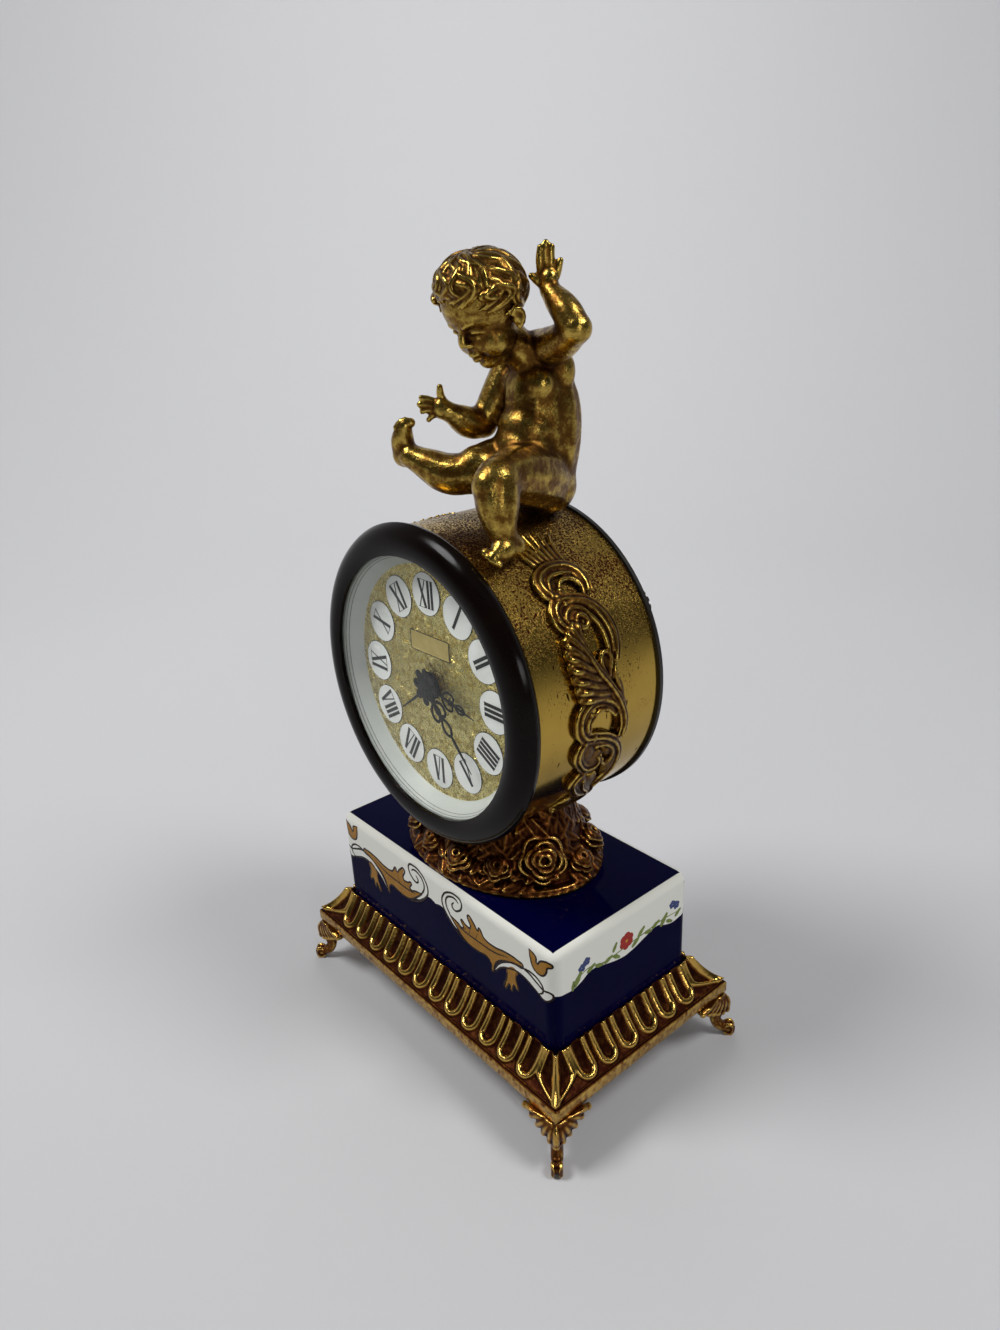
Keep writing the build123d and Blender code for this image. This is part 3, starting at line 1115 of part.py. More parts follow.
def balance_wheel():
    """Balance with its staff, two arms and a rim."""
    ring = Circle(BALANCE_RADIUS) - Circle(BALANCE_RADIUS - BALANCE_RIM)
    arms = Rectangle(2 * BALANCE_RADIUS - BALANCE_RIM, BALANCE_RIM)
    face = ring + arms + Circle(ROLLER_RADIUS)
    start = BALANCE_DEPTH - COCK_GAP + END_SHAKE
    end = FRONT_PLATE_DEPTH - END_SHAKE
    staff = rod(ARBOR_RADIUS, start, end, BALANCE)
    pivots = rod(PIVOT_RADIUS, start - PIVOT_LENGTH, end + PIVOT_LENGTH, BALANCE)
    return CLOCK * (plate_of(face, BALANCE_DEPTH, BALANCE_DEPTH + BALANCE_THICKNESS, BALANCE) + [staff, pivots])


def hairspring():
    """Flat spiral hairspring between the balance and its cock."""
    face = spiral_face(HAIRSPRING_INNER, HAIRSPRING_OUTER, HAIRSPRING_STRIP, HAIRSPRING_TURNS, SPRING_STEPS)
    face = face + (Circle(HAIRSPRING_INNER + HAIRSPRING_STRIP) - Circle(ARBOR_RADIUS + RUNNING_FIT))
    end = BALANCE_DEPTH - LAYER_GAP
    return CLOCK * plate_of(face, end - HAIRSPRING_HEIGHT, end, BALANCE)


def balance_cock():
    """Bridge on the rear plate that holds the balance's rear pivot."""
    start = BALANCE_DEPTH - COCK_GAP - COCK_THICKNESS
    end = BALANCE_DEPTH - COCK_GAP
    arm = Rot(0, 0, COCK_ANGLE) * Pos(COCK_REACH / 2, 0) * Rectangle(COCK_REACH, COCK_WIDTH)
    face = arm + Circle(COCK_WIDTH / 2) - Circle(PIVOT_RADIUS + RUNNING_FIT)
    foot_width = COCK_REACH - BALANCE_RADIUS - BALANCE_RIM
    foot_place = Pos(COCK_REACH - foot_width / 2, 0)
    foot = Rot(0, 0, COCK_ANGLE) * foot_place * Rectangle(foot_width, COCK_WIDTH)
    return CLOCK * (plate_of(face, start, end, BALANCE) + plate_of(foot, start, REAR_PLATE_DEPTH, BALANCE))


# Motion work and hands
def centre_arbor():
    """Arbor through the middle of the movement, from the cannon pinion to the setting knob."""
    back = COVER_FACE - KNOB_STANDOFF - SET_KNOB_LENGTH / 2
    return CLOCK * rod(CENTRE_ARBOR_RADIUS, back, MINUTE_HAND_DEPTH)


def cannon_pinion():
    """Cannon pinion and pipe on the centre arbor, which carry the minute hand."""
    bore = Circle(CENTRE_ARBOR_RADIUS + FIT / 10)
    teeth = pinion_outline(CANNON_TEETH, MOTION_MODULE, MOTION_ANGLE) - bore
    sleeve = Circle(CANNON_PIPE) - bore
    toothed = plate_of(teeth, MOTION_LAYER, MOTION_LAYER + WHEEL_THICKNESS)
    return CLOCK * (toothed + plate_of(sleeve, MOTION_LAYER, MINUTE_HAND_DEPTH))


def minute_wheel():
    """Minute wheel and pinion on the front plate's stud."""
    bore = Circle(MOTION_STUD_RADIUS + RUNNING_FIT)
    wheel = wheel_outline(MINUTE_TEETH, MOTION_MODULE, CANNON_TEETH, MOTION_ANGLE + 180) - bore
    leaves = pinion_outline(MINUTE_LEAVES, HOUR_MODULE, MOTION_ANGLE + 180) - bore
    wheel_end = MOTION_LAYER + WHEEL_THICKNESS
    body = plate_of(wheel, MOTION_LAYER, wheel_end, MOTION)
    return CLOCK * (body + plate_of(leaves, wheel_end, HOUR_LAYER + WHEEL_THICKNESS, MOTION))


def hour_wheel():
    """Hour wheel and pipe, which carry the hour hand."""
    bore = Circle(CANNON_PIPE + RUNNING_FIT)
    wheel = wheel_outline(HOUR_TEETH, HOUR_MODULE, MINUTE_LEAVES, MOTION_ANGLE) - bore
    body = plate_of(wheel, HOUR_LAYER, HOUR_LAYER + WHEEL_THICKNESS)
    return CLOCK * (body + plate_of(Circle(HOUR_PIPE) - bore, HOUR_LAYER, HOUR_HAND_DEPTH))


def alarm_wheel():
    """Alarm wheel and pipe, which carry the alarm hand."""
    bore = Circle(HOUR_PIPE + RUNNING_FIT)
    wheel = wheel_outline(ALARM_TEETH, ALARM_MODULE, ALARM_LEAVES, ALARM_SET_ANGLE) - bore
    wheel = wheel - crossings(ALARM_MODULE * ALARM_TEETH / 2)
    body = plate_of(wheel, ALARM_LAYER, ALARM_LAYER + WHEEL_THICKNESS)
    return CLOCK * (body + plate_of(Circle(ALARM_PIPE) - bore, ALARM_LAYER, ALARM_HAND_DEPTH))


def hand_blade(length, width):
    """Tapered blade of a hand, pointing to the top of the dial."""
    return make_face(Polyline((-width, 0), (-width / 2, length * 0.8), (0, length), (width / 2, length * 0.8),
                              (width, 0), close=True))


def hand(face, angle, depth, bore):
    """Flat hand with its hole, turned clockwise from the top of the dial."""
    return CLOCK * plate_of(Rot(0, 0, -angle) * (face - Circle(bore)), depth, depth + HAND_THICKNESS)


def minute_hand():
    """Ornate minute hand with loops and a lobed rosette at its middle."""
    face = hand_blade(MINUTE_HAND_LENGTH, HAND_WIDTH / 2)
    for place, side, radius in zip(LOOP_PLACE_SHARES, LOOP_SIDE_SHARES, LOOP_RADIUS_SHARES):
        outer = MINUTE_HAND_LENGTH * radius
        loop = Circle(outer) - Circle(outer - HAND_WIDTH / 2)
        face += Pos(MINUTE_HAND_LENGTH * side, MINUTE_HAND_LENGTH * place) * loop
    lobe = ROSETTE_RADIUS / 3
    face += Circle(ROSETTE_RADIUS - lobe) + PolarLocations(ROSETTE_RADIUS - lobe, ROSETTE_LOBES) * Circle(lobe)
    return hand(face, MINUTE_HAND_ANGLE, MINUTE_HAND_DEPTH, 0.6 * CENTRE_ARBOR_RADIUS)


def hour_hand():
    """Hour hand with a pierced spade."""
    spade = HOUR_HAND_LENGTH * LOOP_RADIUS_SHARES[0] * 1.3
    ring = Circle(spade) - Circle(spade - HAND_WIDTH / 2)
    face = hand_blade(HOUR_HAND_LENGTH, HAND_WIDTH * 0.6) + Pos(0, HOUR_HAND_LENGTH / 2) * ring
    face += Circle(HOUR_PIPE + HAND_WIDTH)
    return hand(face, HOUR_HAND_ANGLE, HOUR_HAND_DEPTH, CANNON_PIPE + RUNNING_FIT)


def alarm_hand():
    """Plain thin alarm hand."""
    face = hand_blade(ALARM_HAND_LENGTH, HAND_WIDTH / 3) + Circle(ALARM_PIPE + HAND_WIDTH)
    return hand(face, ALARM_HAND_ANGLE, ALARM_HAND_DEPTH, HOUR_PIPE + RUNNING_FIT)


def knob(radius, length, arbor_radius, at):
    """Fluted knob on the end of an arbor behind the cover."""
    face = Circle(radius) - PolarLocations(radius, KNOB_GRIPS) * Circle(radius * KNOB_GRIP_SHARE)
    base = COVER_FACE - KNOB_STANDOFF
    bore = rod(arbor_radius + FIT / 10, base - length / 2, base, at)
    return CLOCK * (plate_of(face, base - length, base, at) - bore)


def alarm_set_arbor():
    """Alarm setting arbor with the pinion that turns the alarm wheel."""
    back = COVER_FACE - KNOB_STANDOFF - ALARM_KNOB_LENGTH / 2
    stem = rod(ALARM_ARBOR_RADIUS, back, ALARM_LAYER + WHEEL_THICKNESS, ALARM_SET)
    face = pinion_outline(ALARM_LEAVES, ALARM_MODULE, ALARM_SET_ANGLE + 180)
    return CLOCK * (stem + plate_of(face, ALARM_LAYER, ALARM_LAYER + WHEEL_THICKNESS, ALARM_SET))


# Alarm train and stop button
def alarm_escape_wheel():
    """Alarm rattle wheel, driven by the alarm barrel."""
    wheel = saw_outline(ALARM_RATTLE_TEETH, ALARM_RATTLE_RADIUS, ESCAPE_ROOT_SHARE, 0.0)
    driver = (ALARM_ESCAPE_LEAVES, ALARM_BARREL_MODULE, ALARM_ESCAPE_ANGLE + 180)
    return train_wheel(ALARM_ESCAPE, wheel, ALARM_RATTLE_DEPTH, driver, BARREL_WHEEL_DEPTH)


def alarm_hammer():
    """Alarm hammer on its arbor, beside the rattle wheel."""
    depth = ALARM_RATTLE_DEPTH
    head_place = moved(HAMMER, HAMMER_LENGTH, HAMMER_ANGLE)
    level = depth + WHEEL_THICKNESS / 2
    shaft = Pos(HAMMER[0], HAMMER[1], level) * Rot(0, 0, HAMMER_ANGLE) * Rot(0, 90, 0)
    shaft = shaft * Pos(0, 0, HAMMER_LENGTH / 2) * Cylinder(HAMMER_ROD_RADIUS, HAMMER_LENGTH)
    head = rod(HAMMER_HEAD_RADIUS, level - HAMMER_HEAD_LENGTH / 2, level + HAMMER_HEAD_LENGTH / 2, head_place)
    return CLOCK * (arbor(HAMMER, ARBOR_RADIUS) + [shaft, head])


def stop_button():
    """Push button through the back cover, kept in by a collar."""
    collar_start = -DRUM_BACK + FIT
    end = collar_start + BUTTON_COLLAR
    body = rod(BUTTON_RADIUS, COVER_FACE - BUTTON_STANDOUT, end, BUTTON)
    return CLOCK * (body + rod(BUTTON_COLLAR_RADIUS, collar_start, end, BUTTON))


# Putto
def limb(start, end, start_radius, end_radius):
    """Round limb that tapers between two balls."""
    reach = (end - start).length
    lean = math.asin((start_radius - end_radius) / reach)
    low = (lean - math.pi / 2) / 2
    high = (lean + math.pi / 2) / 2
    first = (start_radius * math.cos(lean), start_radius * math.sin(lean))
    last = (end_radius * math.cos(lean), reach + end_radius * math.sin(lean))
    first_bow = (start_radius * math.cos(low), start_radius * math.sin(low))
    last_bow = (end_radius * math.cos(high), reach + end_radius * math.sin(high))
    outline = make_face([
        ThreePointArc((0, -start_radius), first_bow, first),
        Line(first, last),
        ThreePointArc(last, last_bow, (0, reach + end_radius)),
        Line((0, reach + end_radius), (0, -start_radius)),
    ])
    return Plane(start, z_dir=end - start) * revolve(Plane.XZ * outline, Axis.Z, 360)


def figure_point(shares):
    """Place of a figure point above the drum's top."""
    x, y, z = shares
    return Vector(x * FIGURE_HEIGHT, y * FIGURE_HEIGHT, DRUM_TOP + z * FIGURE_HEIGHT)


def figure_seat():
    """Place of the figure's screw on the drum."""
    return SEAT_SHARES[0] * FIGURE_HEIGHT, SEAT_SHARES[1] * FIGURE_HEIGHT


def seat_top():
    """Height of the drum's skin at the figure's screw."""
    return DRUM_CENTRE + math.sqrt(DRUM_RADIUS ** 2 - figure_seat()[0] ** 2)


def hair_curls():
    """Curls over the top, back and sides of the head, by bearing from the front and height in degrees."""
    centre = figure_point(HEAD_SHARES[0][0])
    curl = Sphere(FIGURE_HEIGHT * CURL_RADIUS_SHARE)
    curls = []
    for bearing, height in CURL_DIRECTIONS:
        side, ahead = polar(math.cos(math.radians(height)), bearing - 90)
        step = Vector(side, ahead, math.sin(math.radians(height))) * (FIGURE_HEIGHT * CURL_RING_SHARE)
        curls.append(Pos(centre + step) * curl)
    return curls


def putto_figure():
    """Seated child figure, cut to sit on the drum, with a hole for its screw."""
    bars = BODY_SHARES + LEG_SHARES + ARM_SHARES + HEAD_SHARES
    bars += tuple((start, end, radius, radius) for start, end, radius in FINGER_SHARES)
    solids = [
        limb(figure_point(start), figure_point(end), FIGURE_HEIGHT * start_share, FIGURE_HEIGHT * end_share)
        for start, end, start_share, end_share in bars
    ]
    solids += hair_curls()
    body = solids[0]
    for solid in solids[1:]:
        body = body + solid
    seat = figure_seat()
    drum = CLOCK * rod(DRUM_RADIUS + CURVED_GAP, -DRUM_RADIUS, DRUM_RADIUS)
    bezel_space = CLOCK * rod(BEZEL_RADIUS + CURVED_GAP, DRUM_FRONT - CURVED_GAP, BEZEL_FRONT + BEZEL_DEPTH)
    bore = upright(FIGURE_SCREW_RADIUS + FIT, DRUM_CENTRE, seat_top() + FIGURE_SCREW_BITE + FIT, *seat)
    return body - [drum, bezel_space, bore]


def figure_screw():
    """Screw from inside the drum into the figure, with its square washer head."""
    seat = figure_seat()
    inside = math.sqrt(DRUM_INSIDE ** 2 - (abs(seat[0]) + FIGURE_NUT_RADIUS) ** 2)
    head_top = DRUM_CENTRE + inside - RUNNING_FIT
    shank = upright(FIGURE_SCREW_RADIUS, head_top - FIGURE_NUT_HEIGHT, seat_top() + FIGURE_SCREW_BITE, *seat)
    return shank + upright(FIGURE_NUT_RADIUS, head_top - FIGURE_NUT_HEIGHT, head_top, *seat)


def nodes():
    """Every sub-part of the clock by its node name."""
    made = {
        "base_frame": base_frame(),
        "foot_screws": foot_screws(),
        "bridge_plate": bridge_plate(),
        "tie_rod": tie_rod(),
        "tie_nuts": tie_nuts(),
        "porcelain_plinth": porcelain_plinth(),
        "rose_mound": rose_mound(),
        "drum_case": drum_case(),
        "scroll_mount_left": scroll_mount(-1),
        "scroll_mount_right": scroll_mount(1),
        "mount_pins": mount_pins(),
        "bezel": bezel(),
        "crystal": crystal(),
        "dial_ring": dial_ring(),
        "dial_plate": dial_plate(),
        "numeral_plaques": numeral_plaques(),
        "back_cover": back_cover(),
        "cover_screws": cover_screws(),
        "putto_figure": putto_figure(),
        "figure_screw": figure_screw(),
        "front_plate": front_plate(),
        "rear_plate": rear_plate(),
        "pillars": pillars(),
        "pillar_nuts": pillar_nuts(),
        "centre_wheel": centre_wheel(),
        "third_wheel": third_wheel(),
        "fourth_wheel": fourth_wheel(),
        "escape_wheel": escape_wheel(),
        "pallet_lever": pallet_lever(),
        "balance_wheel": balance_wheel(),
        "hairspring": hairspring(),
        "balance_cock": balance_cock(),
        "centre_arbor": centre_arbor(),
        "cannon_pinion": cannon_pinion(),
        "minute_wheel": minute_wheel(),
        "hour_wheel": hour_wheel(),
        "alarm_wheel": alarm_wheel(),
        "minute_hand": minute_hand(),
        "hour_hand": hour_hand(),
        "alarm_hand": alarm_hand(),
        "set_knob": knob(SET_KNOB_RADIUS, SET_KNOB_LENGTH, CENTRE_ARBOR_RADIUS, CENTRE),
        "alarm_set_arbor": alarm_set_arbor(),
        "alarm_set_knob": knob(ALARM_KNOB_RADIUS, ALARM_KNOB_LENGTH, ALARM_ARBOR_RADIUS, ALARM_SET),
        "alarm_escape_wheel": alarm_escape_wheel(),
        "alarm_hammer": alarm_hammer(),
        "stop_button": stop_button(),
    }
    for end, sy in (("front", -1), ("rear", 1)):
        for side, sx in (("left", -1), ("right", 1)):
            made[f"foot_{end}_{side}"] = foot_at(sx, sy)
    winding = {
        "time": (BARREL, BARREL_TEETH, BARREL_MODULE, LEAVES, BARREL_RADIUS, BARREL_ANGLE + 180),
        "alarm": (ALARM_BARREL, ALARM_BARREL_TEETH, ALARM_BARREL_MODULE, ALARM_ESCAPE_LEAVES,
                  ALARM_BARREL_RADIUS, ALARM_ESCAPE_ANGLE),
    }
    for train, (at, teeth, module, leaves, radius, facing) in winding.items():
        made[f"{train}_barrel"] = barrel(teeth, module, leaves, radius, facing, at)
        made[f"{train}_mainspring"] = mainspring(radius, at)
        made[f"{train}_arbor"] = winding_arbor(at)
        made[f"{train}_click"] = click(at)
        made[f"{train}_key"] = winding_key(at)
    return made


def main():
    """Write one STEP file for each sub-part."""
    os.makedirs("parts", exist_ok=True)
    for name, shape in nodes().items():
        export_step(shape, f"parts/{name}.step")


main()
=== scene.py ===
"""Looks of a gilt figural clock: castings, painted porcelain, dial and studio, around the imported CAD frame."""

import json
import logging
import math
import random
from collections.abc import Sequence
from dataclasses import dataclass
from enum import Enum

import bmesh
import bpy
import numpy as np
from bmesh.types import BMEdge, BMesh, BMVert
from bpy.types import ID, Material, Mesh, Node, NodeSocket, NodeTree, Object
from mathutils import Matrix, Vector, noise


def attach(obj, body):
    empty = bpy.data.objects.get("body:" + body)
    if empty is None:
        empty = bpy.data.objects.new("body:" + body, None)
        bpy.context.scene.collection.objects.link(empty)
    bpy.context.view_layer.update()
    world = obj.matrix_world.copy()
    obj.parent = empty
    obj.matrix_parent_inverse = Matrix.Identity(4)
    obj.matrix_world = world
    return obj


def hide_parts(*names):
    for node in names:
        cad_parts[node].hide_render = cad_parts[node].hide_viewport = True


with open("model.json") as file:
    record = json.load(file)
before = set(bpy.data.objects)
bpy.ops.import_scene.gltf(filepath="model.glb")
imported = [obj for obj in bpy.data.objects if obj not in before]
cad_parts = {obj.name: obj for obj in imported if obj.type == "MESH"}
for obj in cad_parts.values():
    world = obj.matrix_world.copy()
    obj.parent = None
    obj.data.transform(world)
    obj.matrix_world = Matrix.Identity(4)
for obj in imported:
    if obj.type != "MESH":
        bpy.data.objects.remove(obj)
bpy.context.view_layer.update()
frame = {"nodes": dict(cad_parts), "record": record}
LOG = logging.getLogger("figural_clock")

MM = 0.001
DRUM_AXIS_Z = 120.0
DRUM_SKIN = 44.15
BEZEL_SKIN = 45.95
BEZEL_REAR = -22.2

Point = tuple[float, float, float]
Flat = tuple[float, float]
Stroke = tuple[Sequence[Sequence[float]], Sequence[float]]


class Body(str, Enum):
    """CAD bodies that the new pieces ride on."""

    CASE = "clock_body"
    MINUTE = "hand_setting"
    HOUR = "hour_work"
    ALARM = "alarm_dial_work"


class Slot(str, Enum):
    """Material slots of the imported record."""

    GILT = "gilt_metal"
    DRUM = "drum_brass"
    PORCELAIN = "porcelain"
    LACQUER = "black_lacquer"
    CRYSTAL = "crystal_glass"
    FOIL = "dial_gold"
    ENAMEL = "white_enamel"
    HAND = "hand_black"
    BRASS = "movement_brass"
    STEEL = "movement_steel"
    KNOB = "knob_black"


# Node and colour helpers


def linear(colour: str) -> tuple[float, float, float, float]:
    """Turns an sRGB hex colour to linear RGBA.

    Args:
        colour: "#RRGGBB".

    Returns:
        Linear red, green, blue and an alpha of 1.
    """
    parts = [int(colour[i:i + 2], 16) / 255 for i in (1, 3, 5)]
    rgb = [c / 12.92 if c <= 0.04045 else ((c + 0.055) / 1.055) ** 2.4 for c in parts]
    return rgb[0], rgb[1], rgb[2], 1.0


def per_mm(size: float) -> float:
    """Texture scale whose features are about size millimetres across."""
    return 1.0 / (size * MM)


def plug(node: Node, inputs: dict) -> None:
    """Sets a node's sockets.

    Args:
        node: Node of a tree.
        inputs: Socket name or number to a constant or to a socket that is linked to it.
    """
    for key, value in inputs.items():
        if isinstance(value, NodeSocket):
            node.id_data.links.new(value, node.inputs[key])
        else:
            node.inputs[key].default_value = value


def add(tree: NodeTree, kind: str, inputs: dict | None = None, **settings: object) -> Node:
    """Adds a shader node with its settings, constants and links.

    Args:
        tree: Node tree of the material or world.
        kind: Node type without its ShaderNode prefix.
        inputs: Socket name or number to a constant or to a socket that is linked to it.
        settings: Node properties; stops fills a colour ramp and curve fills a float curve.

    Returns:
        The new node.
    """
    made = tree.nodes.new("ShaderNode" + kind)
    for name, value in settings.items():
        if name == "stops":
            ramp = made.color_ramp
            while len(ramp.elements) < len(value):
                ramp.elements.new(1.0)
            for element, (place, colour) in zip(ramp.elements, value):
                element.position = place
                element.color = colour
        elif name == "curve":
            points = made.mapping.curves[0].points
            while len(points) < len(value):
                points.new(0.5, 0.5)
            for point, place in zip(points, value):
                point.location = place
            made.mapping.update()
        else:
            setattr(made, name, value)
    plug(made, inputs or {})
    return made


# Finishes


@dataclass(frozen=True)
class Finish:
    """A surface finish that becomes one material."""

    name: str

    def material(self) -> Material:
        """Makes the material on first use.

        Returns:
            The material of this finish.
        """
        made = bpy.data.materials.get(self.name)
        if made is None:
            made = bpy.data.materials.new(self.name)
            made.use_nodes = True
            tree = made.node_tree
            tree.nodes.clear()
            shader = add(tree, "BsdfPrincipled")
            add(tree, "OutputMaterial", {"Surface": shader.outputs[0]})
            self.shade(tree, shader)
        return made

    def shade(self, tree: NodeTree, shader: Node) -> None:
        """Fills the shader's sockets."""
        raise NotImplementedError


@dataclass(frozen=True)
class GiltCasting(Finish):
    """Gilt zinc casting: rubbed bright gold on the high parts, red-brown toning left in the hollows."""

    gold: str = "#BEA04C"
    rubbed: str = "#6E4C1E"
    toning: str = "#260F08"
    mottle_mm: float = 2.2
    mottle_share: float = 0.7
    crinkle_mm: float = 1.1
    crinkle: float = 0.35

    def shade(self, tree: NodeTree, shader: Node) -> None:
        """Mixes gold and toning by the casting's own hollows and by rubbed patches, over a crinkled skin."""
        place = add(tree, "TexCoord").outputs["Object"]
        hollow = add(tree, "Attribute", attribute_name="recess").outputs["Fac"]
        mottle = add(tree, "TexNoise", {"Vector": place, "Scale": per_mm(self.mottle_mm),
                                        "Detail": 6.0, "Roughness": 0.72}).outputs["Fac"]
        skin = add(tree, "TexNoise", {"Vector": place, "Scale": per_mm(self.crinkle_mm),
                                      "Detail": 4.0, "Roughness": 0.6}).outputs["Fac"]
        tone = add(tree, "Math", {0: mottle, 1: self.mottle_share, 2: hollow}, operation="MULTIPLY_ADD").outputs[0]
        middle = self.mottle_share / 2
        colour = add(tree, "ValToRGB", {"Fac": add(tree, "Math", {0: tone, 1: 0.5}, operation="MULTIPLY").outputs[0]},
                     stops=[((0.26 + middle) / 2, linear(self.gold)), ((0.48 + middle) / 2, linear(self.rubbed)),
                            ((0.82 + middle) / 2, linear(self.toning))]).outputs["Color"]
        rough = add(tree, "MapRange", {"Value": tone, "From Min": 0.2 + middle, "From Max": 0.8 + middle,
                                       "To Min": 0.16, "To Max": 0.5}).outputs[0]
        bump = add(tree, "Bump", {"Height": skin, "Strength": self.crinkle, "Distance": 0.3 * MM}).outputs[0]
        plug(shader, {"Base Color": colour, "Roughness": rough, "Normal": bump, "Metallic": 1.0})


@dataclass(frozen=True)
class PittedBrass(Finish):
    """Old lacquered sheet brass: olive-gold, dark pits crowded on the upper flanks and long scars below."""

    brass: str = "#CBAA50"
    dull: str = "#A8873A"
    pit: str = "#3C1E0E"
    pit_mm: float = 0.55
    scar_mm: float = 1.5

    def shade(self, tree: NodeTree, shader: Node) -> None:
        """Shades patches, pits by height and elongated scars."""
        place = add(tree, "TexCoord").outputs["Object"]
        height = add(tree, "SeparateXYZ", {0: place}).outputs["Z"]
        cloud = add(tree, "TexNoise", {"Vector": place, "Scale": per_mm(14.0), "Detail": 3.0}).outputs["Fac"]
        fine = add(tree, "TexNoise", {"Vector": place, "Scale": per_mm(self.pit_mm),
                                      "Detail": 3.0, "Roughness": 0.6}).outputs["Fac"]
        crowd = add(tree, "MapRange", {"Value": height, "From Min": 0.120, "From Max": 0.146,
                                       "To Min": -0.16, "To Max": 0.075}).outputs[0]
        drift = add(tree, "Math", {0: cloud, 1: 0.35, 2: crowd}, operation="MULTIPLY_ADD").outputs[0]
        pitted = add(tree, "Math", {0: fine, 1: drift}, operation="ADD").outputs[0]
        dots = add(tree, "MapRange", {"Value": pitted, "From Min": 0.70, "From Max": 0.78}).outputs[0]
        long_place = add(tree, "Mapping", {"Vector": place, "Scale": (1.0, 1.0, 0.28)}).outputs[0]
        scars = add(tree, "TexNoise", {"Vector": long_place, "Scale": per_mm(self.scar_mm),
                                       "Detail": 1.0}).outputs["Fac"]
        scars = add(tree, "MapRange", {"Value": scars, "From Min": 0.715, "From Max": 0.75}).outputs[0]
        damage = add(tree, "Math", {0: dots, 1: scars}, operation="MAXIMUM").outputs[0]
        ground = add(tree, "MixRGB", {0: cloud, 1: linear(self.brass), 2: linear(self.dull)}).outputs[0]
        colour = add(tree, "MixRGB", {0: damage, 1: ground, 2: linear(self.pit)}).outputs[0]
        rough = add(tree, "MapRange", {"Value": damage, "To Min": 0.17, "To Max": 0.6}).outputs[0]
        bump = add(tree, "Bump", {"Height": damage, "Strength": 0.5, "Distance": 0.08 * MM}, invert=True).outputs[0]
        plug(shader, {"Base Color": colour, "Roughness": rough, "Normal": bump, "Metallic": 1.0})


@dataclass(frozen=True)
class GlazedPorcelain(Finish):
    """Glazed porcelain: deep cobalt ground, white reserve along the top edge with a painted wavy border."""

    cobalt: str = "#010120"
    cobalt_thin: str = "#030332"
    white: str = "#E4E4DB"
    half_length: float = 51.2
    half_width: float = 27.5
    top: float = 59.9
    edge: float = 2.0
    low: float = 40.0
    front_edge: tuple[Flat, ...] = (
        (0, 50), (3.5, 50.6), (6.4, 48.7), (9.5, 46.6), (15.3, 45.4), (22, 46), (29, 47.6),
        (35, 49.6), (41.5, 50), (45.5, 47.4), (49, 46.6), (51.2, 46.8),
    )
    side_edge: tuple[Flat, ...] = (
        (0, 45.4), (4, 46), (8.3, 47.2), (13.4, 48.3), (17.5, 46.6), (20.4, 45.9), (23.5, 46.2), (27.5, 46.8),
    )

    def shade(self, tree: NodeTree, shader: Node) -> None:
        """Paints the reserve by place on the box and varies the glaze."""
        coords = add(tree, "TexCoord").outputs
        place = add(tree, "SeparateXYZ", {0: coords["Object"]}).outputs
        facing = add(tree, "SeparateXYZ", {0: add(tree, "NewGeometry").outputs["True Normal"]}).outputs
        reserve, inside = [], []
        for axis, reach, outline in (("X", self.half_length, self.front_edge), ("Y", self.half_width, self.side_edge)):
            along = add(tree, "Math", {0: place[axis]}, operation="ABSOLUTE").outputs[0]
            share = add(tree, "Math", {0: along, 1: reach * MM}, operation="DIVIDE").outputs[0]
            wave = add(tree, "FloatCurve", {"Value": share}, curve=[
                (s / reach, (z - self.low) / (self.top - self.low)) for s, z in outline]).outputs[0]
            border = add(tree, "MapRange", {"Value": wave, "To Min": self.low * MM, "To Max": self.top * MM}).outputs[0]
            over = add(tree, "Math", {0: place["Z"], 1: border}, operation="SUBTRACT").outputs[0]
            reserve.append(add(tree, "MapRange", {"Value": over, "From Min": -0.08 * MM,
                                                  "From Max": 0.08 * MM}).outputs[0])
            start = (reach - self.edge) * MM
            inside.append(add(tree, "MapRange", {"Value": along, "From Min": start, "From Max": start + 0.15 * MM,
                                                 "To Min": 1.0, "To Max": 0.0}).outputs[0])
        sideways = add(tree, "Math", {0: facing["X"]}, operation="ABSOLUTE").outputs[0]
        pick = add(tree, "MapRange", {"Value": sideways, "From Min": 0.68, "From Max": 0.74}).outputs[0]
        band = add(tree, "Mix", {"Factor": pick, 2: reserve[0], 3: reserve[1]}, data_type="FLOAT").outputs[0]
        top_face = add(tree, "Math", {0: inside[0], 1: inside[1]}, operation="MULTIPLY").outputs[0]
        off_top = add(tree, "Math", {0: 1.0, 1: top_face}, operation="SUBTRACT").outputs[0]
        white = add(tree, "Math", {0: band, 1: off_top}, operation="MULTIPLY").outputs[0]
        pool = add(tree, "TexNoise", {"Vector": coords["Object"], "Scale": per_mm(18.0), "Detail": 3.0}).outputs["Fac"]
        blue = add(tree, "MixRGB", {0: pool, 1: linear(self.cobalt), 2: linear(self.cobalt_thin)}).outputs[0]
        colour = add(tree, "MixRGB", {0: white, 1: blue, 2: linear(self.white)}).outputs[0]
        ripple = add(tree, "TexNoise", {"Vector": coords["Object"], "Scale": per_mm(7.0), "Detail": 1.0}).outputs["Fac"]
        bump = add(tree, "Bump", {"Height": ripple, "Strength": 0.12, "Distance": 0.1 * MM}).outputs[0]
        plug(shader, {"Base Color": colour, "Normal": bump, "Roughness": 0.08, "IOR": 1.5,
                      "Specular IOR Level": 0.02})


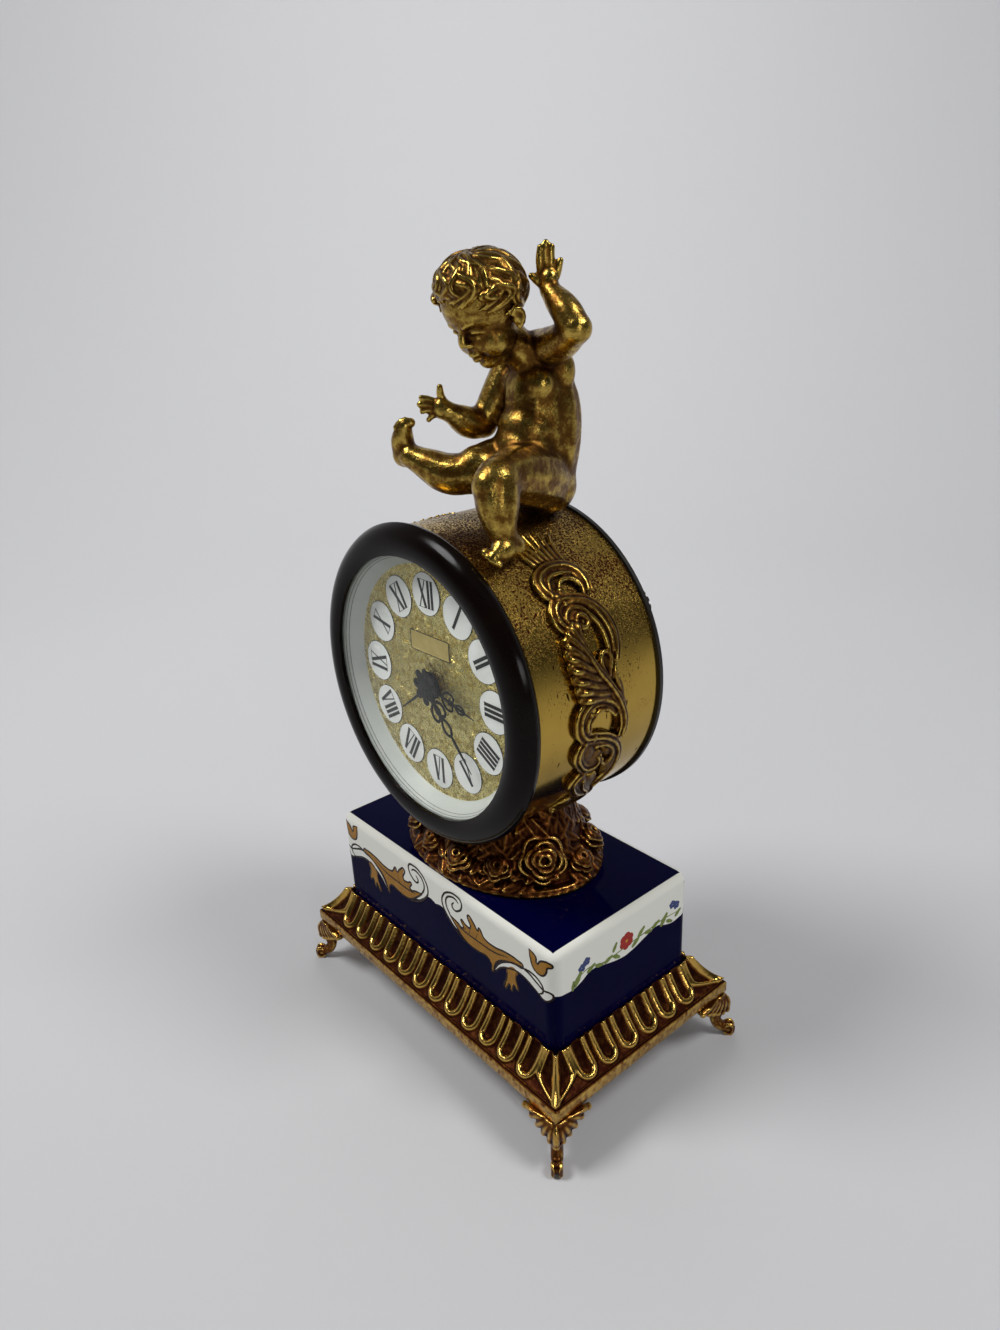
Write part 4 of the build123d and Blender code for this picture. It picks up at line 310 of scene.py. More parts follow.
@dataclass(frozen=True)
class Coat(Finish):
    """Paint, lacquer or plastic: a dense colour with faint clouds, fine grain and its own gloss."""

    colour: str
    cloud: str
    cloud_mm: float = 9.0
    grain_mm: float = 0.5
    grain: float = 0.1
    roughness: float = 0.12
    roughness_worn: float = 0.22
    metallic: float = 0.0
    gloss: float = 0.5

    def shade(self, tree: NodeTree, shader: Node) -> None:
        """Shades clouds of tone and wear, with a grain bump."""
        place = add(tree, "TexCoord").outputs["Object"]
        cloud = add(tree, "TexNoise", {"Vector": place, "Scale": per_mm(self.cloud_mm),
                                       "Detail": 4.0, "Roughness": 0.6}).outputs["Fac"]
        grain = add(tree, "TexNoise", {"Vector": place, "Scale": per_mm(self.grain_mm), "Detail": 2.0}).outputs["Fac"]
        colour = add(tree, "MixRGB", {0: cloud, 1: linear(self.colour), 2: linear(self.cloud)}).outputs[0]
        rough = add(tree, "MapRange", {"Value": cloud, "From Min": 0.35, "From Max": 0.7, "To Min": self.roughness,
                                       "To Max": self.roughness_worn}).outputs[0]
        bump = add(tree, "Bump", {"Height": grain, "Strength": self.grain, "Distance": 0.05 * MM}).outputs[0]
        plug(shader, {"Base Color": colour, "Roughness": rough, "Normal": bump, "Metallic": self.metallic,
                      "Specular IOR Level": self.gloss})


@dataclass(frozen=True)
class Overglaze(Coat):
    """Fired overglaze colour: slightly glossy pigment on the glaze."""

    roughness: float = 0.2
    roughness_worn: float = 0.3
    gloss: float = 0.12


@dataclass(frozen=True)
class Curtain(Finish):
    """Painted studio sweep: matt pale grey behind the clock, a dark grey curtain on the camera's side."""

    pale: str
    dark: str = "#4E5053"

    def shade(self, tree: NodeTree, shader: Node) -> None:
        """Mixes both greys by the attribute curtain, with a fine paper grain."""
        share = add(tree, "Attribute", attribute_name="curtain").outputs["Fac"]
        place = add(tree, "TexCoord").outputs["Object"]
        grain = add(tree, "TexNoise", {"Vector": place, "Scale": per_mm(3.0), "Detail": 2.0}).outputs["Fac"]
        colour = add(tree, "MixRGB", {0: share, 1: linear(self.pale), 2: linear(self.dark)}).outputs[0]
        bump = add(tree, "Bump", {"Height": grain, "Strength": 0.02, "Distance": 0.3 * MM}).outputs[0]
        plug(shader, {"Base Color": colour, "Normal": bump, "Roughness": 0.85})


@dataclass(frozen=True)
class CrumpledFoil(Finish):
    """Crumpled gold foil under the dial: sharp little facets that glitter between light and dark gold."""

    bright: str = "#FBEA9A"
    dark: str = "#B0984A"
    facet_mm: float = 1.2
    tilt: float = 0.62

    def shade(self, tree: NodeTree, shader: Node) -> None:
        """Shades folded facets, each leaning its own way, with fine folds on them."""
        place = add(tree, "TexCoord").outputs["Object"]
        warp = add(tree, "TexNoise", {"Vector": place, "Scale": per_mm(2.0), "Detail": 3.0}).outputs["Color"]
        bent = add(tree, "VectorMath", {0: warp, 1: (0.0014, 0.0014, 0.0014), 2: place},
                   operation="MULTIPLY_ADD").outputs[0]
        folds = add(tree, "TexVoronoi", {"Vector": bent, "Scale": per_mm(self.facet_mm)}).outputs
        small = add(tree, "TexVoronoi", {"Vector": bent, "Scale": per_mm(self.facet_mm / 2.5)}).outputs
        bump = add(tree, "Bump", {"Height": small["Distance"], "Strength": 0.8, "Distance": 0.3 * MM}).outputs[0]
        lean = add(tree, "VectorMath", {0: folds["Color"], 1: (0.5, 0.5, 0.5)}, operation="SUBTRACT").outputs[0]
        facing = add(tree, "VectorMath", {0: lean, 1: (self.tilt,) * 3, 2: bump}, operation="MULTIPLY_ADD").outputs[0]
        facing = add(tree, "VectorMath", {0: facing}, operation="NORMALIZE").outputs[0]
        tint = add(tree, "SeparateColor", {0: folds["Color"]}).outputs[0]
        colour = add(tree, "MixRGB", {0: tint, 1: linear(self.bright), 2: linear(self.dark)}).outputs[0]
        rough = add(tree, "MapRange", {"Value": small["Distance"], "To Min": 0.16, "To Max": 0.4}).outputs[0]
        plug(shader, {"Base Color": colour, "Roughness": rough, "Normal": facing, "Metallic": 1.0})


@dataclass(frozen=True)
class ClearGlass(Finish):
    """Domed clock glass: clear, with soft reflections and a trace of smears."""

    tint: str = "#FAFCFB"

    def shade(self, tree: NodeTree, shader: Node) -> None:
        """Sets a clear glass with a trace of smears in its gloss, and lets the lamps through to the dial."""
        place = add(tree, "TexCoord").outputs["Object"]
        smear = add(tree, "TexNoise", {"Vector": place, "Scale": per_mm(12.0), "Detail": 4.0}).outputs["Fac"]
        rough = add(tree, "MapRange", {"Value": smear, "From Min": 0.45, "From Max": 0.8,
                                       "To Min": 0.0, "To Max": 0.03}).outputs[0]
        clear = add(tree, "BsdfTransparent").outputs[0]
        shadow = add(tree, "LightPath").outputs["Is Shadow Ray"]
        lit = add(tree, "MixShader", {0: shadow, 1: shader.outputs[0], 2: clear}).outputs[0]
        plug(tree.nodes["Material Output"], {"Surface": lit})
        # An IOR below that of glass keeps a pale veil off the dial.
        plug(shader, {"Base Color": linear(self.tint), "Roughness": rough, "Transmission Weight": 1.0, "IOR": 1.22})


# Gilding of mounts and hair: gold on the edges, brown in the hollows.
GILT = GiltCasting("gilt_zinc_casting")
# Gilding of base, feet and mound: thinner, so the copper wash below shows reddish.
GILT_COPPERY = GiltCasting("gilt_zinc_on_copper_wash", gold="#C49E50", rubbed="#70441E", toning="#2A1009")
# Gilding of the figure: broad rubbed patches.
GILT_FIGURE = GiltCasting("gilt_zinc_figure", mottle_mm=3.0, mottle_share=1.0, crinkle_mm=1.1, crinkle=0.6)
FINISHES: dict[Slot, Finish] = {
    Slot.GILT: GILT,
    Slot.DRUM: PittedBrass("lacquered_sheet_brass"),
    Slot.PORCELAIN: GlazedPorcelain("glazed_cobalt_porcelain"),
    # Stoved black lacquer on brass: nearly black, brown where thin, mirror-like.
    Slot.LACQUER: Coat("stoved_black_lacquer", "#080504", "#120B08", roughness=0.12, roughness_worn=0.22, gloss=0.1),
    Slot.CRYSTAL: ClearGlass("domed_clock_glass"),
    Slot.FOIL: CrumpledFoil("crumpled_gold_foil"),
    # White enamel paint: cool white with a little yellowing, soft gloss.
    Slot.ENAMEL: Coat("white_enamel_paint", "#DEDEDC", "#CFCFC8", roughness=0.16, roughness_worn=0.28),
    # Blackened stamped brass of the hands: satin black.
    Slot.HAND: Coat("blackened_hand_brass", "#060505", "#0E0C0A", roughness=0.26, roughness_worn=0.4, gloss=0.12),
    # Stamped clock brass: yellow with rolled grain.
    Slot.BRASS: Coat("stamped_clock_brass", "#C9A24C", "#B08A3A", roughness=0.24, roughness_worn=0.38, metallic=1.0),
    # Turned and hardened steel: grey with a fine turned grain.
    Slot.STEEL: Coat("turned_steel", "#A9ABAF", "#8E9095", roughness=0.24, roughness_worn=0.38, metallic=1.0),
    # Moulded dark phenolic: brown-black with a soft worn gloss.
    Slot.KNOB: Coat("moulded_phenolic", "#1C1512", "#2C221D", roughness=0.22, roughness_worn=0.36),
}
# Ring round the dial: grey-white enamel, duller than the plaques. Back cover: satin black, greyer where it is worn.
NODE_FINISHES: dict[str, Finish] = {
    "back_cover": Coat("satin_black_lacquer", "#12100F", "#241F1C", cloud_mm=5.0, roughness=0.3, roughness_worn=0.46),
    "dial_ring": Coat("grey_white_enamel", "#B2B5B1", "#9FA39E", roughness=0.42, roughness_worn=0.55, gloss=0.25),
}
PAINT_GOLD = Overglaze("overglaze_ochre", "#AE7C24", "#7E5618", 2.5, roughness_worn=0.32)
PAINT_WHITE = Overglaze("overglaze_white", "#E6E6DE", "#D6D6CE", 3.0, roughness=0.14, roughness_worn=0.22, gloss=0.5)
PAINT_LINE = Overglaze("overglaze_dark_line", "#1C120C", "#2A1C12", 1.5, roughness=0.22)
PAINT_RED = Overglaze("overglaze_red", "#B2352B", "#7E1F1C", 1.2)
PAINT_BLUE = Overglaze("overglaze_blue", "#4A5684", "#2C3560", 1.2)
PAINT_GREEN = Overglaze("overglaze_green", "#8C9A4A", "#4F6038", 1.6)
PAINT_YELLOW = Overglaze("overglaze_yellow", "#D8A83C", "#B9822A", 1.0)
# Printing ink of the hour figures: flat black with a slight sheen.
INK = Coat("dial_ink", "#080707", "#121110", cloud_mm=2.0, roughness=0.35, roughness_worn=0.5, gloss=0.2)
# Lines of the dial ring: painted reflection, thin dark grey rings that stand in for the reflections of the glass's edge
# on the ring.
PAINTED_RING_REFLECTION = Coat("painted_glass_edge_reflection", "#6C6E68", "#54564F", cloud_mm=6.0, roughness=0.5, roughness_worn=0.65)
# Plain rolled brass plate on the dial: satin gold.
PLATE_GOLD = Coat("rolled_gold_plate", "#D6C27C", "#BCA65E", cloud_mm=3.0, roughness=0.38, roughness_worn=0.5,
                  metallic=1.0)


# Mesh helpers


def melted_copy(data: ID, modifiers: Sequence[tuple[str, dict]] = ()) -> Mesh:
    """Evaluates a curve or mesh, with modifiers, into a new mesh.

    Args:
        data: Curve or mesh data.
        modifiers: Modifier type and its settings, in order.

    Returns:
        The evaluated mesh.
    """
    holder = bpy.data.objects.new("holder", data)
    bpy.context.scene.collection.objects.link(holder)
    for kind, settings in modifiers:
        modifier = holder.modifiers.new(kind.lower(), kind)
        for name, value in settings.items():
            setattr(modifier, name, value)
    bpy.context.view_layer.update()
    made = bpy.data.meshes.new_from_object(holder.evaluated_get(bpy.context.evaluated_depsgraph_get()))
    bpy.data.objects.remove(holder)
    return made


def place_piece(name: str, mesh: Mesh, finish: Finish, body: Body = Body.CASE,
                stands_for: Sequence[str] = (), crease: float = 180.0) -> Object:
    """Makes a piece of the clock from a mesh that is already in place.

    Args:
        name: Piece name.
        mesh: Its mesh, in metres.
        finish: Its finish.
        body: CAD body that it rides on.
        stands_for: CAD nodes that it replaces.
        crease: Angle in degrees past which an edge stays sharp.

    Returns:
        The new object.
    """
    mesh.name = name
    mesh.materials.clear()
    mesh.materials.append(finish.material())
    mesh.shade_smooth()
    if crease < 180.0:
        mesh.set_sharp_from_angle(angle=math.radians(crease))
    made = bpy.data.objects.new(name, mesh)
    bpy.context.scene.collection.objects.link(made)
    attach(made, body.value)
    if stands_for:
        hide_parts(*stands_for)
    LOG.info("%s: %d faces on %s", name, len(mesh.polygons), body.value)
    return made


def vertices_of(mesh: Mesh) -> np.ndarray:
    """Vertex places of a mesh as an array of rows."""
    places = np.zeros(len(mesh.vertices) * 3)
    mesh.vertices.foreach_get("co", places)
    return places.reshape(-1, 3)


def set_vertices(mesh: Mesh, places: np.ndarray) -> None:
    """Writes vertex places back to a mesh."""
    mesh.vertices.foreach_set("co", places.ravel())
    mesh.update()


def clear_of_clock(mesh: Mesh) -> None:
    """Presses a casting's seat outwards until it lies on the drum and clears the bezel."""
    places = vertices_of(mesh)
    across = places[:, 0]
    rise = places[:, 2] - DRUM_AXIS_Z * MM
    reach = np.hypot(across, rise)
    skin = np.where(places[:, 1] < BEZEL_REAR * MM, BEZEL_SKIN, DRUM_SKIN) * MM
    scale = np.where(reach < skin, skin / np.maximum(reach, 1e-6), 1.0)
    places[:, 0] = across * scale
    places[:, 2] = DRUM_AXIS_Z * MM + rise * scale
    set_vertices(mesh, places)


def mark_hollows(mesh: Mesh, depth: float, rounds: int, base: float) -> None:
    """Stores in the attribute recess how deep each vertex lies under its smoothed surroundings.

    Args:
        mesh: Even, dense mesh.
        depth: Depth in mm that counts as fully hollow.
        rounds: Rounds of smoothing that set the size of what counts as surroundings.
        base: Value of a flat place.
    """
    places = vertices_of(mesh)
    normals = np.zeros(len(mesh.vertices) * 3)
    mesh.vertices.foreach_get("normal", normals)
    edges = np.zeros(len(mesh.edges) * 2, dtype=np.int64)
    mesh.edges.foreach_get("vertices", edges)
    first, second = edges.reshape(-1, 2).T
    count = np.maximum(np.bincount(edges, minlength=len(places)), 1)[:, None]
    smooth = places.copy()
    for _ in range(rounds):
        total = np.zeros_like(smooth)
        for axis in range(3):
            total[:, axis] = np.bincount(first, smooth[second, axis], len(places))
            total[:, axis] += np.bincount(second, smooth[first, axis], len(places))
        smooth = (smooth + total / count) / 2
    below = np.einsum("ij,ij->i", smooth - places, normals.reshape(-1, 3)) / (depth * MM)
    values = np.clip(base + below, 0.0, 1.0).astype(np.float32)
    mesh.attributes.new("recess", "FLOAT", "POINT").data.foreach_set("value", values)


class Wax:
    """Wax model of balls and strands; melting turns it into one cast skin."""

    def __init__(self) -> None:
        """Starts an empty model."""
        self.solid = bmesh.new()
        self.curve = bpy.data.curves.new("strands", "CURVE")
        self.curve.dimensions = "3D"
        self.curve.bevel_depth = 1.0
        self.curve.bevel_resolution = 3
        self.curve.resolution_u = 6
        self.curve.use_fill_caps = True

    def ball(self, centre: Sequence[float], radius: float, stretch: Point = (1.0, 1.0, 1.0),
             turn: Matrix | None = None, detail: int = 3) -> None:
        """Adds a ball or ellipsoid.

        Args:
            centre: Its middle in mm.
            radius: Its radius in mm.
            stretch: Factors along its own axes.
            turn: 3x3 rotation of those axes.
            detail: Rounds of subdivision.
        """
        matrix = Matrix.Translation(Vector(centre) * MM)
        if turn is not None:
            matrix = matrix @ turn.to_4x4()
        matrix = matrix @ Matrix.Diagonal((*(s * radius * MM for s in stretch), 1.0))
        bmesh.ops.create_icosphere(self.solid, subdivisions=detail, radius=1.0, matrix=matrix)

    def strand(self, points: Sequence[Sequence[float]], radii: Sequence[float], closed: bool = False) -> None:
        """Adds a smooth round strand through points.

        Args:
            points: Places in mm.
            radii: Radius in mm at each place.
            closed: Whether it runs back to its start.
        """
        spline = self.curve.splines.new("BEZIER")
        spline.bezier_points.add(len(points) - 1)
        spline.use_cyclic_u = closed
        spline.radius_interpolation = "CARDINAL"
        for _ in range(2):
            for knot, place, radius in zip(spline.bezier_points, points, radii):
                knot.handle_left_type = knot.handle_right_type = "AUTO"
                knot.co = Vector(place) * MM
                knot.radius = radius * MM

    def add_mesh(self, mesh: Mesh) -> None:
        """Adds a closed mesh to the model."""
        self.solid.from_mesh(mesh)

    def plain(self) -> Mesh:
        """Returns the model's balls and strands as they are."""
        if len(self.curve.splines):
            tubes = melted_copy(self.curve)
            self.solid.from_mesh(tubes)
            bpy.data.meshes.remove(tubes)
        made = bpy.data.meshes.new("wax")
        self.solid.to_mesh(made)
        self.solid.free()
        return made

    def melt(self, voxel: float, rounds: int = 0) -> Mesh:
        """Melts the model into one skin.

        Args:
            voxel: Grain of the skin in mm.
            rounds: Rounds of smoothing.

        Returns:
            The skin.
        """
        steps = [("REMESH", {"mode": "VOXEL", "voxel_size": voxel * MM})]
        if rounds:
            steps.append(("SMOOTH", {"factor": 0.5, "iterations": rounds}))
        return melted_copy(self.plain(), steps)


def both_sides(places: Sequence[Point]) -> list[list[Point]]:
    """Gives places off the middle with their mirror image, and other places alone.

    Args:
        places: Places with X across the middle.

    Returns:
        One or two rows of places.
    """
    across = [place[0] for place in places]
    sides = (1, -1) if min(across) * max(across) > 0 else (1,)
    return [[(side * x, y, z) for x, y, z in places] for side in sides]


def mesh_from(bm: BMesh) -> Mesh:
    """Turns a bmesh into a mesh and frees it."""
    made = bpy.data.meshes.new("shape")
    bm.to_mesh(made)
    bm.free()
    return made


# Fluted base


@dataclass
class FlutedBase:
    """Cast base: hammered rim band, dark groove, and a coved border of U-shaped ridges with corner palmettes."""

    length: float = 120.0
    width: float = 72.6
    bottom: float = 16.0
    ledge: float = 18.4
    opening_inset: float = 8.75
    window_inset: float = 12.7
    flutes_long: int = 12
    flutes_short: int = 6
    corner_span: float = 11.6
    ridge_reach: float = 2.55
    ridge_half: float = 1.05
    ridge_height: float = 1.05
    tulip_flare: float = 6.9
    tulip_taper: float = 3.4
    tulip_knee: float = 0.42
    step: float = 0.36
    rim_line: tuple[Flat, ...] = (
        (0.55, 16), (0.15, 16.15), (0, 16.6), (0, 17.6), (0, 18.6), (0, 19.4), (0.12, 19.9),
        (0.45, 20.2), (0.8, 20.15), (1, 20), (1.2, 20.1),
    )
    cove_line: tuple[Flat, ...] = ((1.3, 20.25), (5.2, 22.2), (8.5, 28.7))
    cove_rows: int = 34

    def build(self) -> Object:
        """Builds the four sides, joins them at the mitres and closes the casting below.

        Returns:
            The base piece.
        """
        bm = bmesh.new()
        bm.verts.layers.float.new("recess")
        for turn, (run, depth, count) in enumerate((
                (self.length, self.width, self.flutes_long), (self.width, self.length, self.flutes_short)) * 2):
            self.side(bm, run, depth, count, turn)
        bmesh.ops.remove_doubles(bm, verts=bm.verts[:], dist=0.01 * MM)
        self.close(bm)
        bmesh.ops.recalc_face_normals(bm, faces=bm.faces[:])
        return place_piece("fluted_base", mesh_from(bm), GILT_COPPERY, stands_for=["base_frame"])

    def profile(self) -> list[tuple[float, float, float]]:
        """Returns inset, height and distance up the cove for each row, from the rim to the top."""
        rows = [(inset, height, -1.0) for inset, height in self.rim_line]
        start, knee, end = (Vector(place) for place in self.cove_line)
        travelled, last = 0.0, start
        for row in range(self.cove_rows):
            share = row / (self.cove_rows - 1)
            place = start.lerp(knee, share).lerp(knee.lerp(end, share), share)
            travelled += (place - last).length
            last = place
            rows.append((place.x, place.y, travelled))
        return rows

    def relief(self, along: float, mitre: float, up: float, top: float, run: float, count: int) -> float:
        """Height of the ridges at a place on the cove.

        Args:
            along: Distance from the side's middle.
            mitre: Distance to the corner's mitre line along the side.
            up: Distance up the cove.
            top: The cove's whole length.
            run: Length of the side.
            count: Flutes on the side.

        Returns:
            Height in mm.
        """
        span = run - 2 * self.corner_span
        pitch = span / count
        heights = [0.0]
        if abs(along) < span / 2 + self.ridge_half:
            index = min(max(math.floor((along + span / 2) / pitch), 0), count - 1)
            offset = along + span / 2 - (index + 0.5) * pitch
            end = self.ridge_reach + self.ridge_half
            away = math.hypot(offset, up - end) if up < end else abs(offset)
            heights.append(self.ridge(abs(away - self.ridge_reach), self.ridge_half))
        share = up / top
        knee = self.tulip_knee
        flare = self.tulip_flare * math.sin(share / knee * math.pi / 2)
        if share >= knee:
            flare = self.tulip_flare - self.tulip_taper * (share - knee) / (1 - knee)
        heights.append(self.ridge(abs(mitre - flare) * 0.8, self.ridge_half * 1.2))
        heights.append(1.25 * self.ridge(mitre / math.sqrt(2), 1.5 - 0.6 * share))
        return max(heights)

    def ridge(self, away: float, half: float) -> float:
        """Height of a round ridge at a distance from its crest."""
        return self.ridge_height * math.sqrt(max(0.0, 1 - (away / half) ** 2))

    def side(self, bm: BMesh, run: float, depth: float, count: int, turn: int) -> None:
        """Bends a grid into one side of the border.

        Args:
            bm: Mesh that takes the side.
            run: Length of the side.
            depth: Length of the other pair of sides.
            count: Flutes on it.
            turn: Quarter turns about the upright axis.
        """
        rows = self.profile()
        top = rows[-1][2]
        recess = bm.verts.layers.float["recess"]
        columns = 2 * round(run / self.step / 2)
        grid = bmesh.ops.create_grid(bm, x_segments=columns, y_segments=len(rows) - 1, size=1.0)["verts"]
        spin = Matrix.Rotation(turn * math.pi / 2, 4, "Z")
        for vert in grid:
            row = round((vert.co.y + 1) / 2 * (len(rows) - 1))
            inset, height, up = rows[row]
            before, after = rows[max(row - 1, 0)], rows[min(row + 1, len(rows) - 1)]
            slope = Vector((after[0] - before[0], after[1] - before[1])).normalized()
            share = vert.co.x
            along = share * (run / 2 - inset)
            rise = 0.0
            if up >= 0:
                rise = self.relief(along, run / 2 - inset - abs(along), up, top, run, count)
                vert[recess] = min(max(0.9 - 1.05 * rise / self.ridge_height, 0.1), 0.8)
            elif height > 20.05 and inset > 0.4:
                vert[recess] = 1.0
            else:
                rise = 0.1 * noise.noise(Vector((along * 0.9, height * 0.9, turn * 7.0))) if 0 < row < 7 else 0.0
                rise *= min(1.0, (1 - abs(share)) * 60)
                vert[recess] = 0.34 + 2.0 * rise
            inset -= rise * slope.y
            height += rise * slope.x
            place = Vector((share * (run / 2 - inset), -(depth / 2 - inset), height))
            vert.co = spin @ (place * MM)

    def close(self, bm: BMesh) -> None:
        """Runs the open rims inwards and joins them under the ledge."""
        rims = [edge for edge in bm.edges if edge.is_boundary]
        low = [edge for edge in rims if edge.verts[0].co.z < (self.bottom + 2) * MM]
        high = [edge for edge in rims if edge.verts[0].co.z > (self.bottom + 8) * MM]
        ends = []
        for edges, steps in ((low, ((self.window_inset, self.bottom), (self.window_inset, self.ledge))),
                             (high, ((self.opening_inset, 28.5), (self.opening_inset, self.ledge)))):
            for inset, height in steps:
                made = bmesh.ops.extrude_edge_only(bm, edges=edges)["geom"]
                edges = [part for part in made if isinstance(part, BMEdge) and part.is_boundary]
                for vert in {vert for edge in edges for vert in edge.verts}:
                    self.pull_in(vert, inset, height)
            ends += edges
        bmesh.ops.bridge_loops(bm, edges=ends)

    def pull_in(self, vert: BMVert, inset: float, height: float) -> None:
        """Moves a rim vertex onto a smaller rectangle at a height."""
        half_x, half_y = (self.length / 2 - inset) * MM, (self.width / 2 - inset) * MM
        vert.co.x = min(max(vert.co.x, -half_x), half_x)
        vert.co.y = min(max(vert.co.y, -half_y), half_y)
        if abs(abs(vert.co.x) - half_x) > abs(abs(vert.co.y) - half_y):
            vert.co.y = math.copysign(half_y, vert.co.y)
        else:
            vert.co.x = math.copysign(half_x, vert.co.x)
        vert.co.z = height * MM


# Scroll feet


@dataclass
class ScrollFeet:
    """Four cast feet: a shell of lobes under the corner, a slender neck and an outward toe scroll."""

    corner_x: float = 60.0
    corner_y: float = 36.3
    top: float = 16.0
    lobe_reach: tuple[float, ...] = (0.0, 2.3, 4.6, 6.8, 9.2, 12.0)
    lobe_low: tuple[float, ...] = (8.2, 8.6, 9.6, 10.8, 12.2, 13.6)
    voxel: float = 0.36
    reach: Flat = (62.8, 39.1)

    def build(self) -> list[Object]:
        """Builds the four feet.

        Returns:
            The foot pieces.
        """
        feet = []
        for end, sy in (("front", -1), ("rear", 1)):
            for hand, sx in (("left", -1), ("right", 1)):
                mesh = self.cast(sx, sy)
                feet.append(place_piece(f"scroll_foot_{end}_{hand}", mesh, GILT_COPPERY,
                                        stands_for=[f"foot_{end}_{hand}"]))
        return feet

    def at(self, sx: int, sy: int, out: float, side: float, height: float) -> Point:
        """Place near a corner: out along its diagonal, side along one of its edges."""
        step = out / math.sqrt(2)
        x = self.corner_x + step - max(side, 0.0)
        y = self.corner_y + step - max(-side, 0.0)
        return sx * x, sy * y, height

    def cast(self, sx: int, sy: int) -> Mesh:
        """Models one foot and melts it.

        Args:
            sx: Side of the corner in X.
            sy: Side of the corner in Y.

        Returns:
            The foot's mesh.
        """
        wax = Wax()
        for reach, low in zip(self.lobe_reach, self.lobe_low):
            for side in {reach, -reach}:
                path = [(-0.9, side * 0.25, 15.4), (0.5, side * 0.7, (15.2 + low) / 2 + 1.2), (0.5, side, low + 1.0)]
                wax.strand([self.at(sx, sy, *place) for place in path], (0.6, 1.0, 0.95))
                wax.ball(self.at(sx, sy, 0.5, side, low + 1.0), 1.1, detail=2)
        for reach in (4.0, -4.0, 8.0, -8.0):
            wax.ball(self.at(sx, sy, -2.2, reach, 13.8), 2.0, detail=2)
        wax.strand([self.at(sx, sy, *place) for place in (
            (-4.0, 0, 15.3), (-2.6, 0, 12.0), (-2.6, 0, 8.6), (-2.9, 0, 5.6), (-1.6, 0, 3.2), (0.6, 0, 2.2))],
            (3.6, 2.9, 2.2, 1.8, 1.8, 1.5))
        for side in (-1.15, 1.15):
            spiral = [(1.2 + r * math.cos(a), side, 2.35 + r * math.sin(a)) for r, a in (
                (2.0, -2.4), (2.0, -1.4), (1.9, -0.4), (1.7, 0.7), (1.4, 1.8), (1.0, 3.0), (0.5, 4.4))]
            wax.strand([self.toe(sx, sy, *place) for place in spiral], (0.5, 0.55, 0.6, 0.6, 0.55, 0.5, 0.45))
        wax.ball(self.toe(sx, sy, 1.0, 0.0, 2.25), 1.7, detail=2)
        mesh = wax.melt(self.voxel, 1)
        places = vertices_of(mesh)
        places[:, 2] = np.clip(places[:, 2], 0.0, (self.top - 0.05) * MM)
        limit = np.array(self.reach) * MM
        places[:, :2] = np.clip(places[:, :2], -limit, limit)
        set_vertices(mesh, places)
        mark_hollows(mesh, 0.34, 8, 0.58)
        return mesh

    def toe(self, sx: int, sy: int, out: float, side: float, height: float) -> Point:
        """Place near a corner: out along its diagonal, side square to it."""
        x = self.corner_x + (out - side) / math.sqrt(2)
        y = self.corner_y + (out + side) / math.sqrt(2)
        return sx * x, sy * y, height


# Rose mound


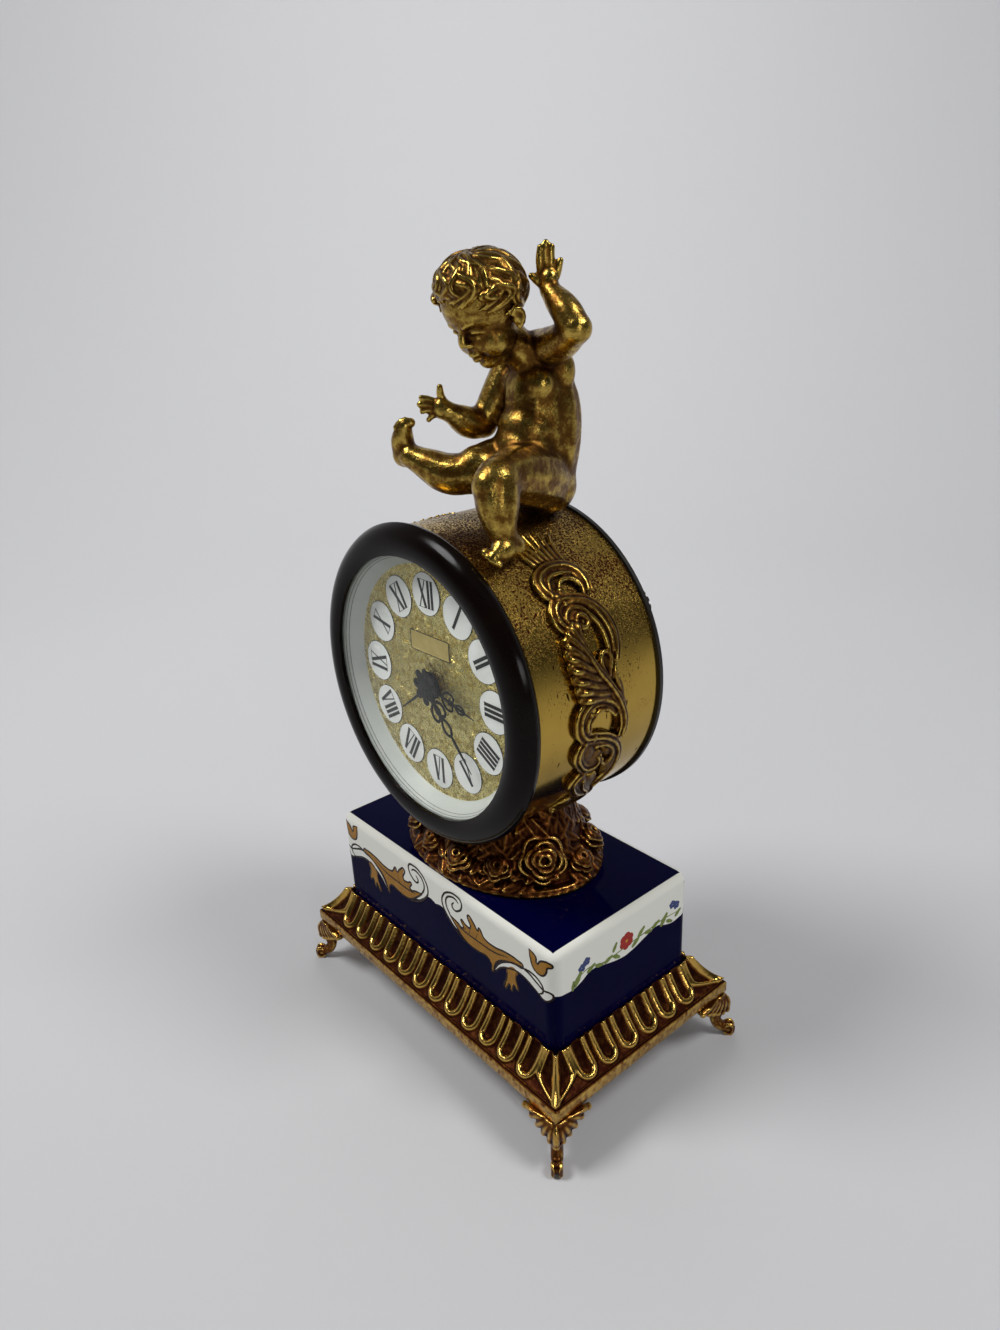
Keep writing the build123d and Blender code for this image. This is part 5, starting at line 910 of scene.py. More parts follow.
@dataclass
class RoseMound:
    """Cast oval mound under the drum: a bed of roses and leaves inside a roped edge."""

    half_length: float = 35.5
    half_width: float = 25.75
    bottom: float = 59.95
    roses: tuple[tuple[float, float, float], ...] = (
        (-22, 0.80, 6.6), (-52, 0.84, 4.2), (-78, 0.84, 4.8), (-104, 0.84, 3.8), (-130, 0.84, 4.8), (-158, 0.86, 4),
        (8, 0.86, 4.4), (34, 0.84, 5), (62, 0.84, 4.2), (90, 0.84, 4.8), (118, 0.84, 4.2), (146, 0.84, 4.8),
        (178, 0.84, 4.6),
    )
    leaf_length: float = 7.4
    leaf_count: int = 240
    voxel: float = 0.4
    seed: int = 5

    def build(self) -> Object:
        """Models the bed, its flowers and its edge, and melts them.

        Returns:
            The mound piece.
        """
        wax = Wax()
        self.bed(wax)
        for angle, share, size in self.roses:
            self.rose(wax, angle, share, size)
        self.leaves(wax)
        self.edge(wax)
        mesh = wax.melt(self.voxel)
        clear_of_clock(mesh)
        places = vertices_of(mesh)
        places[:, 2] = np.maximum(places[:, 2], self.bottom * MM)
        set_vertices(mesh, places)
        mark_hollows(mesh, 0.5, 10, 0.7)
        return place_piece("rose_bed", mesh, GILT_COPPERY, stands_for=["rose_mound"])

    def bed(self, wax: Wax) -> None:
        """Adds the oval body that carries the drum."""
        for low, high, first, last in ((0.0, 2.2, 0.97, 0.97), (0.0, 9.0, 0.93, 0.8), (8.5, 22.0, 0.81, 0.64)):
            matrix = Matrix.Translation(Vector((0, 0, self.bottom + (low + high) / 2)) * MM) @ Matrix.Diagonal(
                (self.half_length * MM, self.half_width * MM, (high - low) * MM, 1.0))
            bmesh.ops.create_cone(wax.solid, cap_ends=True, segments=96, radius1=first, radius2=last, depth=1.0,
                                  matrix=matrix)

    def spot(self, angle: float, share: float, lift: float = 0.0) -> tuple[Vector, Vector]:
        """Place and outward direction on the bed.

        Args:
            angle: Bearing in degrees from +X.
            share: Distance from the middle as a share of the oval.
            lift: Extra height in mm.

        Returns:
            The place in mm and the direction.
        """
        turn = math.radians(angle)
        rise = 60.0 * (0.95 - share) if share > 0.8 else 9.0 + 80.0 * (0.8 - share)
        place = Vector((self.half_length * share * math.cos(turn), self.half_width * share * math.sin(turn),
                        self.bottom + rise + lift))
        out = Vector((math.cos(turn) / self.half_length, math.sin(turn) / self.half_width, 0)).normalized()
        lean = 0.62 if share > 0.8 else 0.9
        return place, (out * lean + Vector((0, 0, math.sqrt(1 - lean * lean)))).normalized()

    def rose(self, wax: Wax, angle: float, share: float, size: float) -> None:
        """Adds a rose of overlapping petals round a bud."""
        place, out = self.spot(angle, share, 0.2)
        frame_turn = out.to_track_quat("Z", "Y").to_matrix()
        wax.ball(place, size * 0.86, (1, 1, 0.6), frame_turn)
        for ring, (radius, petals, height) in enumerate(((0.24, 2, 0.66), (0.46, 3, 0.6), (0.7, 4, 0.46),
                                                         (0.95, 5, 0.22))):
            for petal in range(petals):
                middle = 360 / petals * petal + ring * 40
                reach = 360 / petals * 0.66
                arc = []
                for share_of_arc in (-1, -0.5, 0, 0.5, 1):
                    turn = math.radians(middle + reach * share_of_arc)
                    swell = radius * (1.08 - 0.2 * abs(share_of_arc))
                    step = Vector((swell * math.cos(turn), swell * math.sin(turn), height)) * size
                    arc.append(place + frame_turn @ step)
                thick = size * 0.085
                wax.strand(arc, (thick * 0.5, thick, thick * 1.15, thick, thick * 0.5))

    def leaves(self, wax: Wax) -> None:
        """Scatters veined leaves between the roses."""
        chance = random.Random(self.seed)
        for index in range(self.leaf_count):
            angle = 137.5 * index + chance.uniform(-3, 3)
            place, out = self.spot(angle, (0.91, 0.86, 0.8, 0.765, 0.73, 0.695, 0.66)[index % 7], 0.3)
            turn = out.to_track_quat("Z", "Y").to_matrix() @ Matrix.Rotation(math.pi / 2 + chance.uniform(-1.1, 1.1), 3,
                                                                             "Z")
            size = self.leaf_length * chance.uniform(0.7, 1.0)
            wax.ball(place, size / 2, (1.0, 0.56, 0.34), turn, detail=2)
            rib = [place + turn @ Vector((x * size, 0, 0.16 * size)) for x in (-0.5, 0, 0.5)]
            wax.strand(rib, (0.2, 0.3, 0.12))
            for side in (-1, 1):
                edge = [place + turn @ Vector((x * size, side * y * size, 0.1 * size))
                        for x, y in ((-0.48, 0.04), (-0.1, 0.25), (0.3, 0.16), (0.5, 0.0))]
                wax.strand(edge, (0.16, 0.26, 0.22, 0.12))

    def edge(self, wax: Wax) -> None:
        """Adds the roped lower edge."""
        count = 120
        points, radii = [], []
        for index in range(count):
            turn = 2 * math.pi * index / count
            points.append((self.half_length * 0.975 * math.cos(turn), self.half_width * 0.975 * math.sin(turn),
                           self.bottom + 0.75))
            radii.append(0.62 if index % 2 else 0.8)
        wax.strand(points, radii, closed=True)


# Scroll mounts on the drum


@dataclass
class ScrollMounts:
    """Pierced gilt strips of rococo scrolls bent round both flanks of the drum."""

    skin: float = 44.1
    voxel: float = 0.3
    # Strands as (angle from the top in degrees, depth in mm) with radius and height above the skin.
    scrolls: tuple[tuple[tuple[Flat, ...], float, float], ...] = (
        (((50, -7.6), (47, -9.6), (43.5, -9.7), (40.5, -6.6), (40, -2), (42, 2), (46.5, 3.6), (51, 3.2)), 1.25, 0.9),
        (((48, -5.6), (45.4, -3.8), (45.2, -0.4), (48, 1.7), (51.5, 1.5)), 0.7, 1.2),
        (((49.5, -8.8), (46.5, -8.2), (43.6, -7), (42.6, -3), (43.6, 0.6)), 0.6, 1.5),
        (((60.5, -8.6), (57, -10), (54, -9.8), (51.5, -7.4), (52, -3.4), (54.2, 1), (59, 4.2), (65, 5.7),
          (70, 5.3), (75, 4.3)), 1.2, 0.9),
        (((60.5, -6.9), (58, -7.8), (55, -6.1), (55.2, -2.4), (58.6, 0.2), (63, 2), (69, 2.6), (73, 2.4)), 0.6, 1.3),
        (((59, -5), (57.4, -3.6), (58.8, -1.6), (61, -1.8), (61.6, -3.6), (60.2, -4.4)), 0.75, 1.3),
        (((53, -6.2), (53.2, -2.6), (56, 1.2), (60.4, 3.2), (66, 4.3), (72, 4)), 0.5, 1.7),
        (((63.5, -8.4), (67, -6.8), (71, -5), (77, -2.6), (83, 0.8), (90, 4), (97, 5.6), (102, 5.3)), 0.85, 1.4),
        (((66, -4.8), (69, -4.4), (74, -2.6), (80, 0.2), (86, 3)), 0.55, 1.2),
        (((79, 0.4), (75, -0.8), (71.4, 0), (71.4, 1.8), (73.4, 2.6), (76.5, 1.7), (80, 1)), 0.6, 1.2),
        (((75, 4.3), (79, 3.5), (85, 4.4), (92, 6), (99, 6.6), (103, 5.4)), 0.7, 1),
        (((92, 3.9), (87.5, 0.4), (85.6, -5), (88, -9), (92, -10.2), (97, -8.4), (98.6, -5)), 1.15, 0.9),
        (((93, 2.2), (89.4, -1.8), (91, -5.8), (95.6, -6.8)), 0.6, 1.3),
        (((89.6, -6.6), (92.4, -8), (95, -7.6)), 0.6, 1.5),
        (((98.6, -5), (101, 0), (107, 5), (113.5, 6.4), (118.6, 6), (122, 4.2), (126, 2.4)), 1.1, 0.9),
        (((102.6, -3.6), (104, 0.6), (109.6, 3.8), (112.8, 2.8), (112.2, 0.6), (109.4, 0)), 0.65, 1.2),
        (((99.4, -8.2), (103, -9.8), (108, -8.4), (111.6, -4.8), (110.8, -1.6), (107.6, -2)), 1, 0.9),
        (((113, -6), (116.4, -8.2), (122.6, -6.2), (128.4, -1.5), (131, 3.4)), 1, 0.9),
        (((118, -4.6), (123, -3), (128, 0.6), (134, 2.2), (139, -2)), 0.8, 1),
        (((126, 2.4), (130.5, 3.6), (135, 1.8), (138.6, -3), (138.4, -7)), 0.8, 0.8),
    )
    leaf_tips: tuple[Flat, ...] = ((59.6, -6.4), (60.8, -8.8), (64.0, -10.2), (67.8, -10.8), (71.8, -10.8),
                                   (75.8, -10.4),
                                   (79.6, -9.8), (82.8, -9))
    leaf_roots: tuple[Flat, ...] = ((67, -5.4), (69.6, -4.6), (72.6, -3.6), (75.8, -2.2), (79, -0.8), (82, 0.8),
                                    (84.6, 2.2),
                                    (86.8, 3.4))
    pads: tuple[tuple[float, float, float, float], ...] = (
        (45, -7.4, 2.6, 2.2), (41.5, 0.4, 2, 3), (53.5, -7.6, 2.6, 2.4), (57.8, -5, 3.6, 3.6), (57, 1.4, 2.6, 2.6),
        (63, 4, 3.2, 1.6), (69, 4.1, 3.6, 1.2), (68, -8, 3.8, 2.8), (74, -6.4, 4.2, 3.8), (80, -4.4, 4, 4.6),
        (84.6, -2, 2.6, 5), (78, 1, 4, 1.4), (87.6, 4.4, 4, 1.6), (96, 6, 4, 1.1), (90.4, -7.8, 3.6, 2),
        (100.6, -3.4, 2.2, 3), (104.4, -6.6, 3.6, 2.6), (109, -3.8, 2.6, 3.4), (106, 2.8, 2.6, 2.4),
        (116, 4.4, 4.6, 1.4),
        (118.4, -5.6, 3, 2), (124, -1.2, 4.6, 3), (131.5, 0.8, 4.4, 2.4), (136.6, -3.6, 3, 2.4),
    )
    beads: tuple[float, float, int] = (86.0, 103.0, 13)
    fan_lines: int = 7

    def build(self) -> list[Object]:
        """Builds the mount of each flank.

        Returns:
            The two pieces.
        """
        made = []
        for hand, side in (("left", -1), ("right", 1)):
            mesh = self.cast(side)
            made.append(place_piece(f"rococo_mount_{hand}", mesh, GILT, stands_for=[f"scroll_mount_{hand}"]))
        return made

    def at(self, side: int, angle: float, depth: float, lift: float) -> Point:
        """Place on the drum's flank, lift above its skin."""
        turn = math.radians(angle)
        reach = self.skin + lift
        return side * reach * math.sin(turn), depth, DRUM_AXIS_Z + reach * math.cos(turn)

    def beside(self, path: Sequence[Flat], offset: float) -> list[Flat]:
        """Path that runs beside another on the drum's skin.

        Args:
            path: Places as angle and depth.
            offset: Distance to the path's left in mm.

        Returns:
            The places beside it.
        """
        per_degree = math.radians(self.skin)
        moved = []
        for index, (angle, depth) in enumerate(path):
            before, after = path[max(index - 1, 0)], path[min(index + 1, len(path) - 1)]
            ahead = Vector(((after[0] - before[0]) * per_degree, after[1] - before[1])).normalized()
            moved.append((angle - ahead.y * offset / per_degree, depth + ahead.x * offset))
        return moved

    def cast(self, side: int) -> Mesh:
        """Models one mount on the drum and melts it.

        Args:
            side: 1 for the right flank, -1 for the left.

        Returns:
            The mount's mesh.
        """
        wax = Wax()
        for path, radius, lift in self.scrolls:
            count = len(path)
            radii = [radius * (0.72 if index in (0, count - 1) else 1.0) for index in range(count)]
            wax.ball(self.at(side, *path[0], lift), radius * 1.1, detail=2)
            if radius < 0.8:
                wax.strand([self.at(side, *place, lift) for place in path], radii)
                continue
            wax.strand([self.at(side, *place, 0.1) for place in path], [1.5 * thick for thick in radii])
            for offset, rise in ((-1.15, 0.25), (0.0, 0.7), (1.15, 0.25)):
                edge = self.beside(path, offset * radius)
                wax.strand([self.at(side, *place, lift + rise) for place in edge], [0.46 * thick for thick in radii])
        for (tip_angle, tip), (root_angle, root) in zip(self.leaf_tips, self.leaf_roots):
            middle = ((tip_angle + root_angle) / 2 - 0.6, (tip + root) / 2 - 0.6)
            for offset, thick, rise in ((-0.5, 1.0, 0.0), (0.7, 0.6, 0.4)):
                lobe = self.beside(((root_angle, root), middle, (tip_angle + 0.4, tip), (tip_angle + 2.0, tip + 0.5)),
                                   offset)
                wax.strand([self.at(side, *place, lift + rise) for place, lift in zip(lobe, (0.6, 1.3, 1.2, 0.6))],
                           (thick * 0.7, thick * 1.3, thick * 1.2, thick * 0.7))
        for angle, depth, along, across in self.pads:
            turn = Matrix.Rotation(math.radians(side * angle), 3, "Y")
            wax.ball(self.at(side, angle, depth, 0.2), 1.0, (along * 1.35, across * 1.35, 1.3), turn, detail=2)
        first, last, count = self.beads
        for index in range(count):
            share = index / (count - 1)
            wax.ball(self.at(side, first + (last - first) * share, 3.6 + 3.2 * math.sin(share * 2.2), 1.6), 0.55,
                     detail=1)
        for index in range(self.fan_lines):
            spread = index / (self.fan_lines - 1)
            path = [(40.5 - 2 * spread, -6 + 8 * spread), (33 - 3 * spread, -8.4 + 11 * spread),
                    (26 - 2.5 * math.sin(spread * 3.1), -10.0 + 14.5 * spread)]
            wax.strand([self.at(side, *place, 0.4) for place in path], (0.75, 0.68, 0.5))
        mesh = wax.melt(self.voxel)
        clear_of_clock(mesh)
        mark_hollows(mesh, 0.32, 8, 0.6)
        return mesh


# Putto


@dataclass
class Putto:
    """Cast seated child on the drum: soft modelled flesh, wavy locks, one hand raised and one foot lifted."""

    head_centre: Point = (8.6, -3.8, 216.0)
    head_scale: float = 0.87
    head_bow: float = 32.0
    flesh_voxel: float = 0.6
    skin_voxel: float = 0.38
    hair_voxel: float = 0.27
    locks: int = 17
    seed: int = 11
    # Limbs and trunk: places and radii in mm.
    flesh: tuple[Stroke, ...] = (
        (((8.8, 13, 171), (9.6, 11.4, 181), (10, 11, 191), (10, 11, 199.5), (9.8, 9.8, 204.5)),
         (8.8, 9.3, 8.9, 7.8, 5.4)),
        (((11.4, 13.2, 175), (12, 14.2, 184), (12, 14, 193), (11.6, 13.4, 200)), (7.4, 7.7, 7.4, 5.6)),
        (((3, 11.4, 202), (9.6, 11.2, 204.6), (17, 10, 206.4)), (4.9, 5.4, 4.8)),
        (((9.8, 8.8, 203), (9.2, 4.6, 207), (8.8, 1, 210)), (5.2, 4.8, 5)),
        (((11.4, 12, 172), (14.8, 3.4, 175), (18.4, -6.6, 177.2), (21, -12.8, 177.4)), (8.2, 8.3, 7, 5.7)),
        (((21.4, -13.6, 177), (22.6, -14.6, 171.8), (23.6, -14.8, 167.4), (24.4, -14.2, 163.4)), (5.7, 5.6, 4.4, 3.3)),
        (((24.6, -12.4, 161.8), (25.2, -14.8, 161.8), (25.8, -17.4, 161), (26, -19.2, 160.4)), (2.8, 3.2, 2.9, 2.1)),
        (((3.8, 14.2, 172.2), (3.4, 6.4, 175), (3.8, -1, 177.2), (3.6, -4.8, 177.6)), (8.2, 8, 6.9, 5.6)),
        (((2.6, -6.6, 175.8), (-2.4, -10, 175.8), (-7, -12.8, 178), (-11.2, -15.2, 180.2)), (5.5, 5.5, 4.5, 3.3)),
        (((-14.2, -14.6, 180.4), (-14.2, -15.4, 183), (-13, -15.9, 185.8), (-11.8, -16, 188)), (3.1, 3.3, 2.9, 2.1)),
        (((17.6, 9.6, 206.4), (22.6, 8.6, 207.8), (27.4, 7.4, 210)), (4.7, 4.5, 3.8)),
        (((28.2, 7.2, 210.8), (25.4, 7.2, 214.2), (21.6, 7.5, 217.2), (19, 7.7, 219.2)), (3.7, 3.9, 3.3, 2.5)),
        (((1.6, 10.8, 202.6), (-0.6, 7.2, 195), (-2.4, 3.4, 188)), (4.8, 4.6, 4)),
        (((-2.6, 2.8, 187), (-3.2, -1, 187.6), (-3.6, -4.4, 189.4), (-4.2, -7.2, 191.2)), (4, 4.3, 3.6, 2.6)),
    )
    # Round masses: place, radius and stretch.
    masses: tuple[tuple[Point, float, Point], ...] = (
        ((11.6, 12.4, 170.8), 7.8, (1, 1, 1)), ((3.8, 14.4, 170.8), 7.9, (1, 1, 1)),
        ((9.6, 6.4, 180.6), 8.9, (1.03, 0.95, 1)), ((9.9, 7, 186), 7.9, (1.05, 0.9, 0.9)),
        ((13.4, 7.6, 197.2), 4.8, (1.1, 0.75, 1)), ((5.8, 7.8, 196.6), 4.8, (1.1, 0.75, 1)),
        ((14.4, 14.4, 200), 5, (1, 0.8, 1.2)), ((4.8, 15, 199.4), 5, (1, 0.8, 1.2)),
        ((21.4, -15, 176.4), 5.2, (1, 1, 1)), ((3.4, -5.6, 177.6), 5.2, (1, 1, 1)),
        ((28.6, 7.2, 210.6), 3.8, (1, 1, 1)), ((-2.8, 3, 187), 4, (1, 1, 1)),
        ((24.8, -12.2, 161.4), 3.2, (1, 1, 1)), ((-14.4, -14.8, 180.2), 3.5, (1, 1, 1)),
        ((18.5, 7.8, 221.4), 2.9, (1, 0.75, 1.1)), ((-5.4, -8.3, 192), 2.8, (0.9, 0.9, 1.1)),
    )
    # Head masses beside, ahead of and above the head's middle; those off the middle are on both sides.
    head_masses: tuple[tuple[Point, float, Point], ...] = (
        ((0, 0, 3.2), 11, (1, 1.06, 1)), ((0, 2.8, -4.6), 9, (0.95, 0.93, 1.05)),
        ((4.7, 5.6, -6.4), 4.4, (1, 1, 1)),
        ((0, 6.8, -11.8), 3, (1.15, 1, 0.9)), ((0, 3.8, -12.4), 3.8, (1.2, 1, 0.8)),
        ((0, 4.4, 2.2), 7.6, (1.05, 0.95, 0.95)),
    )
    sockets: tuple[tuple[Point, float, float], ...] = (
        ((3.9, 10.2, -1.5), 2.6, 0.6), ((0, 11.2, -6.2), 0.9, 0.35), ((0, 10.6, -10.4), 1.2, 0.5),
        ((2.9, 10, -8.6), 0.9, 0.5),
    )
    head_strands: tuple[Stroke, ...] = (
        (((0, 10.4, -0.2), (0, 11.6, -2.2), (0, 12.3, -4.1)), (0.9, 1.15, 1.35)),
        (((-2.4, 9.7, -7.9), (-1, 10.9, -7.45), (0, 11, -7.6), (1, 10.9, -7.45), (2.4, 9.7, -7.9)),
         (0.35, 0.7, 0.62, 0.7, 0.35)),
        (((-2, 9.7, -8.9), (0, 10.7, -9.2), (2, 9.7, -8.9)), (0.35, 0.85, 0.35)),
        (((-5.9, 8, -1.9), (-4, 9.6, -0.9), (-2.1, 9.3, -1.8)), (0.5, 0.8, 0.5)),
        (((-5.7, 8, -2.4), (-4, 9.3, -3), (-2.3, 9.2, -2.5)), (0.35, 0.55, 0.35)),
        (((-6.6, 7.6, 1), (-4, 10.2, 1.7), (-1.7, 10.9, 0.9)), (0.5, 0.75, 0.5)),
        (((9.6, 0, -6.4), (10.7, -1.6, -5.4), (11, -2.4, -2.8), (10.6, -0.8, -1.2), (10.2, 0.4, -2.6)),
         (0.8, 0.8, 0.8, 0.7, 0.6)),
    )
    head_dots: tuple[tuple[Point, float], ...] = (
        ((3.9, 8.1, -1.8), 1.5), ((1.2, 11.3, -4.4), 0.85), ((9.9, -0.8, -4.2), 1.5), ((9.9, -1.2, -2.6), 1.4),
    )
    fingers: tuple[Stroke, ...] = (
        (((17.5, 6.7, 222.8), (17.3, 6.4, 226), (17.4, 6.6, 228.6)), (1.1, 1, 0.85)),
        (((18.3, 7.6, 223.2), (18.2, 7.4, 226.6), (18.3, 7.6, 229.6)), (1.1, 1, 0.85)),
        (((19.1, 8.5, 223), (19.1, 8.4, 226), (19.2, 8.6, 228.7)), (1.1, 0.98, 0.82)),
        (((19.8, 9.2, 222), (20.3, 9.6, 223.8), (20.7, 10, 225.6)), (1.05, 0.95, 0.8)),
        (((17.4, 6.5, 220.8), (16.6, 5.5, 221.8), (16, 4.9, 222.5)), (1.2, 1.05, 0.9)),
        (((-6.2, -8.9, 193.2), (-7.8, -10.7, 194.4), (-9, -12, 194.9)), (1.05, 0.95, 0.82)),
        (((-6.4, -9.3, 192.6), (-8.2, -11.1, 193.2), (-9.6, -12.4, 193.2)), (1.05, 0.95, 0.82)),
        (((-6.4, -9.2, 191.8), (-8.1, -10.8, 191.8), (-9.4, -11.8, 191.4)), (1.05, 0.95, 0.8)),
        (((-6, -8.7, 190.9), (-7.4, -10, 190.2), (-8.4, -10.7, 189.2)), (1, 0.88, 0.76)),
        (((-5, -8, 193.4), (-5.2, -8.7, 195.6), (-5, -8.9, 197.4)), (1.2, 1.05, 0.88)),
    )
    toes: tuple[tuple[Point, float], ...] = (
        ((24.2, -20.4, 161.4), 1.3), ((25.4, -20.7, 160.7), 1), ((26.4, -20.5, 160.1), 0.95),
        ((27.3, -20, 159.5), 0.88), ((28, -19.3, 159), 0.8),
        ((-10.6, -14.9, 188.8), 1.35), ((-11.4, -15.9, 189.4), 1.05), ((-12.1, -16.7, 189.2), 0.98),
        ((-12.8, -17.3, 188.6), 0.9), ((-13.4, -17.7, 187.8), 0.84),
    )

    def build(self) -> list[Object]:
        """Models the flesh, then the fine parts, and melts them into a casting with its hair.

        Returns:
            The figure and its hair.
        """
        wax = Wax()
        for points, radii in self.flesh:
            wax.strand(points, radii)
            wax.ball(points[0], radii[0] * 0.99)
            wax.ball(points[-1], radii[-1] * 0.99)
        for centre, radius, stretch in self.masses:
            wax.ball(centre, radius, stretch)
        for centre, radius, stretch in self.head_masses:
            for place, in both_sides([centre]):
                wax.ball(self.head(place), radius * self.head_scale, stretch, self.head_axes())
        skin = wax.melt(self.flesh_voxel, 7)
        self.press_sockets(skin)
        fine = Wax()
        fine.add_mesh(skin)
        for points, radii in self.head_strands:
            for path in both_sides(points):
                fine.strand([self.head(point) for point in path], [radius * self.head_scale for radius in radii])
        for centre, radius in self.head_dots:
            for place, in both_sides([centre]):
                fine.ball(self.head(place), radius * self.head_scale, detail=2)
        for points, radii in self.fingers:
            fine.strand(points, radii)
            fine.ball(points[-1], radii[-1], detail=2)
        for centre, radius in self.toes:
            fine.ball(centre, radius, detail=2)
        mesh = fine.melt(self.skin_voxel, 1)
        clear_of_clock(mesh)
        mark_hollows(mesh, 0.6, 14, 0.46)
        curls = Wax()
        self.hair(curls)
        locks = curls.melt(self.hair_voxel)
        mark_hollows(locks, 0.34, 8, 0.5)
        return [place_piece("putto", mesh, GILT_FIGURE, stands_for=["putto_figure"]),
                place_piece("putto_hair", locks, GILT)]

    def head_axes(self) -> Matrix:
        """Rotation of the head: its side, ahead and up directions as columns."""
        bow = math.radians(self.head_bow)
        ahead = Vector((0, -math.cos(bow), -math.sin(bow)))
        up = Vector((0, -math.sin(bow), math.cos(bow)))
        return Matrix((ahead.cross(up), ahead, up)).transposed()

    def head(self, place: Sequence[float]) -> Vector:
        """Place in the clock's frame of a point given beside, ahead of and above the head's middle."""
        return Vector(self.head_centre) + self.head_axes() @ (Vector(place) * self.head_scale)

    def press_sockets(self, mesh: Mesh) -> None:
        """Presses the eye sockets and the hollows round the mouth into the flesh."""
        places = vertices_of(mesh)
        inward = -np.array(self.head_axes().col[1])
        for centre, radius, depth in self.sockets:
            for place, in both_sides([centre]):
                away = np.linalg.norm(places - np.array(self.head(place)) * MM, axis=1) / (radius * MM)
                places += inward * (depth * MM * np.exp(-away ** 2))[:, None]
        set_vertices(mesh, places)

    def hair(self, wax: Wax) -> None:
        """Lays wavy locks from the crown to the hairline, each a thick core with fine strands on it."""
        chance = random.Random(self.seed)
        wax.ball(self.head((0, -0.8, 4.4)), 10.6 * self.head_scale, (1.0, 1.06, 1.0), self.head_axes())
        for row, (start, begin, stop) in enumerate(((4.0, 0.0, 1.0), (24.0, 0.5, 1.0), (46.0, 0.25, 0.95),
                                                    (62.0, 0.75, 1.02))):
            for index in range(self.locks):
                bearing = 360 / self.locks * (index + begin) + chance.uniform(-4, 4)
                front = 0.5 + 0.5 * math.cos(math.radians(bearing))
                end = (122 - 50 * front ** 1.5) * stop + chance.uniform(-7, 5)
                begin_at = start + chance.uniform(-3, 9)
                if end - begin_at < 18:
                    continue
                sway = (1 if (index + row) % 2 else -1) * chance.uniform(11, 17)
                phase = chance.uniform(0.0, 1.5)
                for aside, thick, lift in ((0.0, 1.35, 0.0), (-1.25, 0.66, 1.25), (0.0, 0.72, 1.75),
                                           (1.25, 0.66, 1.25)):
                    self.lock(wax, bearing, begin_at, end, sway, phase, aside, thick, lift + 0.35 * (row % 2))

    def lock(self, wax: Wax, bearing: float, start: float, end: float, sway: float, phase: float, aside: float,
             thick: float, lift: float) -> None:
        """Adds one strand of a lock.

        Args:
            wax: Model that takes it.
            bearing: Direction from the crown in degrees, 0 ahead.
            start: Angle from the crown where it begins.
            end: Angle where it ends.
            sway: Swing of its waves in degrees.
            phase: Start of its waves.
            aside: Offset across the lock in mm.
            thick: Radius in mm.
            lift: Height over the skull in mm.
        """
        skull = Vector((11.0, 11.6, 11.0))
        tilt = Matrix.Rotation(math.radians(16), 3, "X")
        points, radii = [], []
        for step in range(9):
            share = step / 8
            lean = math.radians(start + (end - start) * share)
            wave = sway * math.sin(phase + 6.0 * share) + 26.0 * math.copysign(share ** 4, sway)
            spread = math.degrees(aside / (11.5 * max(math.sin(lean), 0.25)))
            turn = math.radians(bearing + wave / max(math.sin(lean), 0.45) * 0.7 + spread + 80 * (1 - lean / 2) ** 3)
            out = tilt @ Vector((math.sin(lean) * math.sin(turn), math.sin(lean) * math.cos(turn), math.cos(lean)))
            swell = lift * (0.15 + 0.85 * math.sin(math.pi * (0.14 + 0.86 * share)))
            points.append(self.head(Vector((0, 0.0, 3.2)) + Vector(
                [axis * (reach + swell) for axis, reach in zip(out, skull)])))
            radii.append(thick * self.head_scale * (0.45 + 0.55 * math.sin(math.pi * (0.15 + 0.8 * share))))
        wax.strand(points, radii)


# Painted porcelain


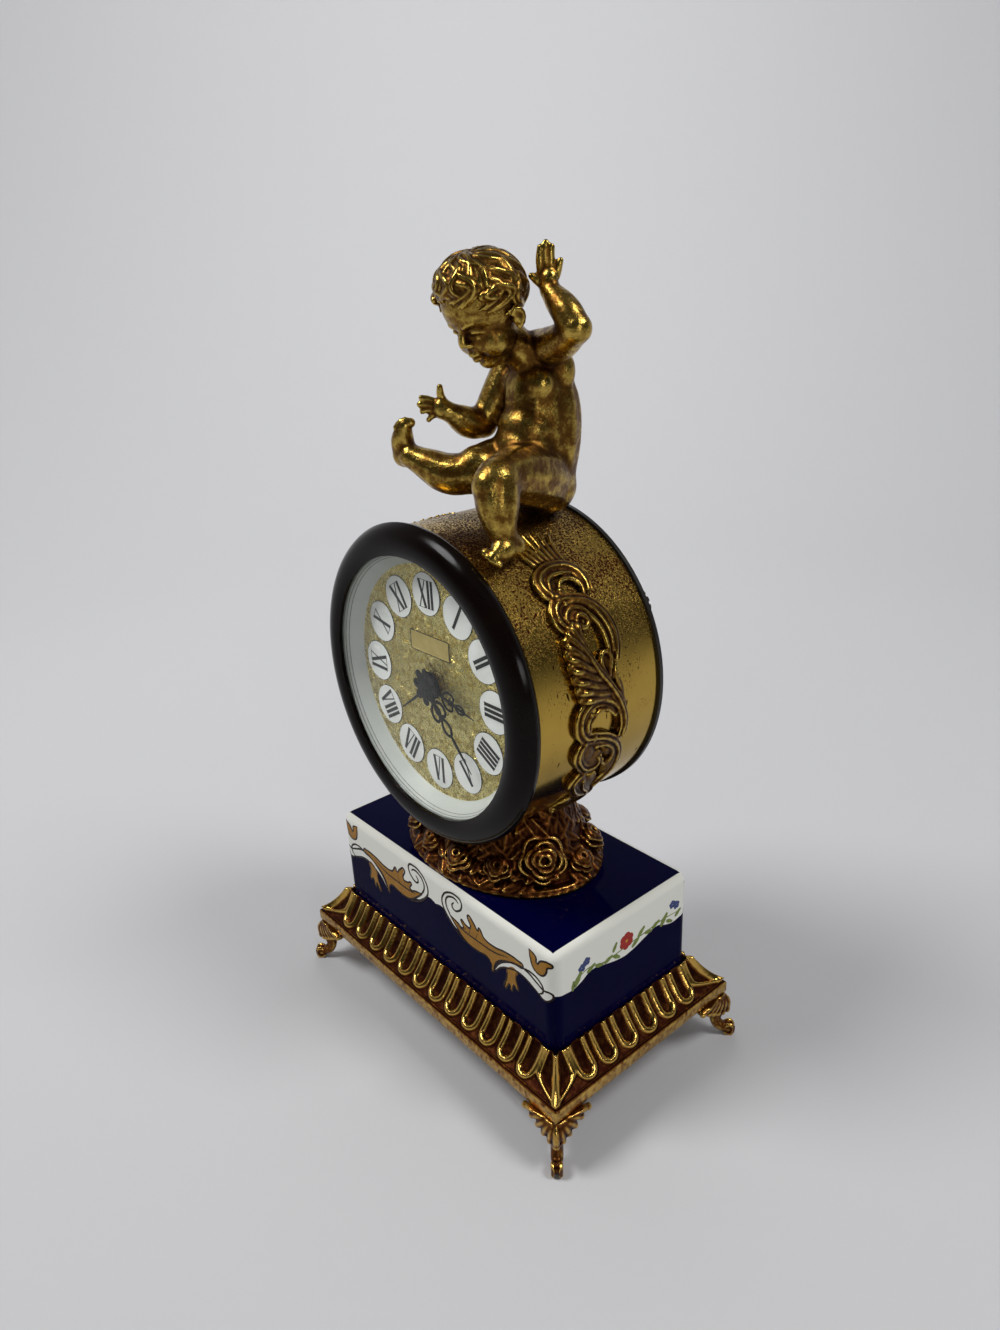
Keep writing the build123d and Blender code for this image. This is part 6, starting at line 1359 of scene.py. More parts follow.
@dataclass
class PaintedDecor:
    """Overglaze painting of the plinth: mirrored scroll leaves front and back, flower garlands on the sides."""

    half_length: float = 51.2
    half_width: float = 27.5
    corner: float = 3.5
    film: float = 0.05
    line: float = 0.34
    volute: tuple[Flat, ...] = (
        (13.8, 43.8), (8.6, 46.3), (5.2, 49.3), (3.5, 52.4), (4.4, 55.6), (7.2, 57.8), (10.4, 58.4), (12.8, 57.6),
        (13, 55.6),
        (11.3, 53.4), (9.2, 52.8), (8.4, 53.9), (9.4, 55.4),
    )
    volute_inner: tuple[Flat, ...] = (
        (12.4, 45.5), (9.2, 47.8), (6.9, 50.1), (5.4, 52.9), (5.9, 55.2), (7.7, 56.6), (10.2, 57), (11.6, 56.2),
    )
    leaf: tuple[Sequence[float], ...] = (
        (6.8, 49.8, 1), (10, 49.1), (13.3, 48.6), (12.4, 51, 1), (14.4, 50.3), (16.6, 50.4), (15.8, 54.4, 1),
        (18.4, 53),
        (20.2, 51.4), (20.6, 52.6, 1), (22.7, 50.4), (27, 49.9), (32, 50.9), (36.8, 51.2), (39.3, 50.5, 1),
        (35.4, 49.1),
        (31.1, 47.5), (28.1, 45.3), (26.7, 42.8), (25.9, 40.6, 1), (25.5, 43), (24.1, 44.4), (20.2, 44.1), (17.5, 43.9),
        (13.6, 44.6), (9.8, 47.2),
    )
    leaf_veins: tuple[tuple[Flat, ...], ...] = (
        ((10.4, 48), (14, 47.6), (20, 47.6), (27, 48), (33, 49.8)), ((13, 47.4), (14.6, 49.4)),
        ((15.6, 47.4), (17.2, 51.6)), ((18.6, 47.4), (20, 50.4)),
    )
    drop: tuple[Sequence[float], ...] = (
        (32.6, 45.9), (32.1, 42.1), (31.1, 38.2, 1), (32.6, 40), (33.2, 40.6, 1), (33.7, 38.7, 1), (34.7, 40.9),
        (35, 41.4, 1),
        (36.6, 40.6, 1), (36.1, 44), (36.4, 47.3),
    )
    tail_high: tuple[Flat, ...] = (
        (26.9, 41.9), (28.9, 45.1), (32.4, 47.8), (36.7, 49.6), (40.9, 49.7), (44.4, 48.4), (47.4, 47.4), (49.2, 47.6),
        (50.3, 46.6), (49.3, 44.9), (47.2, 44.2), (45.4, 45.1),
    )
    tail_low: tuple[Flat, ...] = ((27.1, 41.6), (29.7, 44.2), (32.9, 46.0), (36.6, 47.2), (40.1, 47.0), (42.9, 46.0),
                                  (45.4, 45.1))
    tail_fold: tuple[Flat, ...] = ((38.4, 49.8), (42.5, 50.4), (45.6, 49.6), (47.1, 47.9), (46.8, 46.3), (45.4, 45.1))
    bud: tuple[Sequence[float], ...] = (
        (42, 58, 1), (42.5, 55.1), (43.3, 52.9), (44.6, 52), (45.8, 51.8), (47.1, 52.2), (48.4, 53.9), (48.9, 55.6),
        (50.3, 56.2, 1), (49.1, 57.4), (47.7, 57.2), (46.1, 56.2), (45, 55), (44.6, 56.9),
    )
    red_flower: Flat = (0.6, 50.2)
    blue_flowers: tuple[Flat, ...] = ((-15.2, 52.2), (-17.0, 51.0), (20.2, 52.2), (22.0, 51.2))
    leaves: tuple[tuple[float, float, float, float], ...] = (
        (-18.6, 48.2, 4.6, 55), (-20.4, 47, 3, 80), (-13.6, 49, 3.4, 25), (-10.4, 48.2, 3.2, -20), (-6.8, 48, 3.4, 15),
        (-4.2, 50.6, 3, 60), (-3.6, 47.2, 3.2, -35), (4.2, 47.6, 3.4, 30), (6.6, 50, 3.6, 40), (9.6, 48.4, 3.2, -15),
        (12.8, 49.2, 3.4, 20), (16.4, 48.8, 4.4, 50), (18.8, 47.2, 3, -30), (22.6, 48.2, 3, 35),
    )
    stem: tuple[Flat, ...] = ((-21.0, 47.0), (-15.0, 49.6), (-8.0, 48.0), (0.0, 48.4), (8.0, 48.8), (15.0, 49.2),
                              (23.0, 48.6))

    def build(self) -> list[Object]:
        """Paints all four faces.

        Returns:
            One piece per colour.
        """
        long_faces = [self.face((side, 0, 0), self.half_width) for side in (1, -1)]
        short_faces = [self.face((0, side, 0), self.half_length) for side in (1, -1)]
        outlines = [self.leaf + self.leaf[:1], self.drop, self.bud + self.bud[:1], self.tail_low, self.tail_high,
                    self.tail_fold, self.volute, self.volute_inner, *self.leaf_veins]
        gold = [self.fill(shape, 1) for shape in (self.leaf, self.drop, self.bud)]
        blue = [self.flower(place, 1.5, 5, 1.5) for place in self.blue_flowers]
        plan = (
            ("painted_leaf", gold, PAINT_GOLD, long_faces, True),
            ("painted_scroll", [self.fill(self.tail_high + self.tail_low[-2::-1], 0.5)], PAINT_WHITE, long_faces, True),
            ("painted_outline", [self.ribbon(outlines, self.line, 2)], PAINT_LINE, long_faces, True),
            ("painted_stem", [self.ribbon([self.stem], 0.2, 1.0)], PAINT_GREEN, short_faces, False),
            ("painted_foliage", [self.leaf_shape(*leaf) for leaf in self.leaves], PAINT_GREEN, short_faces, False),
            ("painted_rose", [self.flower(self.red_flower, 3.0, 6, 1.5)], PAINT_RED, short_faces, False),
            ("painted_rose_heart", [self.flower(self.red_flower, 0.6, 3, 2.6)], PAINT_YELLOW, short_faces, False),
            ("painted_forget_me_not", blue, PAINT_BLUE, short_faces, False),
        )
        return [self.paint(*row) for row in plan]

    def face(self, right: Point, reach: float) -> Matrix:
        """Transform from a drawing in the XY plane to a face of the plinth.

        Args:
            right: Direction of the drawing's X.
            reach: Distance of the face from the middle.

        Returns:
            The transform, in metres.
        """
        across = Vector(right)
        out = across.cross(Vector((0, 0, 1)))
        turn = Matrix((across, Vector((0, 0, 1)), out)).transposed().to_4x4()
        return Matrix.Translation(out * reach * MM) @ turn

    def fill(self, outline: Sequence[Flat], layer: float) -> Mesh:
        """Flat patch of colour inside an outline, on a layer of the paint; a third value marks a sharp point."""
        curve = bpy.data.curves.new("patch", "CURVE")
        curve.dimensions = "2D"
        curve.fill_mode = "BOTH"
        curve.extrude = self.film * layer * MM
        spline = curve.splines.new("BEZIER")
        spline.bezier_points.add(len(outline) - 1)
        spline.use_cyclic_u = True
        for _ in range(2):
            for knot, place in zip(spline.bezier_points, outline):
                knot.handle_left_type = knot.handle_right_type = "VECTOR" if len(place) > 2 else "AUTO"
                knot.co = (place[0] * MM, place[1] * MM, 0.0)
        return melted_copy(curve)

    def ribbon(self, lines: Sequence[Sequence[Flat]], radius: float, layer: float) -> Mesh:
        """Brush lines, flattened onto a layer of the paint."""
        wax = Wax()
        for points in lines:
            count = len(points)
            radii = [radius * (0.6 if index in (0, count - 1) else 1.0) for index in range(count)]
            wax.strand([(place[0], place[1], 0.0) for place in points], radii)
        mesh = wax.plain()
        mesh.transform(Matrix.Diagonal((1, 1, self.film * layer / radius, 1)))
        return mesh

    def leaf_shape(self, x: float, y: float, size: float, angle: float) -> Mesh:
        """Pointed leaf dab at a place, size and angle."""
        turn = math.radians(angle)
        shape = ((-0.5, 0), (-0.15, 0.2), (0.2, 0.17), (0.55, 0.02), (0.15, -0.16), (-0.2, -0.18))
        return self.fill([(x + size * (a * math.cos(turn) - b * math.sin(turn)),
                           y + size * (a * math.sin(turn) + b * math.cos(turn))) for a, b in shape], 1.6)

    def flower(self, centre: Flat, size: float, petals: int, layer: float) -> Mesh:
        """Ring of petal dabs at a place."""
        bm = bmesh.new()
        for petal in range(petals):
            turn = 2 * math.pi * petal / petals + 0.4
            place = Vector((centre[0] + size * 0.5 * math.cos(turn), centre[1] + size * 0.5 * math.sin(turn), 0)) * MM
            flat = Matrix.Diagonal((size * 0.46 * MM, size * 0.46 * MM, self.film * layer * MM, 1))
            bmesh.ops.create_icosphere(bm, subdivisions=3, radius=1.0, matrix=Matrix.Translation(place) @ flat)
        return mesh_from(bm)

    def paint(self, name: str, drawings: Sequence[Mesh], finish: Finish, faces: Sequence[Matrix],
              mirrored: bool) -> Object:
        """Lays drawings on faces of the plinth as one piece.

        Args:
            name: Piece name.
            drawings: Meshes in the XY plane.
            finish: Colour.
            faces: Transforms of the faces.
            mirrored: Whether the drawing is repeated as its mirror image.

        Returns:
            The piece.
        """
        bm = bmesh.new()
        for drawing in drawings:
            bm.from_mesh(drawing)
        if mirrored:
            bmesh.ops.mirror(bm, geom=bm.verts[:] + bm.edges[:] + bm.faces[:], matrix=Matrix.Identity(4),
                             merge_dist=0.0, axis="X")
        for step in range(-14, 15) if mirrored else ():
            middle = math.copysign(self.half_length - self.corner + 0.25 * abs(step), step) * MM
            bmesh.ops.bisect_plane(bm, geom=bm.verts[:] + bm.edges[:] + bm.faces[:], plane_co=(middle, 0, 0),
                                   plane_no=(1, 0, 0))
        for vert in bm.verts:
            over = abs(vert.co.x) - (self.half_length - self.corner) * MM
            if over > 0 and mirrored:
                turn = over / (self.corner * MM)
                reach = self.corner * MM + vert.co.z
                vert.co.x = math.copysign((self.half_length - self.corner) * MM + reach * math.sin(turn), vert.co.x)
                vert.co.z = reach * math.cos(turn) - self.corner * MM
        bmesh.ops.recalc_face_normals(bm, faces=bm.faces[:])
        flat = mesh_from(bm)
        whole = bmesh.new()
        for matrix in faces:
            placed = flat.copy()
            placed.transform(matrix)
            whole.from_mesh(placed)
        return place_piece(name, mesh_from(whole), finish, crease=40)


# Dial figures, plate and hands


@dataclass
class DialFigures:
    """Roman hour figures on the plaques, the bare gold plate under twelve, and the ornate hands."""

    circle: float = 26.1
    plaque_face: float = -21.62
    foil_face: float = -21.42
    tall: float = 7.8
    thick: float = 1.0
    thin: float = 0.36
    film: float = 0.05
    gap: float = 0.5
    numerals: tuple[str, ...] = ("I", "II", "III", "IIII", "V", "VI", "VII", "VIII", "IX", "X", "XI", "XII")
    turned_in: tuple[int, ...] = (4, 5, 6, 7, 8)
    plate_size: Flat = (17.0, 5.6)
    plate_height: float = 131.6
    plaque_radius: float = 5.9
    hand_thick: float = 0.4
    collar_radius: float = 3.4

    def build(self) -> list[Object]:
        """Builds the figures, the plaques' rings, the plate and the hands.

        Returns:
            The pieces.
        """
        return [self.figures(), self.rings(), self.plate(), self.minute_hand(), self.hour_hand(), self.alarm_hand()]

    def standing(self, angle: float, radius: float, depth: float, flip: bool = False) -> Matrix:
        """Transform from a drawing in the XY plane to a place on the dial.

        Args:
            angle: Clockwise from the top in degrees.
            radius: Distance from the dial's middle.
            depth: Y of the drawing's plane.
            flip: Whether its top points to the middle.

        Returns:
            The transform, in metres.
        """
        turn = math.radians(angle)
        along = Vector((math.sin(turn), 0, math.cos(turn)))
        place = Vector((0, depth, DRUM_AXIS_Z)) + along * radius
        up = -along if flip else along
        out = Vector((0, -1, 0))
        return Matrix.Translation(place * MM) @ Matrix((up.cross(out), up, out)).transposed().to_4x4()

    def bar(self, bm: BMesh, matrix: Matrix, start: Flat, end: Flat, width: float) -> None:
        """Adds one pen stroke between two places of a drawing."""
        along = Vector((*end, 0)) - Vector((*start, 0))
        middle = (Vector((*end, 0)) + Vector((*start, 0))) / 2
        turn = Matrix.Rotation(math.atan2(along.y, along.x) - math.pi / 2, 4, "Z")
        size = Matrix.Diagonal((width * MM, along.length * MM, 2 * self.film * MM, 1))
        made = bmesh.ops.create_cube(bm, size=1.0, matrix=matrix @ Matrix.Translation(middle * MM) @ turn @ size)
        edges = {edge for vert in made["verts"] for edge in vert.link_edges}
        bmesh.ops.bevel(bm, geom=list(edges), offset=0.02 * MM, segments=1, profile=0.5, affect="EDGES", material=-1)

    def letter_width(self, letter: str) -> float:
        """Width of a figure's letter."""
        return {"I": self.thick, "V": 3.1, "X": 3.3}[letter]

    def figures(self) -> Object:
        """Draws the twelve hour figures with thick and thin strokes and fine serifs."""
        bm = bmesh.new()
        half = self.tall / 2
        for hour, text in enumerate(self.numerals, start=1):
            matrix = self.standing(30 * hour, self.circle, self.plaque_face, hour in self.turned_in)
            width = sum(self.letter_width(letter) for letter in text) + self.gap * (len(text) - 1)
            tall = half * (0.86 if width > 6.6 else 1.0)
            left = -width / 2
            for letter in text:
                wide = self.letter_width(letter)
                right, middle = left + wide, left + wide / 2
                if letter == "I":
                    self.bar(bm, matrix, (middle, -tall), (middle, tall), self.thick)
                elif letter == "V":
                    self.bar(bm, matrix, (left + 0.3, tall), (middle, -tall), self.thick)
                    self.bar(bm, matrix, (right - 0.2, tall), (middle, -tall), self.thin)
                else:
                    self.bar(bm, matrix, (left + 0.3, tall), (right - 0.3, -tall), self.thick)
                    self.bar(bm, matrix, (right - 0.3, tall), (left + 0.3, -tall), self.thin)
                for height in ((tall,) if letter == "V" else (tall, -tall)):
                    self.bar(bm, matrix, (left - 0.14, height), (right + 0.14, height), 0.14)
                left = right + self.gap
        return place_piece("hour_figures", mesh_from(bm), INK, crease=30)

    def rings(self) -> Object:
        """Draws the thin dark outlines of the plaques and of the bare plate."""
        bm = bmesh.new()
        for hour in range(12):
            matrix = self.standing(30 * hour, self.circle, self.foil_face - 0.1)
            ring = bmesh.ops.create_circle(bm, segments=64, radius=(self.plaque_radius + 0.02) * MM,
                                           matrix=matrix)["verts"]
            edges = list({edge for vert in ring for edge in vert.link_edges})
            outer = bmesh.ops.extrude_edge_only(bm, edges=edges)["geom"]
            verts = [part for part in outer if isinstance(part, BMVert)]
            centre = matrix.translation
            for vert in verts:
                vert.co = centre + (vert.co - centre) * ((self.plaque_radius + 0.2) / (self.plaque_radius + 0.02))
        bmesh.ops.recalc_face_normals(bm, faces=bm.faces[:])
        bmesh.ops.solidify(bm, geom=bm.faces[:], thickness=0.08 * MM)
        bmesh.ops.recalc_face_normals(bm, faces=bm.faces[:])
        half_x, half_y = (size / 2 for size in self.plate_size)
        matrix = self.standing(0.0, self.plate_height - DRUM_AXIS_Z, self.foil_face - 0.24)
        corners = ((-half_x, -half_y), (half_x, -half_y), (half_x, half_y), (-half_x, half_y))
        for start, end in zip(corners, corners[1:] + corners[:1]):
            self.bar(bm, matrix, start, end, 0.26)
        return place_piece("dial_outlines", mesh_from(bm), INK, crease=40)

    def plate(self) -> Object:
        """Builds the small bare plate with its raised border."""
        bm = bmesh.new()
        matrix = Matrix.Translation(Vector((0, self.foil_face - 0.12, self.plate_height)) * MM)
        size = Matrix.Diagonal((self.plate_size[0] * MM, 0.24 * MM, self.plate_size[1] * MM, 1))
        bmesh.ops.create_cube(bm, size=1.0, matrix=matrix @ size)
        front = [face for face in bm.faces if face.normal.y < -0.9]
        bmesh.ops.inset_region(bm, faces=front, thickness=0.35 * MM, depth=0.0)
        bmesh.ops.inset_region(bm, faces=front, thickness=0.12 * MM, depth=-0.1 * MM)
        bmesh.ops.bevel(bm, geom=bm.edges[:], offset=0.03 * MM, segments=2, profile=0.5, affect="EDGES", material=-1)
        return place_piece("bare_dial_plate", mesh_from(bm), PLATE_GOLD, crease=30)

    def hand(self, name: str, lines: Sequence[Stroke], discs: Sequence[Point], angle: float, depth: float, body: Body,
             node: str) -> Object:
        """Builds a flat hand from strokes and discs.

        Args:
            name: Piece name.
            lines: Paths in the hand's plane, pointing up, with radii.
            discs: Discs as place across, place along and radius.
            angle: Clockwise from twelve in degrees.
            depth: Y of its middle plane.
            body: Body that turns it.
            node: CAD hand that it stands for.

        Returns:
            The piece.
        """
        matrix = self.standing(angle, 0.0, depth)
        thick, boss = self.hand_thick, self.collar_radius
        whole = bmesh.new()
        for points, radii in lines:
            wax = Wax()
            wax.strand([(x, y, 0.0) for x, y in points], radii, closed=points[0] == points[-1])
            mesh = wax.plain()
            mesh.transform(matrix @ Matrix.Diagonal((1, 1, thick / 2 / max(radii), 1)))
            whole.from_mesh(mesh)
        for x, y, radius in discs:
            size = Matrix.Diagonal((radius * MM, radius * MM, thick / 2 * MM, 1))
            bmesh.ops.create_uvsphere(whole, u_segments=24, v_segments=12, radius=1.0,
                                      matrix=matrix @ Matrix.Translation(Vector((x, y, 0)) * MM) @ size)
        collar = ((1.4, 0.0), (boss, 0.0), (boss, -0.42), (boss - 0.14, -0.56), (1.4, -0.56))
        verts = [whole.verts.new(matrix @ (Vector((x, 0, z)) * MM)) for x, z in collar]
        edges = [whole.edges.new(pair) for pair in zip(verts, verts[1:] + verts[:1])]
        bmesh.ops.spin(whole, geom=verts + edges, cent=matrix.translation, axis=(0, 1, 0), angle=2 * math.pi, steps=40,
                       use_merge=True)
        bmesh.ops.recalc_face_normals(whole, faces=whole.faces[:])
        return place_piece(name, mesh_from(whole), FINISHES[Slot.HAND], body, [node], crease=60)

    def loop(self, x: float, y: float, wide: float, tall: float, lean: float = 0.0) -> tuple[Flat, ...]:
        """Drop-shaped loop standing on a place."""
        shape = ((0, 0), (-0.5, 0.45), (-0.42, 0.8), (0, 1.0), (0.42, 0.8), (0.5, 0.45))
        turn = math.radians(lean)
        return tuple((x + wide * a * math.cos(turn) + tall * b * math.sin(turn),
                      y - wide * a * math.sin(turn) + tall * b * math.cos(turn)) for a, b in shape) + ((x, y),)

    def minute_hand(self) -> Object:
        """Minute hand: lobed rosette, two loops side by side, a lens and a fine point."""
        lines: list[Stroke] = [
            (self.loop(0, 4.6, 3.4, 5.6, -24), (0.52,) * 7), (self.loop(0, 4.6, 3.4, 5.6, 24), (0.52,) * 7),
            (self.loop(0, 9.6, 3.0, 5.6), (0.52,) * 7), (((0, 2.0), (0, 9.8)), (0.5, 0.42)),
            (((0, 15), (0, 19), (0, 27)), (0.6, 0.62, 0.2)),
        ]
        discs = [(0, 0, 4.2)] + [(4.2 * math.cos(a), 4.2 * math.sin(a),
                                  1.4) for a in (i * math.pi / 4 for i in range(8))]
        return self.hand("minute_hand_ornate", lines, discs, 138.0, -24.1, Body.MINUTE, "minute_hand")

    def hour_hand(self) -> Object:
        """Hour hand: slender stem with a pair of curls and a spade point."""
        curl = ((0.2, 6.0), (1.9, 7.4), (2.6, 9.6), (1.6, 11.0), (0.5, 10.2), (1.0, 9.0))
        lines: list[Stroke] = [
            (((0, 0.5), (0, 8), (0, 14), (0, 20)), (0.62, 0.5, 0.5, 0.18)),
            *((tuple((side * x, y) for x, y in curl), (0.4, 0.42, 0.4, 0.36, 0.32, 0.26)) for side in (1, -1)),
            (self.loop(0, 11.6, 2.2, 4.2), (0.36,) * 7),
        ]
        return self.hand("hour_hand_ornate", lines, [(0, 0, 4.0)], 101.5, -23.2, Body.HOUR, "hour_hand")

    def alarm_hand(self) -> Object:
        """Alarm hand: plain fine needle on a round boss."""
        lines: list[Stroke] = [(((0, 0.5), (0, 9.0), (0, 18.6)), (0.55, 0.45, 0.2))]
        return self.hand("alarm_hand_needle", lines, [(0, 0, 4.0)], 233.0, -22.3, Body.ALARM, "alarm_hand")


# Glass over the dial


@dataclass
class DomedGlass:
    """Domed clock glass with a flat rim behind the bezel's lip, and thin dark rings on the ring under it that are a
    painted reflection of the glass's edge.
    """

    rim: float = 38.3
    dome: float = 37.3
    sag: float = 2.2
    front: float = -27.4
    thick: float = 1.3
    rings: int = 28
    ring_inner: Flat = (34.0, -21.4)
    ring_outer: Flat = (37.4, -26.1)
    line_shares: tuple[float, ...] = (0.74, 0.9)

    def build(self) -> list[Object]:
        """Turns the glass and the ring's painted reflection lines.

        Returns:
            The glass and the painted reflection lines.
        """
        ball = (self.dome ** 2 + self.sag ** 2) / (2 * self.sag)
        outer = []
        for step in range(self.rings):
            reach = self.dome * step / (self.rings - 1)
            outer.append((reach, self.front - math.sqrt(ball ** 2 - reach ** 2) + ball - self.sag))
        inner = [(reach, depth + self.thick) for reach, depth in reversed(outer)]
        profile = outer + [(self.rim, self.front), (self.rim, self.front + self.thick)] + inner
        bm = bmesh.new()
        self.turn(bm, profile, False)
        glass = place_piece("domed_glass", mesh_from(bm), FINISHES[Slot.CRYSTAL], stands_for=["crystal"],
                            crease=30)
        # Thin dark raised rings on the dial ring: a painted reflection of the glass's edge.
        bm = bmesh.new()
        slope = (Vector(self.ring_outer) - Vector(self.ring_inner)).normalized()
        for share in self.line_shares:
            middle = Vector(self.ring_inner).lerp(Vector(self.ring_outer), share)
            side = Vector((slope.y, -slope.x))
            self.turn(bm, [middle + slope * a + side * b for a, b in ((-0.2, -0.03), (0.0, 0.05), (0.2, -0.03))], True)
        lines = place_piece("painted_reflection_rings", mesh_from(bm), PAINTED_RING_REFLECTION, crease=60)
        return [glass, lines]

    def turn(self, bm: BMesh, profile: Sequence[Sequence[float]], closed: bool) -> None:
        """Spins a profile of distance and depth about the dial's axis.

        Args:
            bm: Mesh that takes it.
            profile: Places as distance from the axis and Y.
            closed: Whether the profile runs back to its start.
        """
        verts = [bm.verts.new(Vector((reach, depth, DRUM_AXIS_Z)) * MM) for reach, depth in profile]
        pairs = list(zip(verts, verts[1:])) + ([(verts[-1], verts[0])] if closed else [])
        edges = [bm.edges.new(pair) for pair in pairs]
        bmesh.ops.spin(bm, geom=verts + edges, cent=(0, 0, DRUM_AXIS_Z * MM), axis=(0, 1, 0), angle=2 * math.pi,
                       steps=128,
                       use_merge=True)
        bmesh.ops.remove_doubles(bm, verts=bm.verts[:], dist=1e-6)
        bmesh.ops.recalc_face_normals(bm, faces=bm.faces[:])


# Back of the clock


@dataclass
class BackMarks:
    """Black back cover's pressed beads and the gilt direction arrows round its keys and knobs."""

    face: float = 21.7
    film: float = 0.05
    line: float = 0.3
    beads: tuple[Flat, ...] = ((42.6, 0.5), (41.2, 0.35))
    arcs: tuple[tuple[float, float, float, float, float], ...] = (
        (-14.74, 109.68, 9.6, 200, 320), (16.38, 108.53, 9.6, 220, 340), (0, 120, 8, 50, 130),
        (26.4, 135.25, 8.6, 60, 150),
    )

    def build(self) -> list[Object]:
        """Presses the beads and draws an arc with an arrow head for each key and knob.

        Returns:
            The beads and the arrows.
        """
        rims = Wax()
        for radius, thick in self.beads:
            turns = [2 * math.pi * step / 64 for step in range(64)]
            rims.strand([(radius * math.cos(a), self.face, DRUM_AXIS_Z + radius * math.sin(a)) for a in turns],
                        (thick,) * 64,
                        closed=True)
        beads = place_piece("back_cover_beads", rims.plain(), FINISHES[Slot.LACQUER])
        wax = Wax()
        for x, z, radius, start, end in self.arcs:
            turns = [math.radians(start + (end - start) * step / 6) for step in range(7)]
            wax.strand([(x + radius * math.cos(a), z + radius * math.sin(a), 0) for a in turns], (self.line,) * 7)
            tip = turns[-1]
            for spread in (-1.0, 1.0):
                back = tip - 0.2
                wax.strand([(x + radius * math.cos(tip), z + radius * math.sin(tip), 0),
                            (x + (radius + 1.1 * spread) * math.cos(back), z + (radius + 1.1 * spread) * math.sin(back),
                             0)],
                           (self.line, self.line * 0.8))
        mesh = wax.plain()
        mesh.transform(Matrix.Diagonal((1, 1, self.film / self.line, 1)))
        mesh.transform(Matrix(((1, 0, 0, 0), (0, 0, 1, self.face * MM), (0, 1, 0, 0), (0, 0, 0, 1))))
        mesh.flip_normals()
        return [beads, place_piece("winding_arrows", mesh, PLATE_GOLD, crease=60)]


# CAD nodes that stay


def dress_frame() -> None:
    """Gives every CAD node its own finish or that of its material slot."""
    for part in frame["record"]["subparts"]:
        node = frame["nodes"][part["node"]]
        finish = NODE_FINISHES.get(part["node"], FINISHES[Slot(part["material_slot"])])
        node.data.materials.clear()
        node.data.materials.append(finish.material())
        LOG.info("%s: %s", part["node"], part["material_slot"])


# Studio


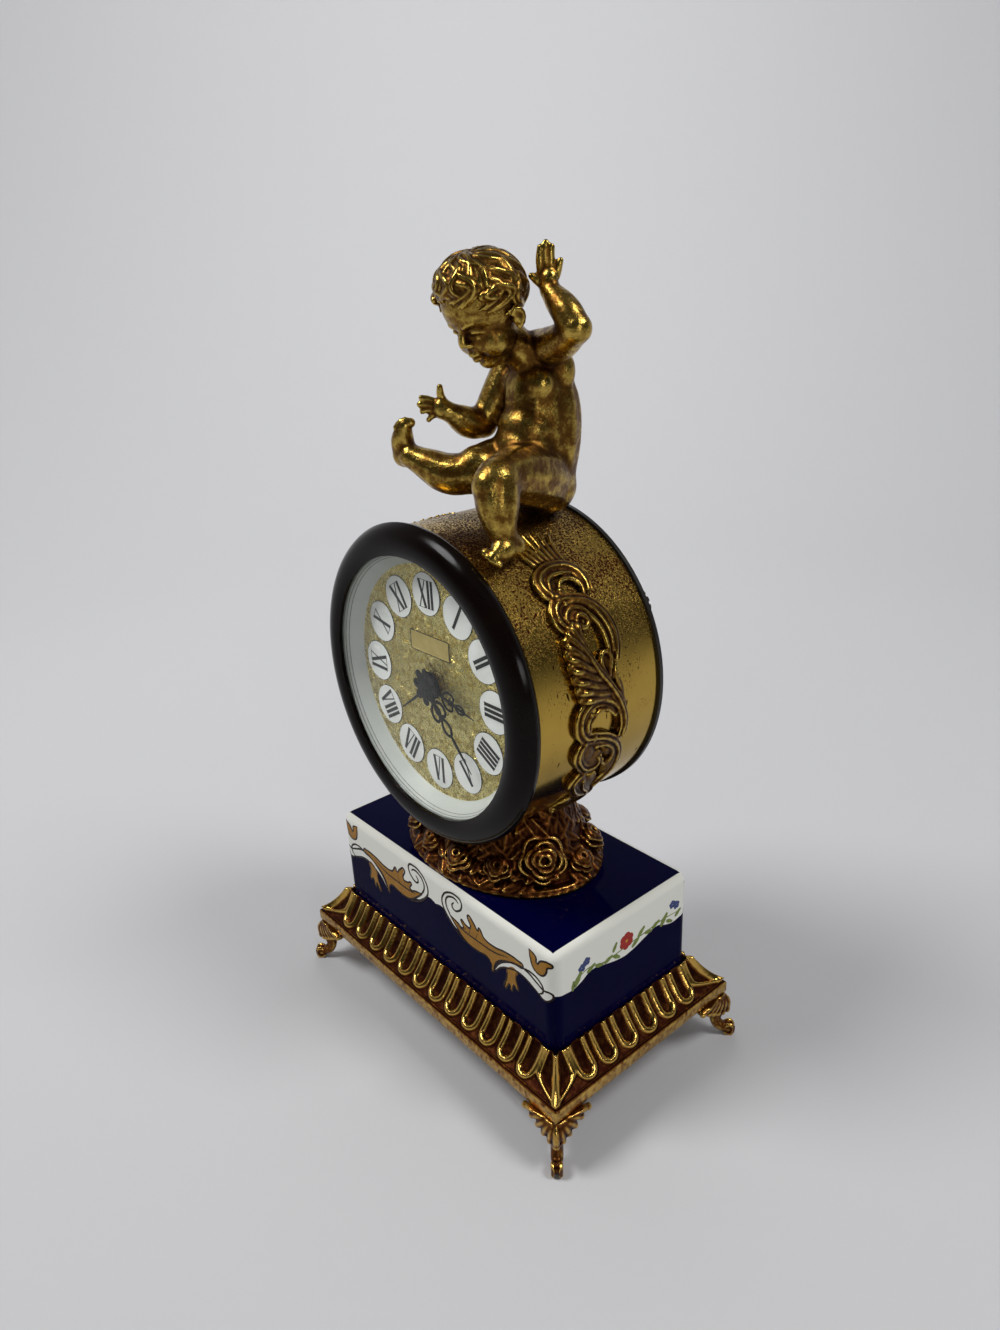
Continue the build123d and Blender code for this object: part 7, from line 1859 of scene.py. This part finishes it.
@dataclass
class Studio:
    """Pale floor that curves up into a wall all round, soft lamps and the photograph's camera."""

    floor: str = "#C9C9CB"
    floor_radius: float = 0.55
    curve_radius: float = 0.7
    wall_top: float = 1.6
    camera_place: Point = (0.19422, -0.15812, 0.22237)
    camera_right: Point = (0.65080, 0.75779, -0.04699)
    camera_down: Point = (0.26134, -0.28169, -0.92323)
    camera_ahead: Point = (-0.71285, 0.58856, -0.38137)
    lens: float = 25.353
    sky: str = "#DDE0E4"
    sky_strength: float = 0.17
    curtain_height: float = 0.5
    # Lamp place, aim, size and power in watts.
    lamps: tuple[tuple[Point, Point, float, float], ...] = (
        ((-0.35, -0.5, 0.95), (0, 0, 0.12), 0.4, 6.6),
        ((0.55, 0.25, 0.9), (0, 0, 0.12), 0.35, 4.4),
        ((0.75, -0.35, 0.35), (0, 0, 0.12), 0.2, 0.7),
        ((-0.35, 0.3, 0.9), (-1, 0.8, 0.35), 0.3, 4.4),
    )

    def build(self) -> None:
        """Builds the floor, the lamps, the sky and the camera."""
        self.backdrop()
        for place, aim, size, power in self.lamps:
            data = bpy.data.lights.new("softbox", "AREA")
            data.shape = "DISK"
            data.size = size
            data.energy = power
            lamp = bpy.data.objects.new("softbox", data)
            lamp.location = place
            lamp.rotation_mode = "QUATERNION"
            lamp.rotation_quaternion = (Vector(aim) - Vector(place)).to_track_quat("-Z", "Y")
            bpy.context.scene.collection.objects.link(lamp)
        self.heaven()
        self.camera()

    def backdrop(self) -> None:
        """Spins floor and wall round the clock and marks the camera's side for the dark curtain."""
        bm = bmesh.new()
        places = [(self.floor_radius * share, 0.0) for share in (0.0, 0.3, 0.6, 1.0)]
        for step in range(1, 17):
            turn = step / 16 * math.pi / 2
            places.append((self.floor_radius + self.curve_radius * math.sin(turn),
                           self.curve_radius * (1 - math.cos(turn))))
        places.append((self.floor_radius + self.curve_radius, self.wall_top))
        verts = [bm.verts.new((x, 0.0, z)) for x, z in places]
        edges = [bm.edges.new(pair) for pair in zip(verts, verts[1:])]
        bmesh.ops.spin(bm, geom=verts + edges, cent=(0, 0, 0), axis=(0, 0, 1), angle=2 * math.pi, steps=96,
                       use_merge=True)
        bmesh.ops.remove_doubles(bm, verts=bm.verts[:], dist=1e-5)
        ahead = Vector(self.camera_ahead[:2]).normalized()
        dark = bm.verts.layers.float.new("curtain")
        for vert in bm.verts:
            share = min(max(0.7 - vert.co.xy.normalized().dot(ahead) * 2.0, 0.0), 1.0) if vert.co.z > 0.0 else 0.0
            rise = min(vert.co.z / self.curtain_height, 1.0)
            vert[dark] = share * share * (3 - 2 * share) * rise * (2 - rise)
        bmesh.ops.recalc_face_normals(bm, faces=bm.faces[:])
        bmesh.ops.reverse_faces(bm, faces=bm.faces[:])
        mesh = mesh_from(bm)
        mesh.materials.append(Curtain("painted_backdrop", self.floor).material())
        mesh.shade_smooth()
        floor = bpy.data.objects.new("backdrop", mesh)
        bpy.context.scene.collection.objects.link(floor)

    def heaven(self) -> None:
        """Lights the room softly from its open top."""
        world = bpy.data.worlds.new("studio_sky")
        world.use_nodes = True
        tree = world.node_tree
        tree.nodes.clear()
        light = add(tree, "Background", {"Color": linear(self.sky), "Strength": self.sky_strength})
        add(tree, "OutputWorld", {"Surface": light.outputs[0]})
        bpy.context.scene.world = world
        bpy.context.scene.view_settings.view_transform = "Standard"

    def camera(self) -> None:
        """Stands the camera where the photograph was taken from."""
        data = bpy.data.cameras.new("camera")
        data.sensor_width = 36.0
        data.lens = self.lens
        data.clip_start, data.clip_end = 0.01, 20.0
        camera = bpy.data.objects.new("camera", data)
        turn = Matrix((Vector(self.camera_right), -Vector(self.camera_down), -Vector(self.camera_ahead))).transposed()
        camera.matrix_world = Matrix.Translation(self.camera_place) @ turn.to_4x4()
        bpy.context.scene.collection.objects.link(camera)
        bpy.context.scene.camera = camera


def main() -> None:
    """Builds the clock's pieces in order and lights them."""
    logging.basicConfig(level=logging.INFO, format="%(message)s")
    dress_frame()
    for assembly in (FlutedBase(), ScrollFeet(), RoseMound(), ScrollMounts(), Putto(), PaintedDecor(), DialFigures(),
                     DomedGlass(),
                     BackMarks()):
        assembly.build()
    Studio().build()


if __name__ == "__main__":
    main()
